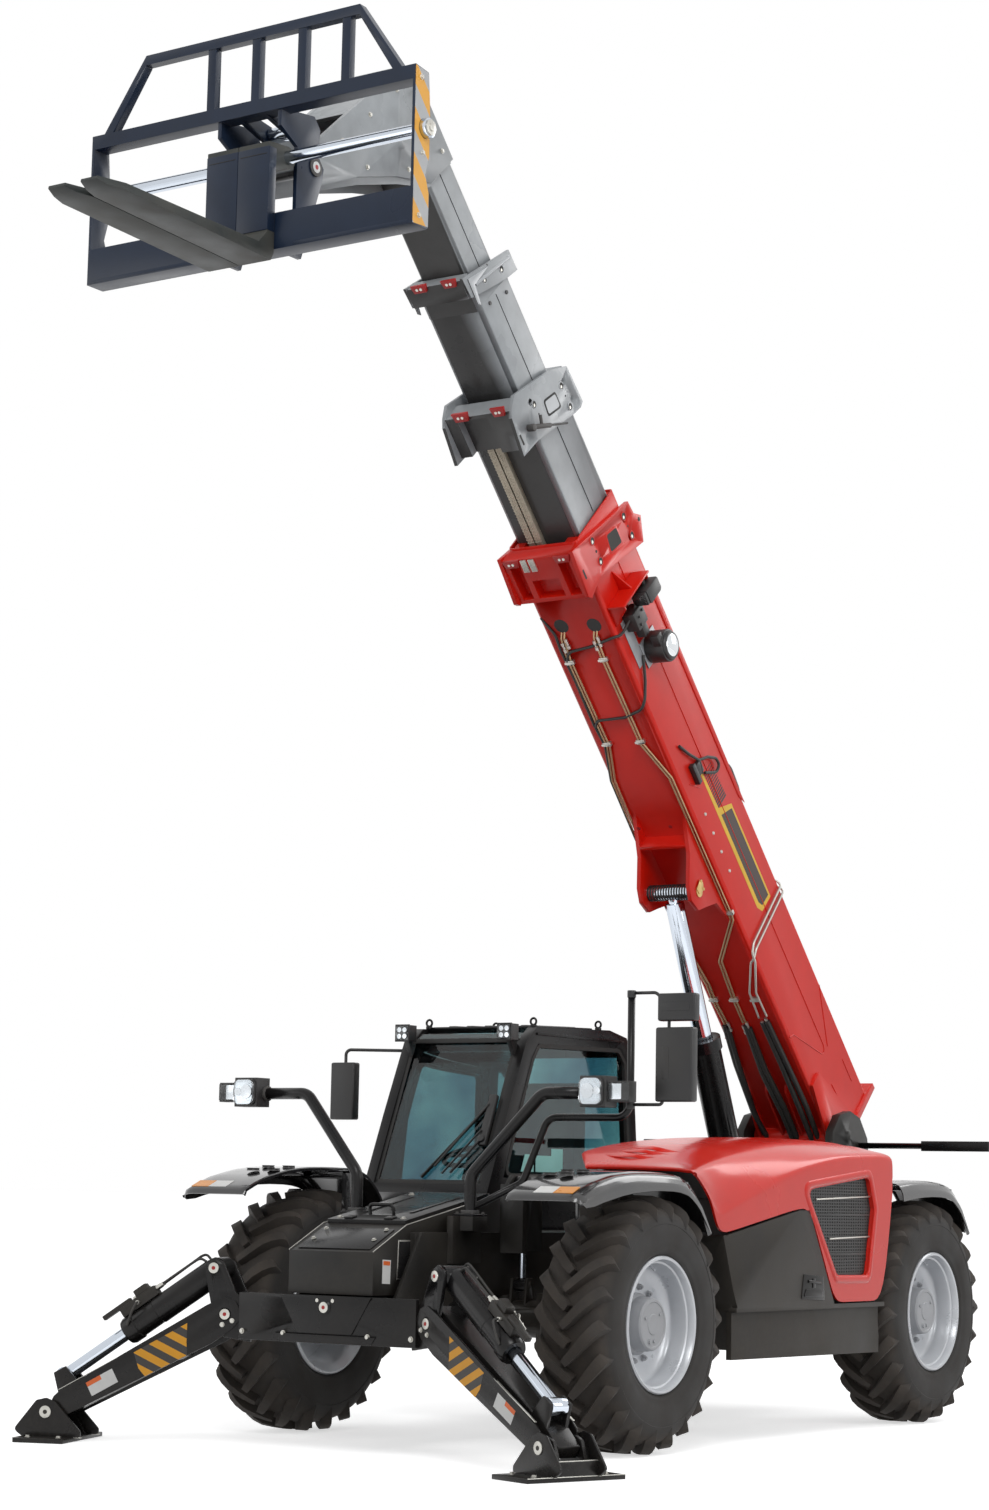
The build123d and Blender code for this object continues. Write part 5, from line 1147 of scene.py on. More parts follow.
hoseRuns = [[(-0.154, 0.9, low), (-0.185, 0.6, -0.025), (-0.215, 0.24, -0.03), (-0.215, 0.02, -0.03)],
            [(-0.17, 0.92, low), (-0.205, 0.62, -0.02), (-0.205, 0.26, -0.055), (-0.185, 0.02, -0.05)],
            [(-0.026, 0.92, low), (-0.04, 0.55, -0.035), (-0.01, 0.25, -0.055), (-0.01, 0.02, -0.06)],
            [(-0.008, 0.9, low), (-0.012, 0.58, -0.03), (0.02, 0.3, -0.05), (0.02, 0.02, -0.055)],
            [(0.096, 0.94, low), (0.112, 0.62, -0.03), (0.125, 0.3, -0.055), (0.12, 0.02, -0.06)],
            [(0.13, 0.95, low), (0.148, 0.6, -0.025), (0.165, 0.3, -0.04), (0.16, 0.02, -0.05)]]
boomLine("boomHoses", "hose", hoseRuns)
cableRuns = [[(-0.205, 3.9, 0.004), (-0.15, 3.79, -0.012), (-0.158, 3.68, -0.012), (-0.15, 3.47, -0.014),
              (-0.156, 3.17, -0.012), (-0.142, 3.02, -0.014), (-0.205, 2.77, -0.012), (-0.212, 2.35, -0.012),
              (-0.212, 1.6, -0.012)],
             [(0.3, 3.845, 0.29), (0.262, 3.76, 0.14), (0.235, 3.72, 0.03), (0.205, 3.735, -0.012),
              (0.045, 3.69, -0.012), (-0.11, 3.672, -0.02), (-0.15, 3.6, -0.014)],
             [(0.232, 3.5, 0.15), (0.232, 3.38, 0.07), (0.226, 3.3, 0.004), (0.19, 3.245, -0.012),
              (0.06, 3.2, -0.012), (-0.12, 3.2, -0.022), (-0.15, 3.15, -0.014)]]
boomLine("boomCables", "cable", cableRuns)
loops = [[(0.228, 2.88, 0.13), (0.236, 2.79, 0.175), (0.24, 2.69, 0.245), (0.24, 2.62, 0.215)],
         [(0.236, 2.7, 0.235), (0.24, 2.65, 0.335), (0.24, 2.59, 0.405), (0.238, 2.53, 0.42),
          (0.236, 2.52, 0.36), (0.236, 2.6, 0.25)],
         [(0.1, 2.5, 0.535), (0.12, 2.47, 0.6), (0.14, 2.35, 0.635), (0.15, 2.2, 0.61), (0.15, 2.12, 0.535)]]
boomLine("boomLoops", "loop", loops[:2])
boomLine("boomTopHose", "topHose", loops[2:])
block = bmesh.new()
onBoom.boxes(block, ((0.2195, 2.595, 0.14), (0.252, 2.725, 0.175), 0.004),
             ((0.2195, 2.625, 0.175), (0.246, 2.7, 0.245), 0.005))
finishPiece("boomConnector", block, "blackPlastic", "boom")

# work light on its bracket and the cable drum beside it
shelf, lamp, lens, drum, drumFace = bags(5)
lampFrame = boomFrame @ Matrix.Translation((0, -0.03, -0.09))
onLamp = At(lampFrame)
drumFrame = boomFrame @ Matrix.Translation((0, 0, -0.09))
onDrum = At(drumFrame)
onLamp.box(shelf, (0.219, 3.925, 0.11), (0.33, 3.937, 0.47), 0.002)
for n in (0.12, 0.44):
    onLamp.plate(shelf, [(0.219, 3.8), (0.219, 3.93), (0.325, 3.93), (0.325, 3.905)], "z", n, n + 0.01, 0.0015)
onLamp.plate(shelf, [(0.219, 4.06), (0.219, 3.935), (0.3, 3.935)], "z", 0.29, 0.3, 0.0015)
onLamp.boxes(lamp, ((0.262, 3.812, 0.31), (0.372, 3.898, 0.47), 0.014),
             ((0.27, 3.816, 0.29), (0.364, 3.894, 0.314), 0.008))
for k in range(5):
    onLamp.box(lamp, (0.268 + k * 0.022, 3.806, 0.33), (0.274 + k * 0.022, 3.815, 0.462), 0.001)
onLamp.rod(lamp, (0.317, 3.895, 0.39), (0.317, 3.927, 0.39), 0.012)
onLamp.box(lens, (0.277, 3.823, 0.2865), (0.357, 3.887, 0.292), 0.002)
onDrum.rod(drum, (0.226, 3.475, 0.355), (0.345, 3.475, 0.355), 0.092, soft=0.006, sides=44)
onDrum.rod(drum, (0.345, 3.475, 0.355), (0.362, 3.475, 0.355), 0.084, tip=0.075, soft=0.003, sides=44)
onDrum.rod(drumFace, (0.36, 3.475, 0.355), (0.366, 3.475, 0.355), 0.066, tip=0.058, sides=40)
onDrum.boxes(drum, ((0.219, 3.675, 0.205), (0.3, 3.79, 0.33), 0.01),
             ((0.23, 3.6, 0.26), (0.285, 3.68, 0.32), 0.008),
             ((0.29, 3.52, 0.275), (0.342, 3.59, 0.33), 0.006))
for n, s in ((0.24, 3.7), (0.3, 3.76), (0.25, 3.745)):
    addBolt(drum, drumFrame @ Vector((0.3, s, n)), (1, 0, 0), 0.008, 0.006)
bracket = bmesh.new()
onDrum.boxes(bracket, ((0.2192, 3.455, 0.17), (0.2225, 3.76, 0.255), 0.001),
             ((0.2192, 3.4, 0.25), (0.226, 3.56, 0.45), 0.001))
finishAll("boom", lampShelf=(shelf, "redEnamel", "red_paint"), workLamp=(lamp, "blackPlastic"),
          workLampLens=(lens, "lampGlass"), cableDrum=(drum, "blackPlastic", None, 40),
          cableDrumFace=(drumFace, "mirrorGlass", None, 40), drumBracket=(bracket, "collarGrey"))

# label strip, cover strip, weld beads, small studs
band, centre, studs, trim = bags(4)
onBoom.plate(band, [(2.6, 0.228), (1.62, 0.228), (1.565, 0.262), (1.565, 0.402), (2.262, 0.402), (2.335, 0.262),
                    (2.6, 0.252)], "x", 0.2185, 0.22)
onBoom.plate(centre, [(2.285, 0.262), (1.635, 0.262), (1.592, 0.285), (1.592, 0.385), (2.24, 0.385)], "x",
             0.2195, 0.2206)
for k in range(14):
    s = 2.335 + k * 0.019
    onBoom.box(centre, (0.219, s, 0.262), (0.2202, s + 0.013 - k * 0.0007, 0.385 - k * 0.001))
for s in (2.406, 2.268, 2.131, 1.99):
    onBoom.rod(studs, (0.218, s, 0.113), (0.2245, s, 0.113), 0.011, tip=0.009, sides=14)
for x in (1, -1):
    side = mirrorX(x) @ boomFrame
    onSide = At(side)
    onSide.plate(trim, [(3.76, 0.5), (3.7, 0.484), (2.24, 0.5), (2.17, 0.53), (3.76, 0.53)], "x", 0.2185,
                 0.2235, 0.001)
finishAll("boom", boomBand=(band, "yellowLabel"), boomBandCentre=(centre, "stripBlack"),
          boomStuds=(studs, "zinc"), boomCoverStrip=(trim, "redEnamel", "red_paint"))
beads = []
for x in (0.2195, -0.2195):
    beads += [[(x, 4.05, 0.3), (x, 0.48, 0.305), (x, 0.447, 0.29), (x, 0.446, 0.256), (x, 0.781, 0.056),
               (x, 0.801, 0.008)], [(x, 0.779, 0.516), (x, 0.438, 0.34)], [(x, 0.247, 0.434), (x, 0.07, 0.435)],
              [(x, 0.234, 0.221), (x, 0.132, 0.23)], [(x, 2.642, 0.084), (x, 2.557, 0.165)]]
onBoom.pipe("boomBeads", beads, 0.0035, 0.03, "redEnamel", "boom", "red_paint", 3, 1)
# weld bead along each inner section: name, body, half width, from s, to s, n, radius
for name, body, half, near, far, n, radius in (("sectionTwoBead", "section_2", 0.2025, 4.99, 4.37, 0.29,
                                                0.0028), ("sectionThreeBead", "section_3", 0.1715, 5.74, 5.12,
                                                          0.292, 0.0025),
                                               ("sectionFourBead", "section_4", 0.1435, 6.47, 5.87, 0.29,
                                                0.0025)):
    onBoom.pipe(name, [[(x, near, n), (x, far, n)] for x in (half, -half)], radius, 0.03, "frameBlack", body,
                None, 3, 1)

# ribs at the foot of the boom
ribs = bmesh.new()
for x in (-0.075, 0.055):
    onBoom.plate(ribs, [(0.43, 0.002), (0.395, -0.03), (0.02, -0.052), (-0.06, -0.05), (-0.06, 0.002)], "x",
                 x - 0.008, x + 0.008, 0.003)
finishPiece("boomFootRibs", ribs, "redEnamel", "boom", slot="red_paint")


# collar plates: rimmed holes with bolt heads, windows and wear pads
def collarDetails(body, collar):
    rims, dark, bolts, padBm = bags(4)
    skin, slot, padN, out = (collar[key] for key in ("skin", "slot", "pad n", "out"))
    for sign in (1, -1):
        side = mirrorX(sign) @ boomFrame
        onSide = At(side)
        # the black discs in the holes, and the dark dots, slots and window parts, are painted shade inside the
        # openings
        for s, n, r in collar["holes"]:
            onSide.rod(dark, (out - 0.004, s, n), (out + 0.0004, s, n), r, sides=26)
            addTurnedRing(rims, (out - 0.002, s, n), r, r + 0.005, 0.0045, side)
            s, n = s - r * 0.15, n - r * 0.3        # the bolt sits low in its hole
            onSide.rod(bolts, (out - 0.003, s, n), (out + 0.0035, s, n), r * 0.48, sides=6)
        for s, n, r in collar["dots"]:
            onSide.rod(dark, (out - 0.004, s, n), (out + 0.0006, s, n), r, sides=14)
        if collar["window"]:
            frame, pane = (dark, rims) if slot is None else (rims, dark)
            line = roundedOutline(collar["window"], 0.02, 4)
            onSide.plate(frame, line, "x", out - 0.004, out + 0.0012, 0.0008)
            inner = roundedOutline(grownOutline(collar["window"], -0.012), 0.016, 4)
            onSide.plate(pane, inner, "x", out - 0.002, out + 0.0017)
        for spot in collar["slots"]:
            onSide.plate(dark, roundedOutline(rect(*spot), 0.008, 3), "x", out - 0.003, out + 0.0008)
    s0, s1 = collar["pad s"]
    for x0, x1 in collar["pads"]:
        line = [(x0 + 0.012, s0), (x1 - 0.012, s0), (x1, s1), (x0, s1)]
        onBoom.plate(padBm, line, "z", padN - 0.012, padN + 0.004, 0.002)
        for x in (x0 + (x1 - x0) * 0.38, x0 + (x1 - x0) * 0.62):
            s = (s0 + s1) / 2
            onBoom.rod(bolts, (x, s, padN - 0.01), (x, s, padN - 0.0165), 0.008, sides=12)
    name = body.replace("_", "")
    finishPiece(name + "CollarRims", rims, skin, body, slot=slot)
    finishPiece(name + "CollarHoleShade", dark, "sealRubber", body)
    finishPiece(name + "CollarBolts", bolts, "zinc", body)
    finishPiece(name + "WearPads", padBm, "padRed", body)


def addTurnedRing(bm, at, inner, outer, height, matrix):
    x, s, n = at
    part = bmesh.new()
    rings = []
    for dx, r in ((0, outer), (height * 0.7, outer), (height, outer - 0.0015), (height, inner + 0.001),
                  (height * 0.8, inner)):
        rings.append([part.verts.new((x + dx, s + r * math.cos(t * math.tau / 26),
                                      n + r * math.sin(t * math.tau / 26))) for t in range(26)])
    for one, two in zip(rings, rings[1:]):
        for a in range(26):
            part.faces.new((one[a], one[(a + 1) % 26], two[(a + 1) % 26], two[a]))
    addPart(bm, part, matrix)


# out: where the side plate's face stands; holes and dots are (s, n, radius)
collars = {
    "boom": {"out": 0.219 + 0.024, "skin": "redEnamel", "slot": "red_paint",
             "slots": [(4.225, -0.086, 4.165, -0.07)],
             "holes": [(4.205, 0.486, 0.021), (4.287, 0.112, 0.021), (4.156, 0.111, 0.021),
                       (4.076, 0.491, 0.021)],
             "dots": [(4.139, 0.489, 0.007), (4.221, 0.109, 0.009), (4.101, 0.617, 0.013)],
             "window": [(4.241, 0.25), (4.215, 0.385), (4.095, 0.385), (4.12, 0.225)],
             "pads": [(-0.215, -0.11), (0.11, 0.215)], "pad s": (4.3, 4.345), "pad n": -0.096},
    "section_2": {"out": 0.202 + 0.02, "skin": "collarGrey", "slot": None,
                  "slots": [(5.095, -0.096, 5.03, -0.08)],
                  "holes": [(5.142, 0.144, 0.019), (5.074, 0.449, 0.019), (4.942, 0.451, 0.019)],
                  "dots": [(5.01, 0.45, 0.006), (5.078, 0.15, 0.006)],
                  "window": [(5.11, 0.235), (5.085, 0.374), (4.985, 0.374), (5.015, 0.222)],
                  "pads": [(-0.145, -0.04), (0.1, 0.19)], "pad s": (5.215, 5.267), "pad n": -0.072},
    "section_3": {"out": 0.171 + 0.016, "skin": "collarGrey", "slot": None, "slots": [], "window": None,
                  "holes": [(5.863, 0.225, 0.019), (5.824, 0.407, 0.019)], "dots": [(5.91, 0.3, 0.006)],
                  "pads": [(-0.135, -0.035), (0.055, 0.15)], "pad s": (5.935, 5.98), "pad n": 0.042}}
for body, collar in collars.items():
    collarDetails(body, collar)

# second collar's locking pin and the third collar's clamp bars
pin, clamp = bags(2)
for sign in (1, -1):
    side = mirrorX(sign) @ boomFrame
    onSide = At(side)
    onSide.rod(pin, (0.221, 5.075, 0.01), (0.262, 5.075, 0.01), 0.02, sides=18, soft=0.002)
    onSide.rod(pin, (0.245, 5.085, 0.0), (0.245, 4.99, 0.175), 0.013, sides=14, soft=0.002)
    onSide.rods(pin, ((0.245, 5.03, 0.1), (0.245, 5.085, 0.125), 0.009),
                ((0.245, 4.99, 0.175), (0.243, 4.905, 0.335), 0.006), sides=12)
    onSide.rod(clamp, (0.184, 5.885, 0.13), (0.184, 5.835, 0.52), 0.01, sides=14, soft=0.003)
    onSide.plate(clamp, [(5.945, 0.08), (5.9, 0.3), (5.89, 0.12), (5.78, 0.1), (5.8, 0.075)], "x", 0.187, 0.193,
                 0.002)
    for n in (0.206, 0.388):
        onSide.rod(pin, (0.17, 5.735 - (n - 0.2) * 0.2, n), (0.1775, 5.735 - (n - 0.2) * 0.2, n), 0.011,
                   sides=14)
finishPiece("collarPins", pin, "ironBlock", "section_2")
finishPiece("collarClamps", clamp, "collarGrey", "section_3")


# leaf chains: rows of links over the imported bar, with anchor plates
def leafChains():
    links, anchors = bags(2)
    proto = bmesh.new()
    for row, x0 in enumerate((-0.104, -0.054)):
        for leaf in range(5):
            x = x0 + 0.003 + leaf * 0.0086
            shift = 0.0095 if leaf % 2 else 0.0
            addBox(proto, (x, 0.0016 + shift, -0.037), (x + 0.0056, 0.0174 + shift, -0.0345), 0.0012)
        addRod(proto, (x0, 0.0095, -0.0352), (x0 + 0.04, 0.0095, -0.0352), 0.0022, sides=6)
    holder = bpy.data.meshes.new("link")
    proto.to_mesh(holder)
    proto.free()
    s = 4.355
    while s < 4.985:
        part = bmesh.new()
        part.from_mesh(holder)
        bmesh.ops.translate(part, vec=(0, s, 0.071), verts=part.verts)
        bmesh.ops.transform(part, matrix=boomFrame, verts=part.verts)
        part.to_mesh(spare)
        part.free()
        links.from_mesh(spare)
        s += 0.019
    for x in (-0.084, -0.034):
        for row in range(5):
            onBoom.box(anchors, (x - 0.018 + row * 0.0075, 4.262, -0.106),
                       (x - 0.0135 + row * 0.0075, 4.34, -0.06), 0.0015)
        onBoom.rod(anchors, (x, 4.2, -0.075), (x, 4.262, -0.075), 0.006, sides=12)
        onBoom.rod(anchors, (x, 4.205, -0.075), (x, 4.222, -0.075), 0.012, sides=6)
    bpy.data.meshes.remove(holder)
    finishPiece("chainLinks", links, "chainSteel", "section_2", sharp=30)
    finishPiece("chainAnchors", anchors, "zinc", "boom", sharp=30)


spare = bpy.data.meshes.new("spare")
leafChains()

# lift lugs: keeper plates and the ribbed eye
keeper, eye, spots = bags(3)
for x in (-0.105, 0.105):
    onBoom.rod(spots, (x, 2.48, -0.0895), (x, 2.48, -0.0912), 0.012, sides=16)
for sign in (1, -1):
    side = mirrorX(sign) @ boomFrame
    onSide = At(side)
    onSide.rod(keeper, (0.174, 2.08, -0.186), (0.182, 2.08, -0.186), 0.034, sides=30, soft=0.002)
    onSide.plate(keeper, [(2.115, -0.21), (2.13, -0.15), (2.1, -0.128), (2.06, -0.15), (2.075, -0.205)], "x",
                 0.1815, 0.187, 0.0015)
    for s, n in ((2.118, -0.14), (2.068, -0.15)):
        onSide.rod(keeper, (0.175, s, n), (0.1895, s, n), 0.009, sides=6)
finishAll("boom", liftKeeper=(keeper, "brass"), liftLugSpots=(spots, "deepRed"))
for k in range(17):
    x = -0.14 + k * 0.0175
    onBoom.rod(eye, (x - 0.0045, 2.08, -0.186), (x + 0.0045, 2.08, -0.186), 0.0475, sides=30, soft=0.0015)
finishPiece("liftEyeRibs", eye, "rubberHose", "boom")
print("boom dressed")


# stabilisers: leg frame (along, across, above) hangs from the leg's pin

legHome = Matrix.Translation((0.634, -2.605 + midY, 0.636)) @ Matrix.Rotation(math.radians(-20), 4, "Z")
alongLeg = legHome @ Matrix.Rotation(math.radians(28.79), 4, "Y")
alongBarrel = legHome @ Matrix.Translation((0.064, 0, 0.221)) @ Matrix.Rotation(math.radians(34.77), 4, "Y")
stripeStep = Vector((0.8, 0.0, -0.6))
hazard = {"orange": (0.8, 0.36, 0.012), "dark": (0.016, 0.014, 0.013), "width": 0.073}
ground = -0.636
footPin = (0.9027, -0.496)
# across the leg: side plates, the faces of their stripes and labels
legSide = {"inner": 0.1, "outer": 0.112, "face": 0.1127, "raised": 0.1131}


def pinHead(bm, centre, at, axis, radius, proud, matrix):
    at, axis = Vector(at), Vector(axis)
    addRod(bm, at, at + axis * proud, radius, sides=30, soft=0.0015, matrix=matrix)
    addRod(centre, at + axis * proud * 0.9, at + axis * (proud + 0.0015), radius * 0.36, sides=14,
           matrix=matrix)


def legDetails(side, sign):
    turn = mirrorX(sign)
    leg, barrel, foot = (bodyOf[f"stabilizer_{part}_{side.lower()}"] for part in ("leg", "barrel", "foot"))
    frameLeg, frameBarrel, frameHome = turn @ alongLeg, turn @ alongBarrel, turn @ legHome
    onLeg, onBarrel, onHome = At(frameLeg), At(frameBarrel), At(frameHome)
    plates, stripes, label, corner, rims, centres, lips = bags(7)
    hull = [(-0.078, -0.03), (-0.078, 0.034), (-0.04, 0.076), (0.06, 0.082), (0.93, 0.06), (0.985, 0.046),
            (0.985, -0.04), (0.95, -0.06), (0.12, -0.094), (0.0, -0.08), (-0.05, -0.062)]
    for near in (-1, 1):
        inner, outer, face, raised = (near * legSide[key] for key in ("inner", "outer", "face", "raised"))
        low, high = sorted((inner, outer))
        onLeg.plate(plates, roundedOutline(hull, 0.03, 4), "y", low, high, 0.002, holes=[(0, 0, 0.0305)])
        onLeg.plate(stripes, [(0.19, 0.05), (0.5, 0.05), (0.512, -0.03), (0.5, -0.079), (0.26, -0.087),
                              (0.235, -0.03)], "y", *sorted((near * 0.1121, face)))
        onLeg.plate(label, rect(0.635, 0.032, 0.787, -0.04), "y",
                    *sorted((near * 0.1121, face)))
        onLeg.plate(corner, rect(0.705, 0.032, 0.787, 0.01), "y",
                    *sorted((near * 0.1122, raised)))
    # the plates' tie bars, and zinc strips along their top edges as painted highlights
    for a, b, c in ((0.3, 0.345, -0.076), (0.7, 0.745, -0.058)):
        onLeg.box(plates, (a, -0.101, c), (b, 0.101, c + 0.012), 0.002)
    # bright zinc strips on the plates' top edges: painted highlights
    onLeg.boxes(lips, ((0.56, -0.1118, 0.0655), (0.93, -0.1004, 0.0685), 0.001),
                ((0.56, 0.1004, 0.0655), (0.93, 0.1118, 0.0685), 0.001))
    finishAll(leg, side, legPlates=(plates, "blackEnamel"), legStripes=(stripes, "legStripe" + side),
              legLabels=(label, "whiteLabel"), legLabelCorners=(corner, "orangeLabel"),
              legWornEdges=(lips, "zinc"))
    # pins of the beam's ears
    for near in (-1, 1):
        for at, r in (((0, near * 0.11, 0), 0.026), ((0.064, near * 0.11, 0.221), 0.026)):
            pinHead(rims, centres, at, (0, near, 0), r, 0.006, frameHome)
        for u, v in ((-0.038, -0.03), (0.012, -0.05)):
            onHome.bolt(rims, (u, near * 0.112, v), (0, near, 0), 0.009, 0.006)
    finishAll("chassis", side, earPins=(rims, "zinc", "silver_paint"), earPinCentres=(centres, "deepRed"))
    # foot: box cheeks, pin heads, zinc strips along the edges
    cheeks, edges, heads, cores = bags(4)
    out, up = footPin
    shape = [(out - 0.185, ground + 0.02), (out + 0.12, ground + 0.02), (out + 0.165, ground + 0.052),
             (out + 0.05, up + 0.056), (out, up + 0.068), (out - 0.05, up + 0.05), (out - 0.185, ground + 0.05)]
    for near in (-1, 1):
        onHome.plate(cheeks, roundedOutline(shape, 0.022, 4), "y", *sorted((near * 0.118, near * 0.132)), 0.002)
        pinHead(heads, cores, (out, near * 0.131, up), (0, near, 0), 0.03, 0.006, frameHome)
        onHome.box(edges, (out - 0.19, near * 0.125 - 0.0065, ground + 0.019),
                   (out + 0.118, near * 0.125 + 0.0065, ground + 0.0235), 0.001)
    onHome.box(cheeks, (out + 0.096, -0.122, ground + 0.02), (out + 0.112, 0.122, ground + 0.088), 0.003)
    onHome.boxes(edges, ((out + 0.095, -0.117, ground + 0.0865), (out + 0.113, 0.117, ground + 0.0905), 0.001),
                 ((out + 0.1085, -0.273, ground + 0.0195), (out + 0.1125, 0.273, ground + 0.0235), 0.001))
    for near in (-1, 1):
        onHome.bolts(heads, ((out + 0.06, near * 0.2, ground + 0.022), (0, 0, 1), 0.011, 0.008),
                     ((out - 0.1, near * 0.2, ground + 0.022), (0, 0, 1), 0.011, 0.008))
    finishAll(foot, side, footCheeks=(cheeks, "blackEnamel"), footEdges=(edges, "zinc"),
              footPinHeads=(heads, "zinc"), footPinCores=(cores, "frameBlack"))
    # cylinder: gland, valve block with its plate, rigid pipe and fittings
    gland, block, metal, plate = bags(4)
    onBarrel.turned(gland, [(0.03, 0.064), (0.044, 0.067), (0.38, 0.067), (0.384, 0.0635), (0.505, 0.0635),
                            (0.509, 0.069), (0.56, 0.069), (0.577, 0.06), (0.577, 0.04), (0.03, 0.04)], 44)
    onBarrel.boxes(block, ((0.33, -0.034, 0.064), (0.545, 0.034, 0.116), 0.006),
                   ((0.365, -0.026, 0.112), (0.44, 0.026, 0.15), 0.005),
                   ((0.47, -0.028, 0.11), (0.64, 0.006, 0.134), 0.004))
    onBarrel.plate(plate, [(0.335, 0.12), (0.362, 0.122), (0.366, 0.136), (0.384, 0.136), (0.388, 0.12),
                           (0.455, 0.122), (0.46, 0.136), (0.474, 0.136), (0.48, 0.118), (0.545, 0.112),
                           (0.545, 0.092), (0.35, 0.092)], "y", 0.0345, 0.0395, 0.0012)
    for u, v in ((0.372, 0.105), (0.42, 0.108), (0.5, 0.102)):
        onBarrel.bolt(metal, (u, 0.039, v), (0, 1, 0), 0.01, 0.008)
    for u, w in ((0.322, -0.012), (0.322, 0.014)):
        onBarrel.rod(metal, (u - 0.02, w, 0.098), (u + 0.01, w, 0.098), 0.011, sides=6)
        onBarrel.rod(metal, (u - 0.034, w, 0.098), (u - 0.018, w, 0.098), 0.009, sides=12)
    onBarrel.rod(metal, (0.44, -0.05, 0.088), (0.44, -0.034, 0.088), 0.011, sides=6)
    pipes = [[(0.3, -0.012, 0.098), (0.12, -0.012, 0.098), (0.06, -0.012, 0.096), (0.042, -0.012, 0.06)],
             [(0.3, 0.014, 0.098), (0.06, 0.014, 0.104), (0.03, 0.014, 0.098), (0.024, 0.014, 0.055)],
             [(0.44, -0.052, 0.088), (0.44, -0.076, 0.084), (0.48, -0.078, 0.06), (0.538, -0.068, 0.02)]]
    onBarrel.pipe("barrelPipes" + side, pipes, 0.0065, 0.03, "rubberHose",
                  barrel, fine=4, round=2)
    finishAll(barrel, side, barrelSkin=(gland, "blackEnamel", None, 40), valveBlock=(block, "frameBlack"),
              valveFittings=(metal, "zinc"), valvePlate=(plate, "zinc"))


def hazardSkin(name, along, width, first, second):
    look = agedLook(first, 0.42, dust=0.05, foot=0.08, tone=0.1)
    stripedMaterial(name, look, second, along, width)


for side, sign in (("Left", 1), ("Right", -1)):
    hazardSkin("legStripe" + side, (mirrorX(sign) @ alongLeg).to_3x3() @ stripeStep, hazard["width"],
               hazard["orange"], hazard["dark"])
leftAndRight(legDetails)

# beam and nose

heads, cores, edge, plate, rim, label, amber, bolts = bags(8)
pinHead(heads, cores, (0, -2.706, 0.69), (0, -1, 0), 0.026, 0.006, mid)
for x, z in ((-0.046, 0.722), (0.046, 0.722), (-0.5, 0.56), (0.5, 0.56), (-0.25, 0.56), (0.25, 0.56)):
    onMid.bolt(heads, (x, -2.692, z), (0, -1, 0), 0.01, 0.008)
onMid.plates(edge, ([(-0.268, 0.742), (0.271, 0.744), (0.16, 0.566), (-0.16, 0.566)], "y", -2.7, -2.6915,
                    0.002), ([(-0.3, 0.56), (0.3, 0.56), (0.27, 0.52), (-0.27, 0.52)], "y", -2.6985, -2.6915,
                             0.002))
finishAll("chassis", beamPlates=(edge, "blackEnamel", "black_paint"), beamPins=(heads, "zinc", "silver_paint"),
          beamPinCores=(cores, "deepRed"))
onMid.plate(rim, [(-2.459, 1.013), (-2.198, 1.012), (-2.206, 0.821), (-2.466, 0.825)], "x", 0.2501, 0.2516,
            0.0005)
onMid.plate(plate, [(-2.452, 1.006), (-2.205, 1.005), (-2.213, 0.828), (-2.459, 0.832)], "x", 0.2514, 0.2523)
onMid.plate(label, [(-2.584, 0.921), (-2.516, 0.918), (-2.52, 0.805), (-2.585, 0.808)], "x", 0.2501, 0.251)
onMid.plate(amber, [(-2.578, 0.915), (-2.523, 0.912), (-2.523, 0.892), (-2.578, 0.895)], "x", 0.2509, 0.2514)
finishAll("chassis", plateRim=(rim, "zinc"), dataPlate=(plate, "plateBlack"), noseLabel=(label, "whiteLabel"),
          noseLabelTop=(amber, "orangeLabel"))
# thin zinc lines along the nose's two top side edges
worn = [[(x, -2.662, 0.958), (x, -2.392, 1.085), (x, -1.868, 1.186)] for x in (0.2495, -0.2495)]
onMid.pipe("noseEdgeLines", worn, 0.0022, 0.02, "zinc", "chassis", fine=2, round=1)
fold = bmesh.new()
addPlate(fold, rect(-0.215, -2.64, 0.215, -2.415), "z", 0.0, 0.004, 0.002, Matrix.Translation((0, midY, 0.9635))
         @ Matrix.Translation((0, -2.64, 0)) @ Matrix.Rotation(math.atan2(0.127, 0.27), 4, "X")
         @ Matrix.Translation((0, 2.64, 0.003)))
finishPiece("noseFrontSkin", fold, "blackEnamel", "chassis", slot="black_paint")
for x in (-0.18, 0.18):
    for y in (-2.56, -2.46):
        onMid.bolt(bolts, (x, y, 0.955 + (y + 2.66) * 0.4704 + 0.01), (0, -0.42, 0.9), 0.009, 0.006)
lid = Matrix.Translation((0, -2.39 + midY, 1.082)) @ Matrix.Rotation(math.atan2(0.143, 0.75), 4, "X")
onLid = At(lid)
for x, y in ((-0.19, 0.06), (0.19, 0.06), (-0.19, 0.68), (0.19, 0.68)):
    onLid.bolt(bolts, (x, y, 0.0205), (0, 0, 1), 0.011, 0.007)
latch = bmesh.new()
for x in (-0.12, 0.12):
    onLid.box(latch, (x - 0.025, 0.028, 0.019), (x + 0.025, 0.075, 0.031), 0.004)
for x in (-0.14, 0.14):
    onLid.box(latch, (x - 0.012, 0.2, 0.0195), (x + 0.012, 0.62, 0.0265), 0.003)
finishPiece("hatchRibs", latch, "blackEnamel", bodyOf["nose_hatch"], slot="black_paint")
finishPiece("noseBolts", bolts, "zinc", "chassis")
print("stabilisers and nose dressed")


# cab

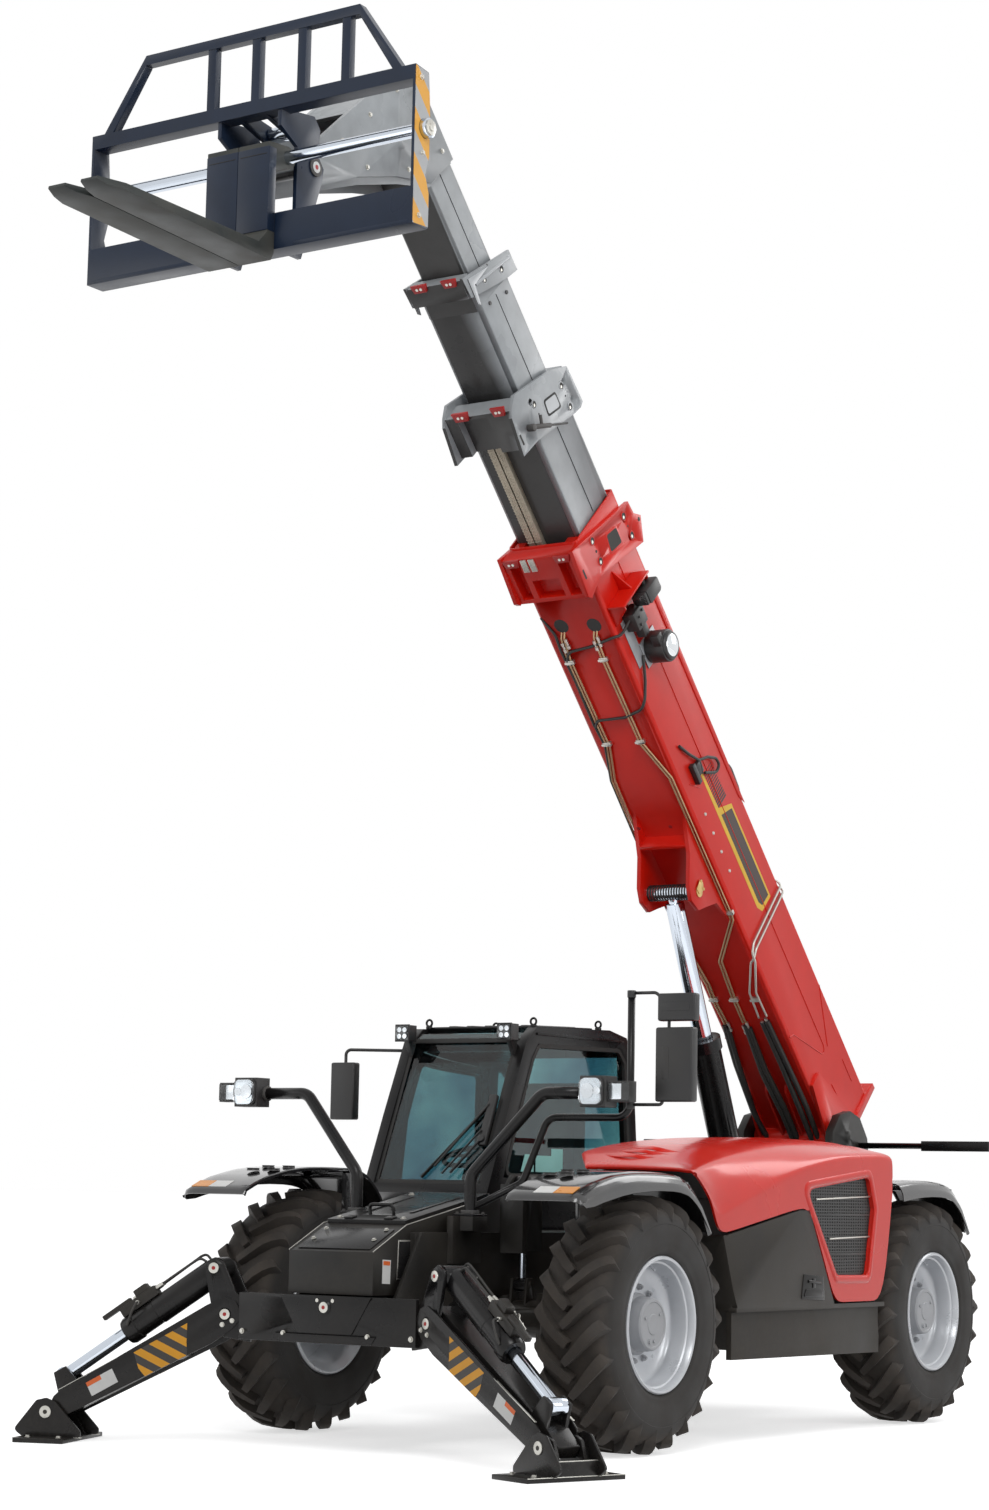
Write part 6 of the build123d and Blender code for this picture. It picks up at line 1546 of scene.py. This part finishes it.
screen = Matrix(((1, 0, 0, 0), (0, 0.3933, -0.9194, -0.762 + midY), (0, 0.9194, 0.3933, 1.29), (0, 0, 0, 1)))
onScreen = At(screen)
cabX0, cabX1 = -1.17, -0.345
sideWindow = [(-0.64, 1.33), (-0.52, 1.64), (-0.37, 1.99), (-0.31, 2.07), (0.56, 2.085), (0.64, 2.01),
              (0.69, 1.48), (0.64, 1.33)]
doorWindow = [(-0.47, 1.3), (-0.42, 1.64), (-0.29, 1.98), (-0.25, 2.01), (0.32, 2.03), (0.33, 1.08),
              (0.28, 1.04), (-0.43, 1.04)]
cabBody, doorBody = bodyOf["cab_shell"], bodyOf["cab_door"]


# flat ring between an outline and the same outline set in, square to X
def addSeal(bm, outline, inset, low, high, matrix):
    part = bmesh.new()
    outer = [part.verts.new((low, u, v)) for u, v in outline]
    inner = [part.verts.new((low, u, v)) for u, v in grownOutline(outline, -inset)]
    count = len(outer)
    for k in range(count):
        part.faces.new((outer[k], outer[(k + 1) % count], inner[(k + 1) % count], inner[k]))
    grown = bmesh.ops.extrude_face_region(part, geom=list(part.faces))
    bmesh.ops.translate(part, vec=(high - low, 0, 0),
                        verts=[g for g in grown["geom"] if isinstance(g, bmesh.types.BMVert)])
    bmesh.ops.recalc_face_normals(part, faces=part.faces)
    softenEdges(part, 0.0012, segments=1)
    return addPart(bm, part, matrix)


def cabSeals():
    seal, doorSeal = bags(2)
    addSeal(seal, roundedOutline(sideWindow, 0.06, 5), 0.024, cabX1 - 0.02, cabX1 + 0.0025, mid)
    addSeal(doorSeal, roundedOutline(doorWindow, 0.06, 5), 0.022, cabX0 - 0.0025, cabX0 + 0.014, mid)
    for low, high in (((-1.112, 0.0, 0.0), (-1.088, 0.87, 0.006)), ((-0.427, 0.0, 0.0), (-0.403, 0.87, 0.006)),
                      ((-1.112, -0.006, 0.0), (-0.403, 0.022, 0.006)),
                      ((-1.112, 0.85, -0.004), (-0.403, 0.878, 0.006))):
        onScreen.box(seal, low, high, 0.003)
    finishPiece("cabSeals", seal, "sealRubber", cabBody)
    finishPiece("doorSeal", doorSeal, "sealRubber", doorBody)


def cabRoof():
    roof, gutter, rings = bmesh.new(), bmesh.new(), []
    top = Matrix.Translation((0, midY, 2.16)) @ Matrix.Rotation(math.atan2(0.025, 0.78), 4, "X")
    onTop = At(top)
    onTop.plate(roof, roundedOutline(rect(-1.11, -0.28, -0.405, 0.4), 0.07, 6), "z", 0.006, 0.022, 0.006)
    for x in (-1.0, -0.88, -0.757, -0.635, -0.515):
        onTop.box(roof, (x - 0.022, -0.2, 0.02), (x + 0.022, 0.32, 0.029), 0.004)
    onMid.rod(roof, (-1.06, 0.44, 2.18), (-1.06, 0.44, 2.225), 0.013, sides=16, soft=0.002)
    onMid.box(roof, (-1.1, 0.4, 2.168), (-1.02, 0.48, 2.186), 0.003)
    for x in (cabX0 - 0.004, cabX1 + 0.004):
        onMid.box(gutter, (x - 0.006, -0.33, 2.118), (x + 0.006, 0.6, 2.132), 0.003)
    for x, y, z in ((cabX0 + 0.06, -0.27, 2.166), (cabX1 - 0.06, -0.27, 2.166), (cabX0 + 0.06, 0.42, 2.186),
                    (cabX1 - 0.06, 0.42, 2.186)):
        onMid.rod(gutter, (x, y, z - 0.006), (x, y, z + 0.012), 0.019, sides=20, soft=0.002)
        rings.append([(x + 0.019 * math.cos(t * math.tau / 12), y + midY,
                       z + 0.03 + 0.019 * math.sin(t * math.tau / 12)) for t in range(13)])
    finishAll(cabBody, cabRoofPanel=(roof, "cabBlack", "black_paint"),
              cabGutters=(gutter, "blackEnamel", "black_paint"))
    pipePiece("cabEyeBolts", rings, 0.0065, 0.008, "blackEnamel", cabBody, fine=2, round=2)


def cabWiper():
    arm, blade = bags(2)
    onScreen.box(arm, (-0.475, 0.215, 0.006), (-0.425, 0.52, 0.04), 0.01)
    onScreen.rod(arm, (-0.45, 0.25, 0.02), (-0.45, 0.25, 0.055), 0.02, sides=20, soft=0.002)
    onScreen.rods(arm, ((-0.45, 0.25, 0.046), (-0.6, 0.05, 0.04), 0.008),
                  ((-0.465, 0.3, 0.046), (-0.655, 0.045, 0.036), 0.006),
                  ((-0.46, 0.46, 0.04), (-0.72, 0.09, 0.03), 0.007), sides=12)
    addBox(blade, (-0.0045, 0, 0.004), (0.0045, 0.56, 0.024), 0.002,
           screen @ Matrix.Translation((-0.8, 0.03, 0)) @ Matrix.Rotation(math.radians(-37), 4, "Z"))
    finishAll(cabBody, wiperArms=(arm, "blackPlastic"), wiperBlade=(blade, "sealRubber"))


def cabSmallParts():
    label, handle, lock, seam = bags(4)
    onMid.plates(label,
                 ([(-0.29, 1.365), (-0.29, 1.455), (-0.13, 1.455), (-0.13, 1.495), (-0.01, 1.495),
                   (-0.01, 1.365)], "x", cabX1 - 0.0178, cabX1 - 0.0168),
                 ([(-0.44, 1.365), (-0.4, 1.46), (-0.31, 1.46), (-0.31, 1.365)], "x", cabX1 - 0.0178,
                  cabX1 - 0.0168))
    onMid.boxes(handle, ((cabX0 - 0.034, -0.4, 1.15), (cabX0 - 0.022, -0.24, 1.182), 0.005),
                ((cabX0 - 0.03, -0.395, 1.155), (cabX0 + 0.002, -0.375, 1.178), 0.003),
                ((cabX0 - 0.03, -0.265, 1.155), (cabX0 + 0.002, -0.245, 1.178), 0.003))
    onMid.rod(lock, (cabX0 - 0.002, -0.43, 1.165), (cabX0 - 0.008, -0.43, 1.165), 0.012, sides=20)
    onMid.boxes(seam, ((cabX1 - 0.0008, -0.6, 1.226), (cabX1 + 0.0022, 0.7, 1.234), 0.001),
                ((cabX1 - 0.0008, -0.62, 1.0), (cabX1 + 0.0022, 0.66, 1.01), 0.001))
    finishPiece("windowLabel", label, "tealLabel", cabBody)
    finishAll(doorBody, doorHandle=(handle, "blackPlastic"), doorLock=(lock, "zinc"))
    finishPiece("cabSeams", seam, "sealRubber", cabBody)


# square work lamps at the screen's top corners
def roofLamps():
    glass, led, fins = bags(3)
    for x in (cabX0 + 0.03, cabX1 - 0.11):
        onMid.box(glass, (x + 0.006, -0.5645, 2.086), (x + 0.084, -0.5605, 2.164), 0.002)
        for k in range(2):
            for j in range(2):
                onMid.rod(led, (x + 0.027 + k * 0.036, -0.5618, 2.107 + j * 0.036),
                          (x + 0.027 + k * 0.036, -0.5602, 2.107 + j * 0.036), 0.014, sides=20)
        for k in range(6):
            onMid.box(fins, (x + 0.008 + k * 0.0135, -0.48, 2.088), (x + 0.012 + k * 0.0135, -0.468, 2.162),
                      0.001)
        onMid.box(fins, (x - 0.0035, -0.56, 2.0765), (x + 0.0935, -0.552, 2.1735), 0.002)
    finishAll(bodyOf["headlamps"], roofLampGlass=(glass, "lampGlass"), roofLampLeds=(led, "lampSilver"),
              roofLampFins=(fins, "blackPlastic"))


cabSeals()
cabRoof()
cabWiper()
cabSmallParts()
roofLamps()

# headlamps, posts and mirrors

dressNode("headlamps", "blackPlastic", soft=0.016, name="headlampBodies")


postFoot = (0.345, -1.985, 1.13)


def lampDetails(side, sign):
    turn = mirrorX(sign) @ mid
    onTurn = At(turn)
    bezel, glass, bowl, amber, post = bags(5)
    for bag, inset, corner, near, far, soft in ((bezel, 0.0, 0.035, -2.024, -2.004, 0.004),
                                                (bowl, 0.007, 0.03, -2.0265, -2.0235, 0.001),
                                                (glass, 0.004, 0.032, -2.04, -2.0275, 0.006)):
        line = rect(0.99 + inset, 1.672 + inset, 1.122 - inset, 1.808 - inset)
        onTurn.plate(bag, roundedOutline(line, corner, 6), "y", near, far, soft)
    onTurn.rod(bowl, (1.04, -2.03, 1.742), (1.04, -2.026, 1.742), 0.036, tip=0.024, sides=32)
    onTurn.rod(bowl, (1.092, -2.03, 1.742), (1.092, -2.026, 1.742), 0.02, tip=0.012, sides=24)
    onTurn.box(glass, (1.13, -1.992, 1.697), (1.2495, -1.9835, 1.783), 0.004)
    onTurn.box(amber, (1.136, -1.9865, 1.703), (1.205, -1.9845, 1.777), 0.001)
    x, y, z = postFoot
    onTurn.rod(post, (x, y, z + 0.01), (x, y, z + 0.03), 0.046, sides=30, soft=0.003)
    for a, b in ((-0.045, -0.045), (0.045, -0.045), (-0.045, 0.045), (0.045, 0.045)):
        onTurn.bolt(post, (x + a, y + b, z + 0.012), (0, 0, 1), 0.009, 0.008)
    onTurn.rod(post, (0.972, -1.925, 1.735), (0.99, -1.925, 1.735), 0.04, sides=30, soft=0.003)
    lamps = bodyOf["headlamps"]
    finishAll(lamps, side, lampBezel=(bezel, "blackPlastic"), lampGlass=(glass, "lampGlass"),
              lampBowl=(bowl, "lampSilver"), lampAmber=(amber, "lampSilver"))
    finishPiece("postBase" + side, post, "ironBlock", "chassis")


leftAndRight(lampDetails)
dressNode("mirrors", "blackPlastic", soft=0.014, name="mirrorBodies")
glass, clamps = bags(2)
# pane's corners and the y of its face
for pane, y in (((1.328, 1.708, 1.507, 2.039), -1.7995), ((1.333, 2.093, 1.519, 2.205), -1.7995),
                ((-1.548, 1.652, -1.412, 1.95), -0.5295)):
    onMid.plate(glass, roundedOutline(rect(*pane), 0.02, 4), "y", y, y + 0.002, 0.0006)
for z in (1.682, 2.222):
    onMid.rod(clamps, (1.16, -1.825, z - 0.022), (1.16, -1.825, z + 0.0125), 0.0215, sides=24, soft=0.002)
onMid.boxes(clamps, ((1.352, -1.862, 1.8), (1.392, -1.852, 1.96), 0.004),
            ((1.345, -1.857, 2.13), (1.5, -1.853, 2.172), 0.002))
finishAll(bodyOf["mirrors"], mirrorGlass=(glass, "mirrorGlass"), mirrorClamps=(clamps, "blackPlastic"))
dressed |= {"headlamps", "mirrors"}
print("cab, lamps and mirrors dressed")


# carriage and forks

carriageBody = bodyOf["carriage_frame"]
face, low, high = -3.575, 5.645, 6.41
shaftAt = (-3.49, 6.12)
endPlate = [(face + 0.003, low + 0.004), (face + 0.126, low + 0.013), (face + 0.126, shaftAt[1] - 0.301),
            (face + 0.096, shaftAt[1] - 0.221), (face + 0.124, shaftAt[1] - 0.121),
            (face + 0.124, shaftAt[1] + 0.078), (face + 0.107, high - 0.013), (face + 0.003, high - 0.004)]


def carriageEnds(side, sign):
    turn = mirrorX(sign) @ mid
    onTurn = At(turn)
    decal, nut, bolts = bags(3)
    onTurn.plate(decal, endPlate, "x", 0.9801, 0.9812, holes=[(shaftAt[0], shaftAt[1], 0.048)])
    onTurn.rod(nut, (1.0105, *shaftAt), (1.02, *shaftAt), 0.04, sides=8, soft=0.002)
    onTurn.rod(nut, (1.018, *shaftAt), (1.027, *shaftAt), 0.02, sides=20, soft=0.001)
    for y, z in ((face + 0.05, low + 0.05), (face + 0.05, high - 0.05), (face + 0.07, shaftAt[1] - 0.12)):
        onTurn.bolt(bolts, (0.981, y, z), (1, 0, 0), 0.01, 0.007)
    finishPiece("carriageStripes" + side, decal, "carriageStripe", carriageBody)
    finishPiece("shaftNut" + side, nut, "zinc", bodyOf["fork_shaft"])
    finishPiece("carriageBolts" + side, bolts, "zinc", carriageBody)


hazardSkin("carriageStripe", (0.0, 0.72, 0.69), 0.15, (0.8, 0.38, 0.03), (0.42, 0.43, 0.44))
leftAndRight(carriageEnds)
pins, white, red, welds = bags(4)
for sign in (1, -1):
    turn = mirrorX(sign) @ mid
    onTurn = At(turn)
    for y, z in ((-3.2834, 6.1333), (-3.3, 6.33)):
        x = 0.193 if z < 6.2 else 0.099
        onTurn.rod(pins, (x, y, z), (x + 0.008, y, z), 0.046 if z < 6.2 else 0.03, sides=32, soft=0.002)
        onTurn.rod(white, (x + 0.0075, y, z), (x + 0.0095, y, z), 0.028 if z < 6.2 else 0.018, sides=26)
        onTurn.rod(red, (x + 0.009, y, z), (x + 0.0105, y, z), 0.012 if z < 6.2 else 0.008, sides=18)
    onTurn.box(welds, (0.3, face - 0.0015, low + 0.006), (0.955, face + 0.0005, low + 0.022), 0.0006)
for name in ("fork_left", "fork_right"):
    centre = 0.095 if name == "fork_left" else -0.095
    x0, x1 = centre - 0.092, centre + 0.092
    cover, fins = bags(2)
    onMid.plate(cover,
                [(face - 0.0565 - 0.008, low + 0.08), (face - 0.0075, low + 0.08), (face - 0.0075, 6.138),
                 (face - 0.0645, 6.138)], "x", x0 - 0.002, x1 + 0.002, 0.003)
    onMid.box(fins, (x0 + 0.012, face - 0.0655, 6.1), (x1 - 0.012, face - 0.0635, 6.104), 0.0006)
    finishPiece(name + "Shank", cover, "carriageNavy", bodyOf[name])
    finishPiece(name + "Weld", fins, "frameBlack", bodyOf[name])
finishAll(carriageBody, headPins=(pins, "ironBlock"), headPinRings=(white, "whiteLabel"),
          headPinCores=(red, "deepRed"), carriageWelds=(welds, "carriageNavy"))

# boom head: bolts on the lid and on the side plates
headBolts = bmesh.new()
for x in (-0.125, 0.0, 0.125):
    for s in (6.74, 6.9):
        onBoom.bolt(headBolts, (x, s, 0.424), (0, 0, 1), 0.011, 0.008)
for sign in (1, -1):
    for s, n in ((6.55, 0.36), (6.7, 0.36), (6.9, 0.36), (6.98, 0.2), (6.99, -0.1), (7.0, -0.4), (6.8, -0.3),
                 (6.62, 0.02)):
        addBolt(headBolts, (0.165, s, n), (1, 0, 0), 0.01, 0.007, mirrorX(sign) @ boomFrame)
finishPiece("headBolts", headBolts, "zinc", "section_4")

# levelling cylinder's rod and glands, and the rear bar's lamp lenses

chrome, rubber, lens, redLens = bags(4)
levelAt = nodes["leveling_cylinder"]
spots = [levelAt.matrix_world @ v.co for v in levelAt.data.vertices]
levelX = (min(p.x for p in spots) + max(p.x for p in spots)) / 2
levelY = (min(p.y for p in spots) + max(p.y for p in spots)) / 2
addRod(chrome, (levelX, levelY, 0.826), (levelX, levelY, 0.9795), 0.0176, sides=30)
addRod(rubber, (levelX, levelY, 0.966), (levelX, levelY, 0.984), 0.0335, sides=30, soft=0.003)
addRod(rubber, (levelX, levelY, 1.235), (levelX, levelY, 1.262), 0.0345, sides=30, soft=0.003)
finishAll(bodyOf["leveling_cylinder"], levelRod=(chrome, "chrome"), levelGland=(rubber, "ironBlock"))
for sign in (1, -1):
    turn = mirrorX(sign) @ mid
    onTurn = At(turn)
    onTurn.plate(redLens, roundedOutline(rect(0.76, 1.553, 0.96, 1.597), 0.008, 3), "y", 2.3245, 2.331, 0.002)
    onTurn.plate(lens, roundedOutline(rect(0.97, 1.553, 1.18, 1.597), 0.008, 3), "y", 2.3245, 2.331, 0.002)
barBody = bodyOf["rear_light_bar"]
finishAll(barBody, tailRed=(redLens, "deepRed"), tailAmber=(lens, "amberReflex"))
print("carriage and rear dressed")
dressPlainNodes(skip=dressed)
print("nodes dressed")

# floor, light and camera

studio = {"floor": (0.9, 0.9, 0.9), "bounce": (0.3, 0.3, 0.31), "glow": 0.6, "sky": 0.55, "key": 560.0,
          "fill": 90.0, "rim": 260.0, "side": 300.0}


# what the camera, metal and glass see; every other ray meets the plain values
def clearRays(tree):
    path = tree.nodes.new("ShaderNodeLightPath")
    seen = addMath(tree, "MAXIMUM", path.outputs["Is Camera Ray"], path.outputs["Is Glossy Ray"])
    return addMath(tree, "MAXIMUM", seen, path.outputs["Is Transmission Ray"])


def paleFloor():
    material = bpy.data.materials.new("floorPale")
    material.use_nodes = True
    tree = material.node_tree
    shader = tree.nodes["Principled BSDF"]
    seen = clearRays(tree)
    tree.links.new(addMix(tree, seen, studio["bounce"], studio["floor"]), shader.inputs["Base Color"])
    shader.inputs["Emission Color"].default_value = (1, 1, 1, 1)
    tree.links.new(addMath(tree, "MULTIPLY", seen, studio["glow"]), shader.inputs["Emission Strength"])
    shader.inputs["Roughness"].default_value = 0.9
    bm = bmesh.new()
    bmesh.ops.create_grid(bm, x_segments=1, y_segments=1, size=400)
    mesh = bpy.data.meshes.new("floor")
    bm.to_mesh(mesh)
    bm.free()
    floor = bpy.data.objects.new("floor", mesh)
    floor.location = (0, 0, -0.001)
    scene.collection.objects.link(floor)
    mesh.materials.append(material)


def skyLight():
    world = bpy.data.worlds.new("studioSky")
    scene.world = world
    world.use_nodes = True
    tree = world.node_tree
    tree.nodes.clear()
    out = tree.nodes.new("ShaderNodeOutputWorld")
    seen = addNode(tree, "ShaderNodeBackground")
    seen.inputs["Color"].default_value = (1, 1, 1, 1)
    seen.inputs["Strength"].default_value = 1.0
    lit = addNode(tree, "ShaderNodeBackground")
    lit.inputs["Strength"].default_value = studio["sky"]
    spot = tree.nodes.new("ShaderNodeTexCoord").outputs["Generated"]
    split = tree.nodes.new("ShaderNodeSeparateXYZ")
    tree.links.new(spot, split.inputs[0])
    rise = addRamp(tree, split.outputs["Z"], -0.1, 0.8, 0.0, 1.0)
    tree.links.new(addMix(tree, rise, (0.8, 0.82, 0.86), (1.0, 1.0, 1.0)), lit.inputs["Color"])
    mix = tree.nodes.new("ShaderNodeMixShader")
    tree.links.new(clearRays(tree), mix.inputs[0])
    tree.links.new(lit.outputs[0], mix.inputs[1])
    tree.links.new(seen.outputs[0], mix.inputs[2])
    tree.links.new(mix.outputs[0], out.inputs["Surface"])


# place, aim and size
lamps = {"key": ((6, -9, 11), (0, 0, 2.5), 5), "fill": ((-9, -8, 5), (0, 0, 2.5), 6),
         "side": ((13, 1, 6), (0, 0, 3), 5), "rim": ((4, 10, 9), (0, 0, 3), 5)}


def areaLight(name, at, target, size, power):
    lamp = bpy.data.lights.new(name, "AREA")
    lamp.size = size
    lamp.energy = power
    holder = bpy.data.objects.new(name, lamp)
    holder.location = at
    holder.rotation_euler = (Vector(target) - Vector(at)).to_track_quat("-Z", "Y").to_euler()
    scene.collection.objects.link(holder)


view = {"at": (8.764, -14.542 + midY, 1.245), "yaw": 33.55, "pitch": 8.21, "roll": 1.11, "focal": 72.381457}


def makeCamera():
    yaw, pitch, roll = (math.radians(view[key]) for key in ("yaw", "pitch", "roll"))
    ahead = Vector((-math.sin(yaw) * math.cos(pitch), math.cos(yaw) * math.cos(pitch), math.sin(pitch)))
    across = ahead.cross(Vector((0, 0, 1))).normalized()
    over = across.cross(ahead)
    right = math.cos(roll) * across + math.sin(roll) * over
    up = -math.sin(roll) * across + math.cos(roll) * over
    turn = Matrix((right, up, -ahead)).transposed()
    lens = bpy.data.cameras.new("camera")
    lens.sensor_fit = "AUTO"
    lens.sensor_width = 36
    lens.lens = view["focal"]
    lens.clip_end = 900
    camera = bpy.data.objects.new("camera", lens)
    camera.matrix_world = Matrix.Translation(view["at"]) @ turn.to_4x4()
    scene.collection.objects.link(camera)
    scene.camera = camera


paleFloor()
skyLight()
for name, (at, target, size) in lamps.items():
    areaLight(name, at, target, size, studio[name])
makeCamera()
scene.view_settings.view_transform = "Standard"
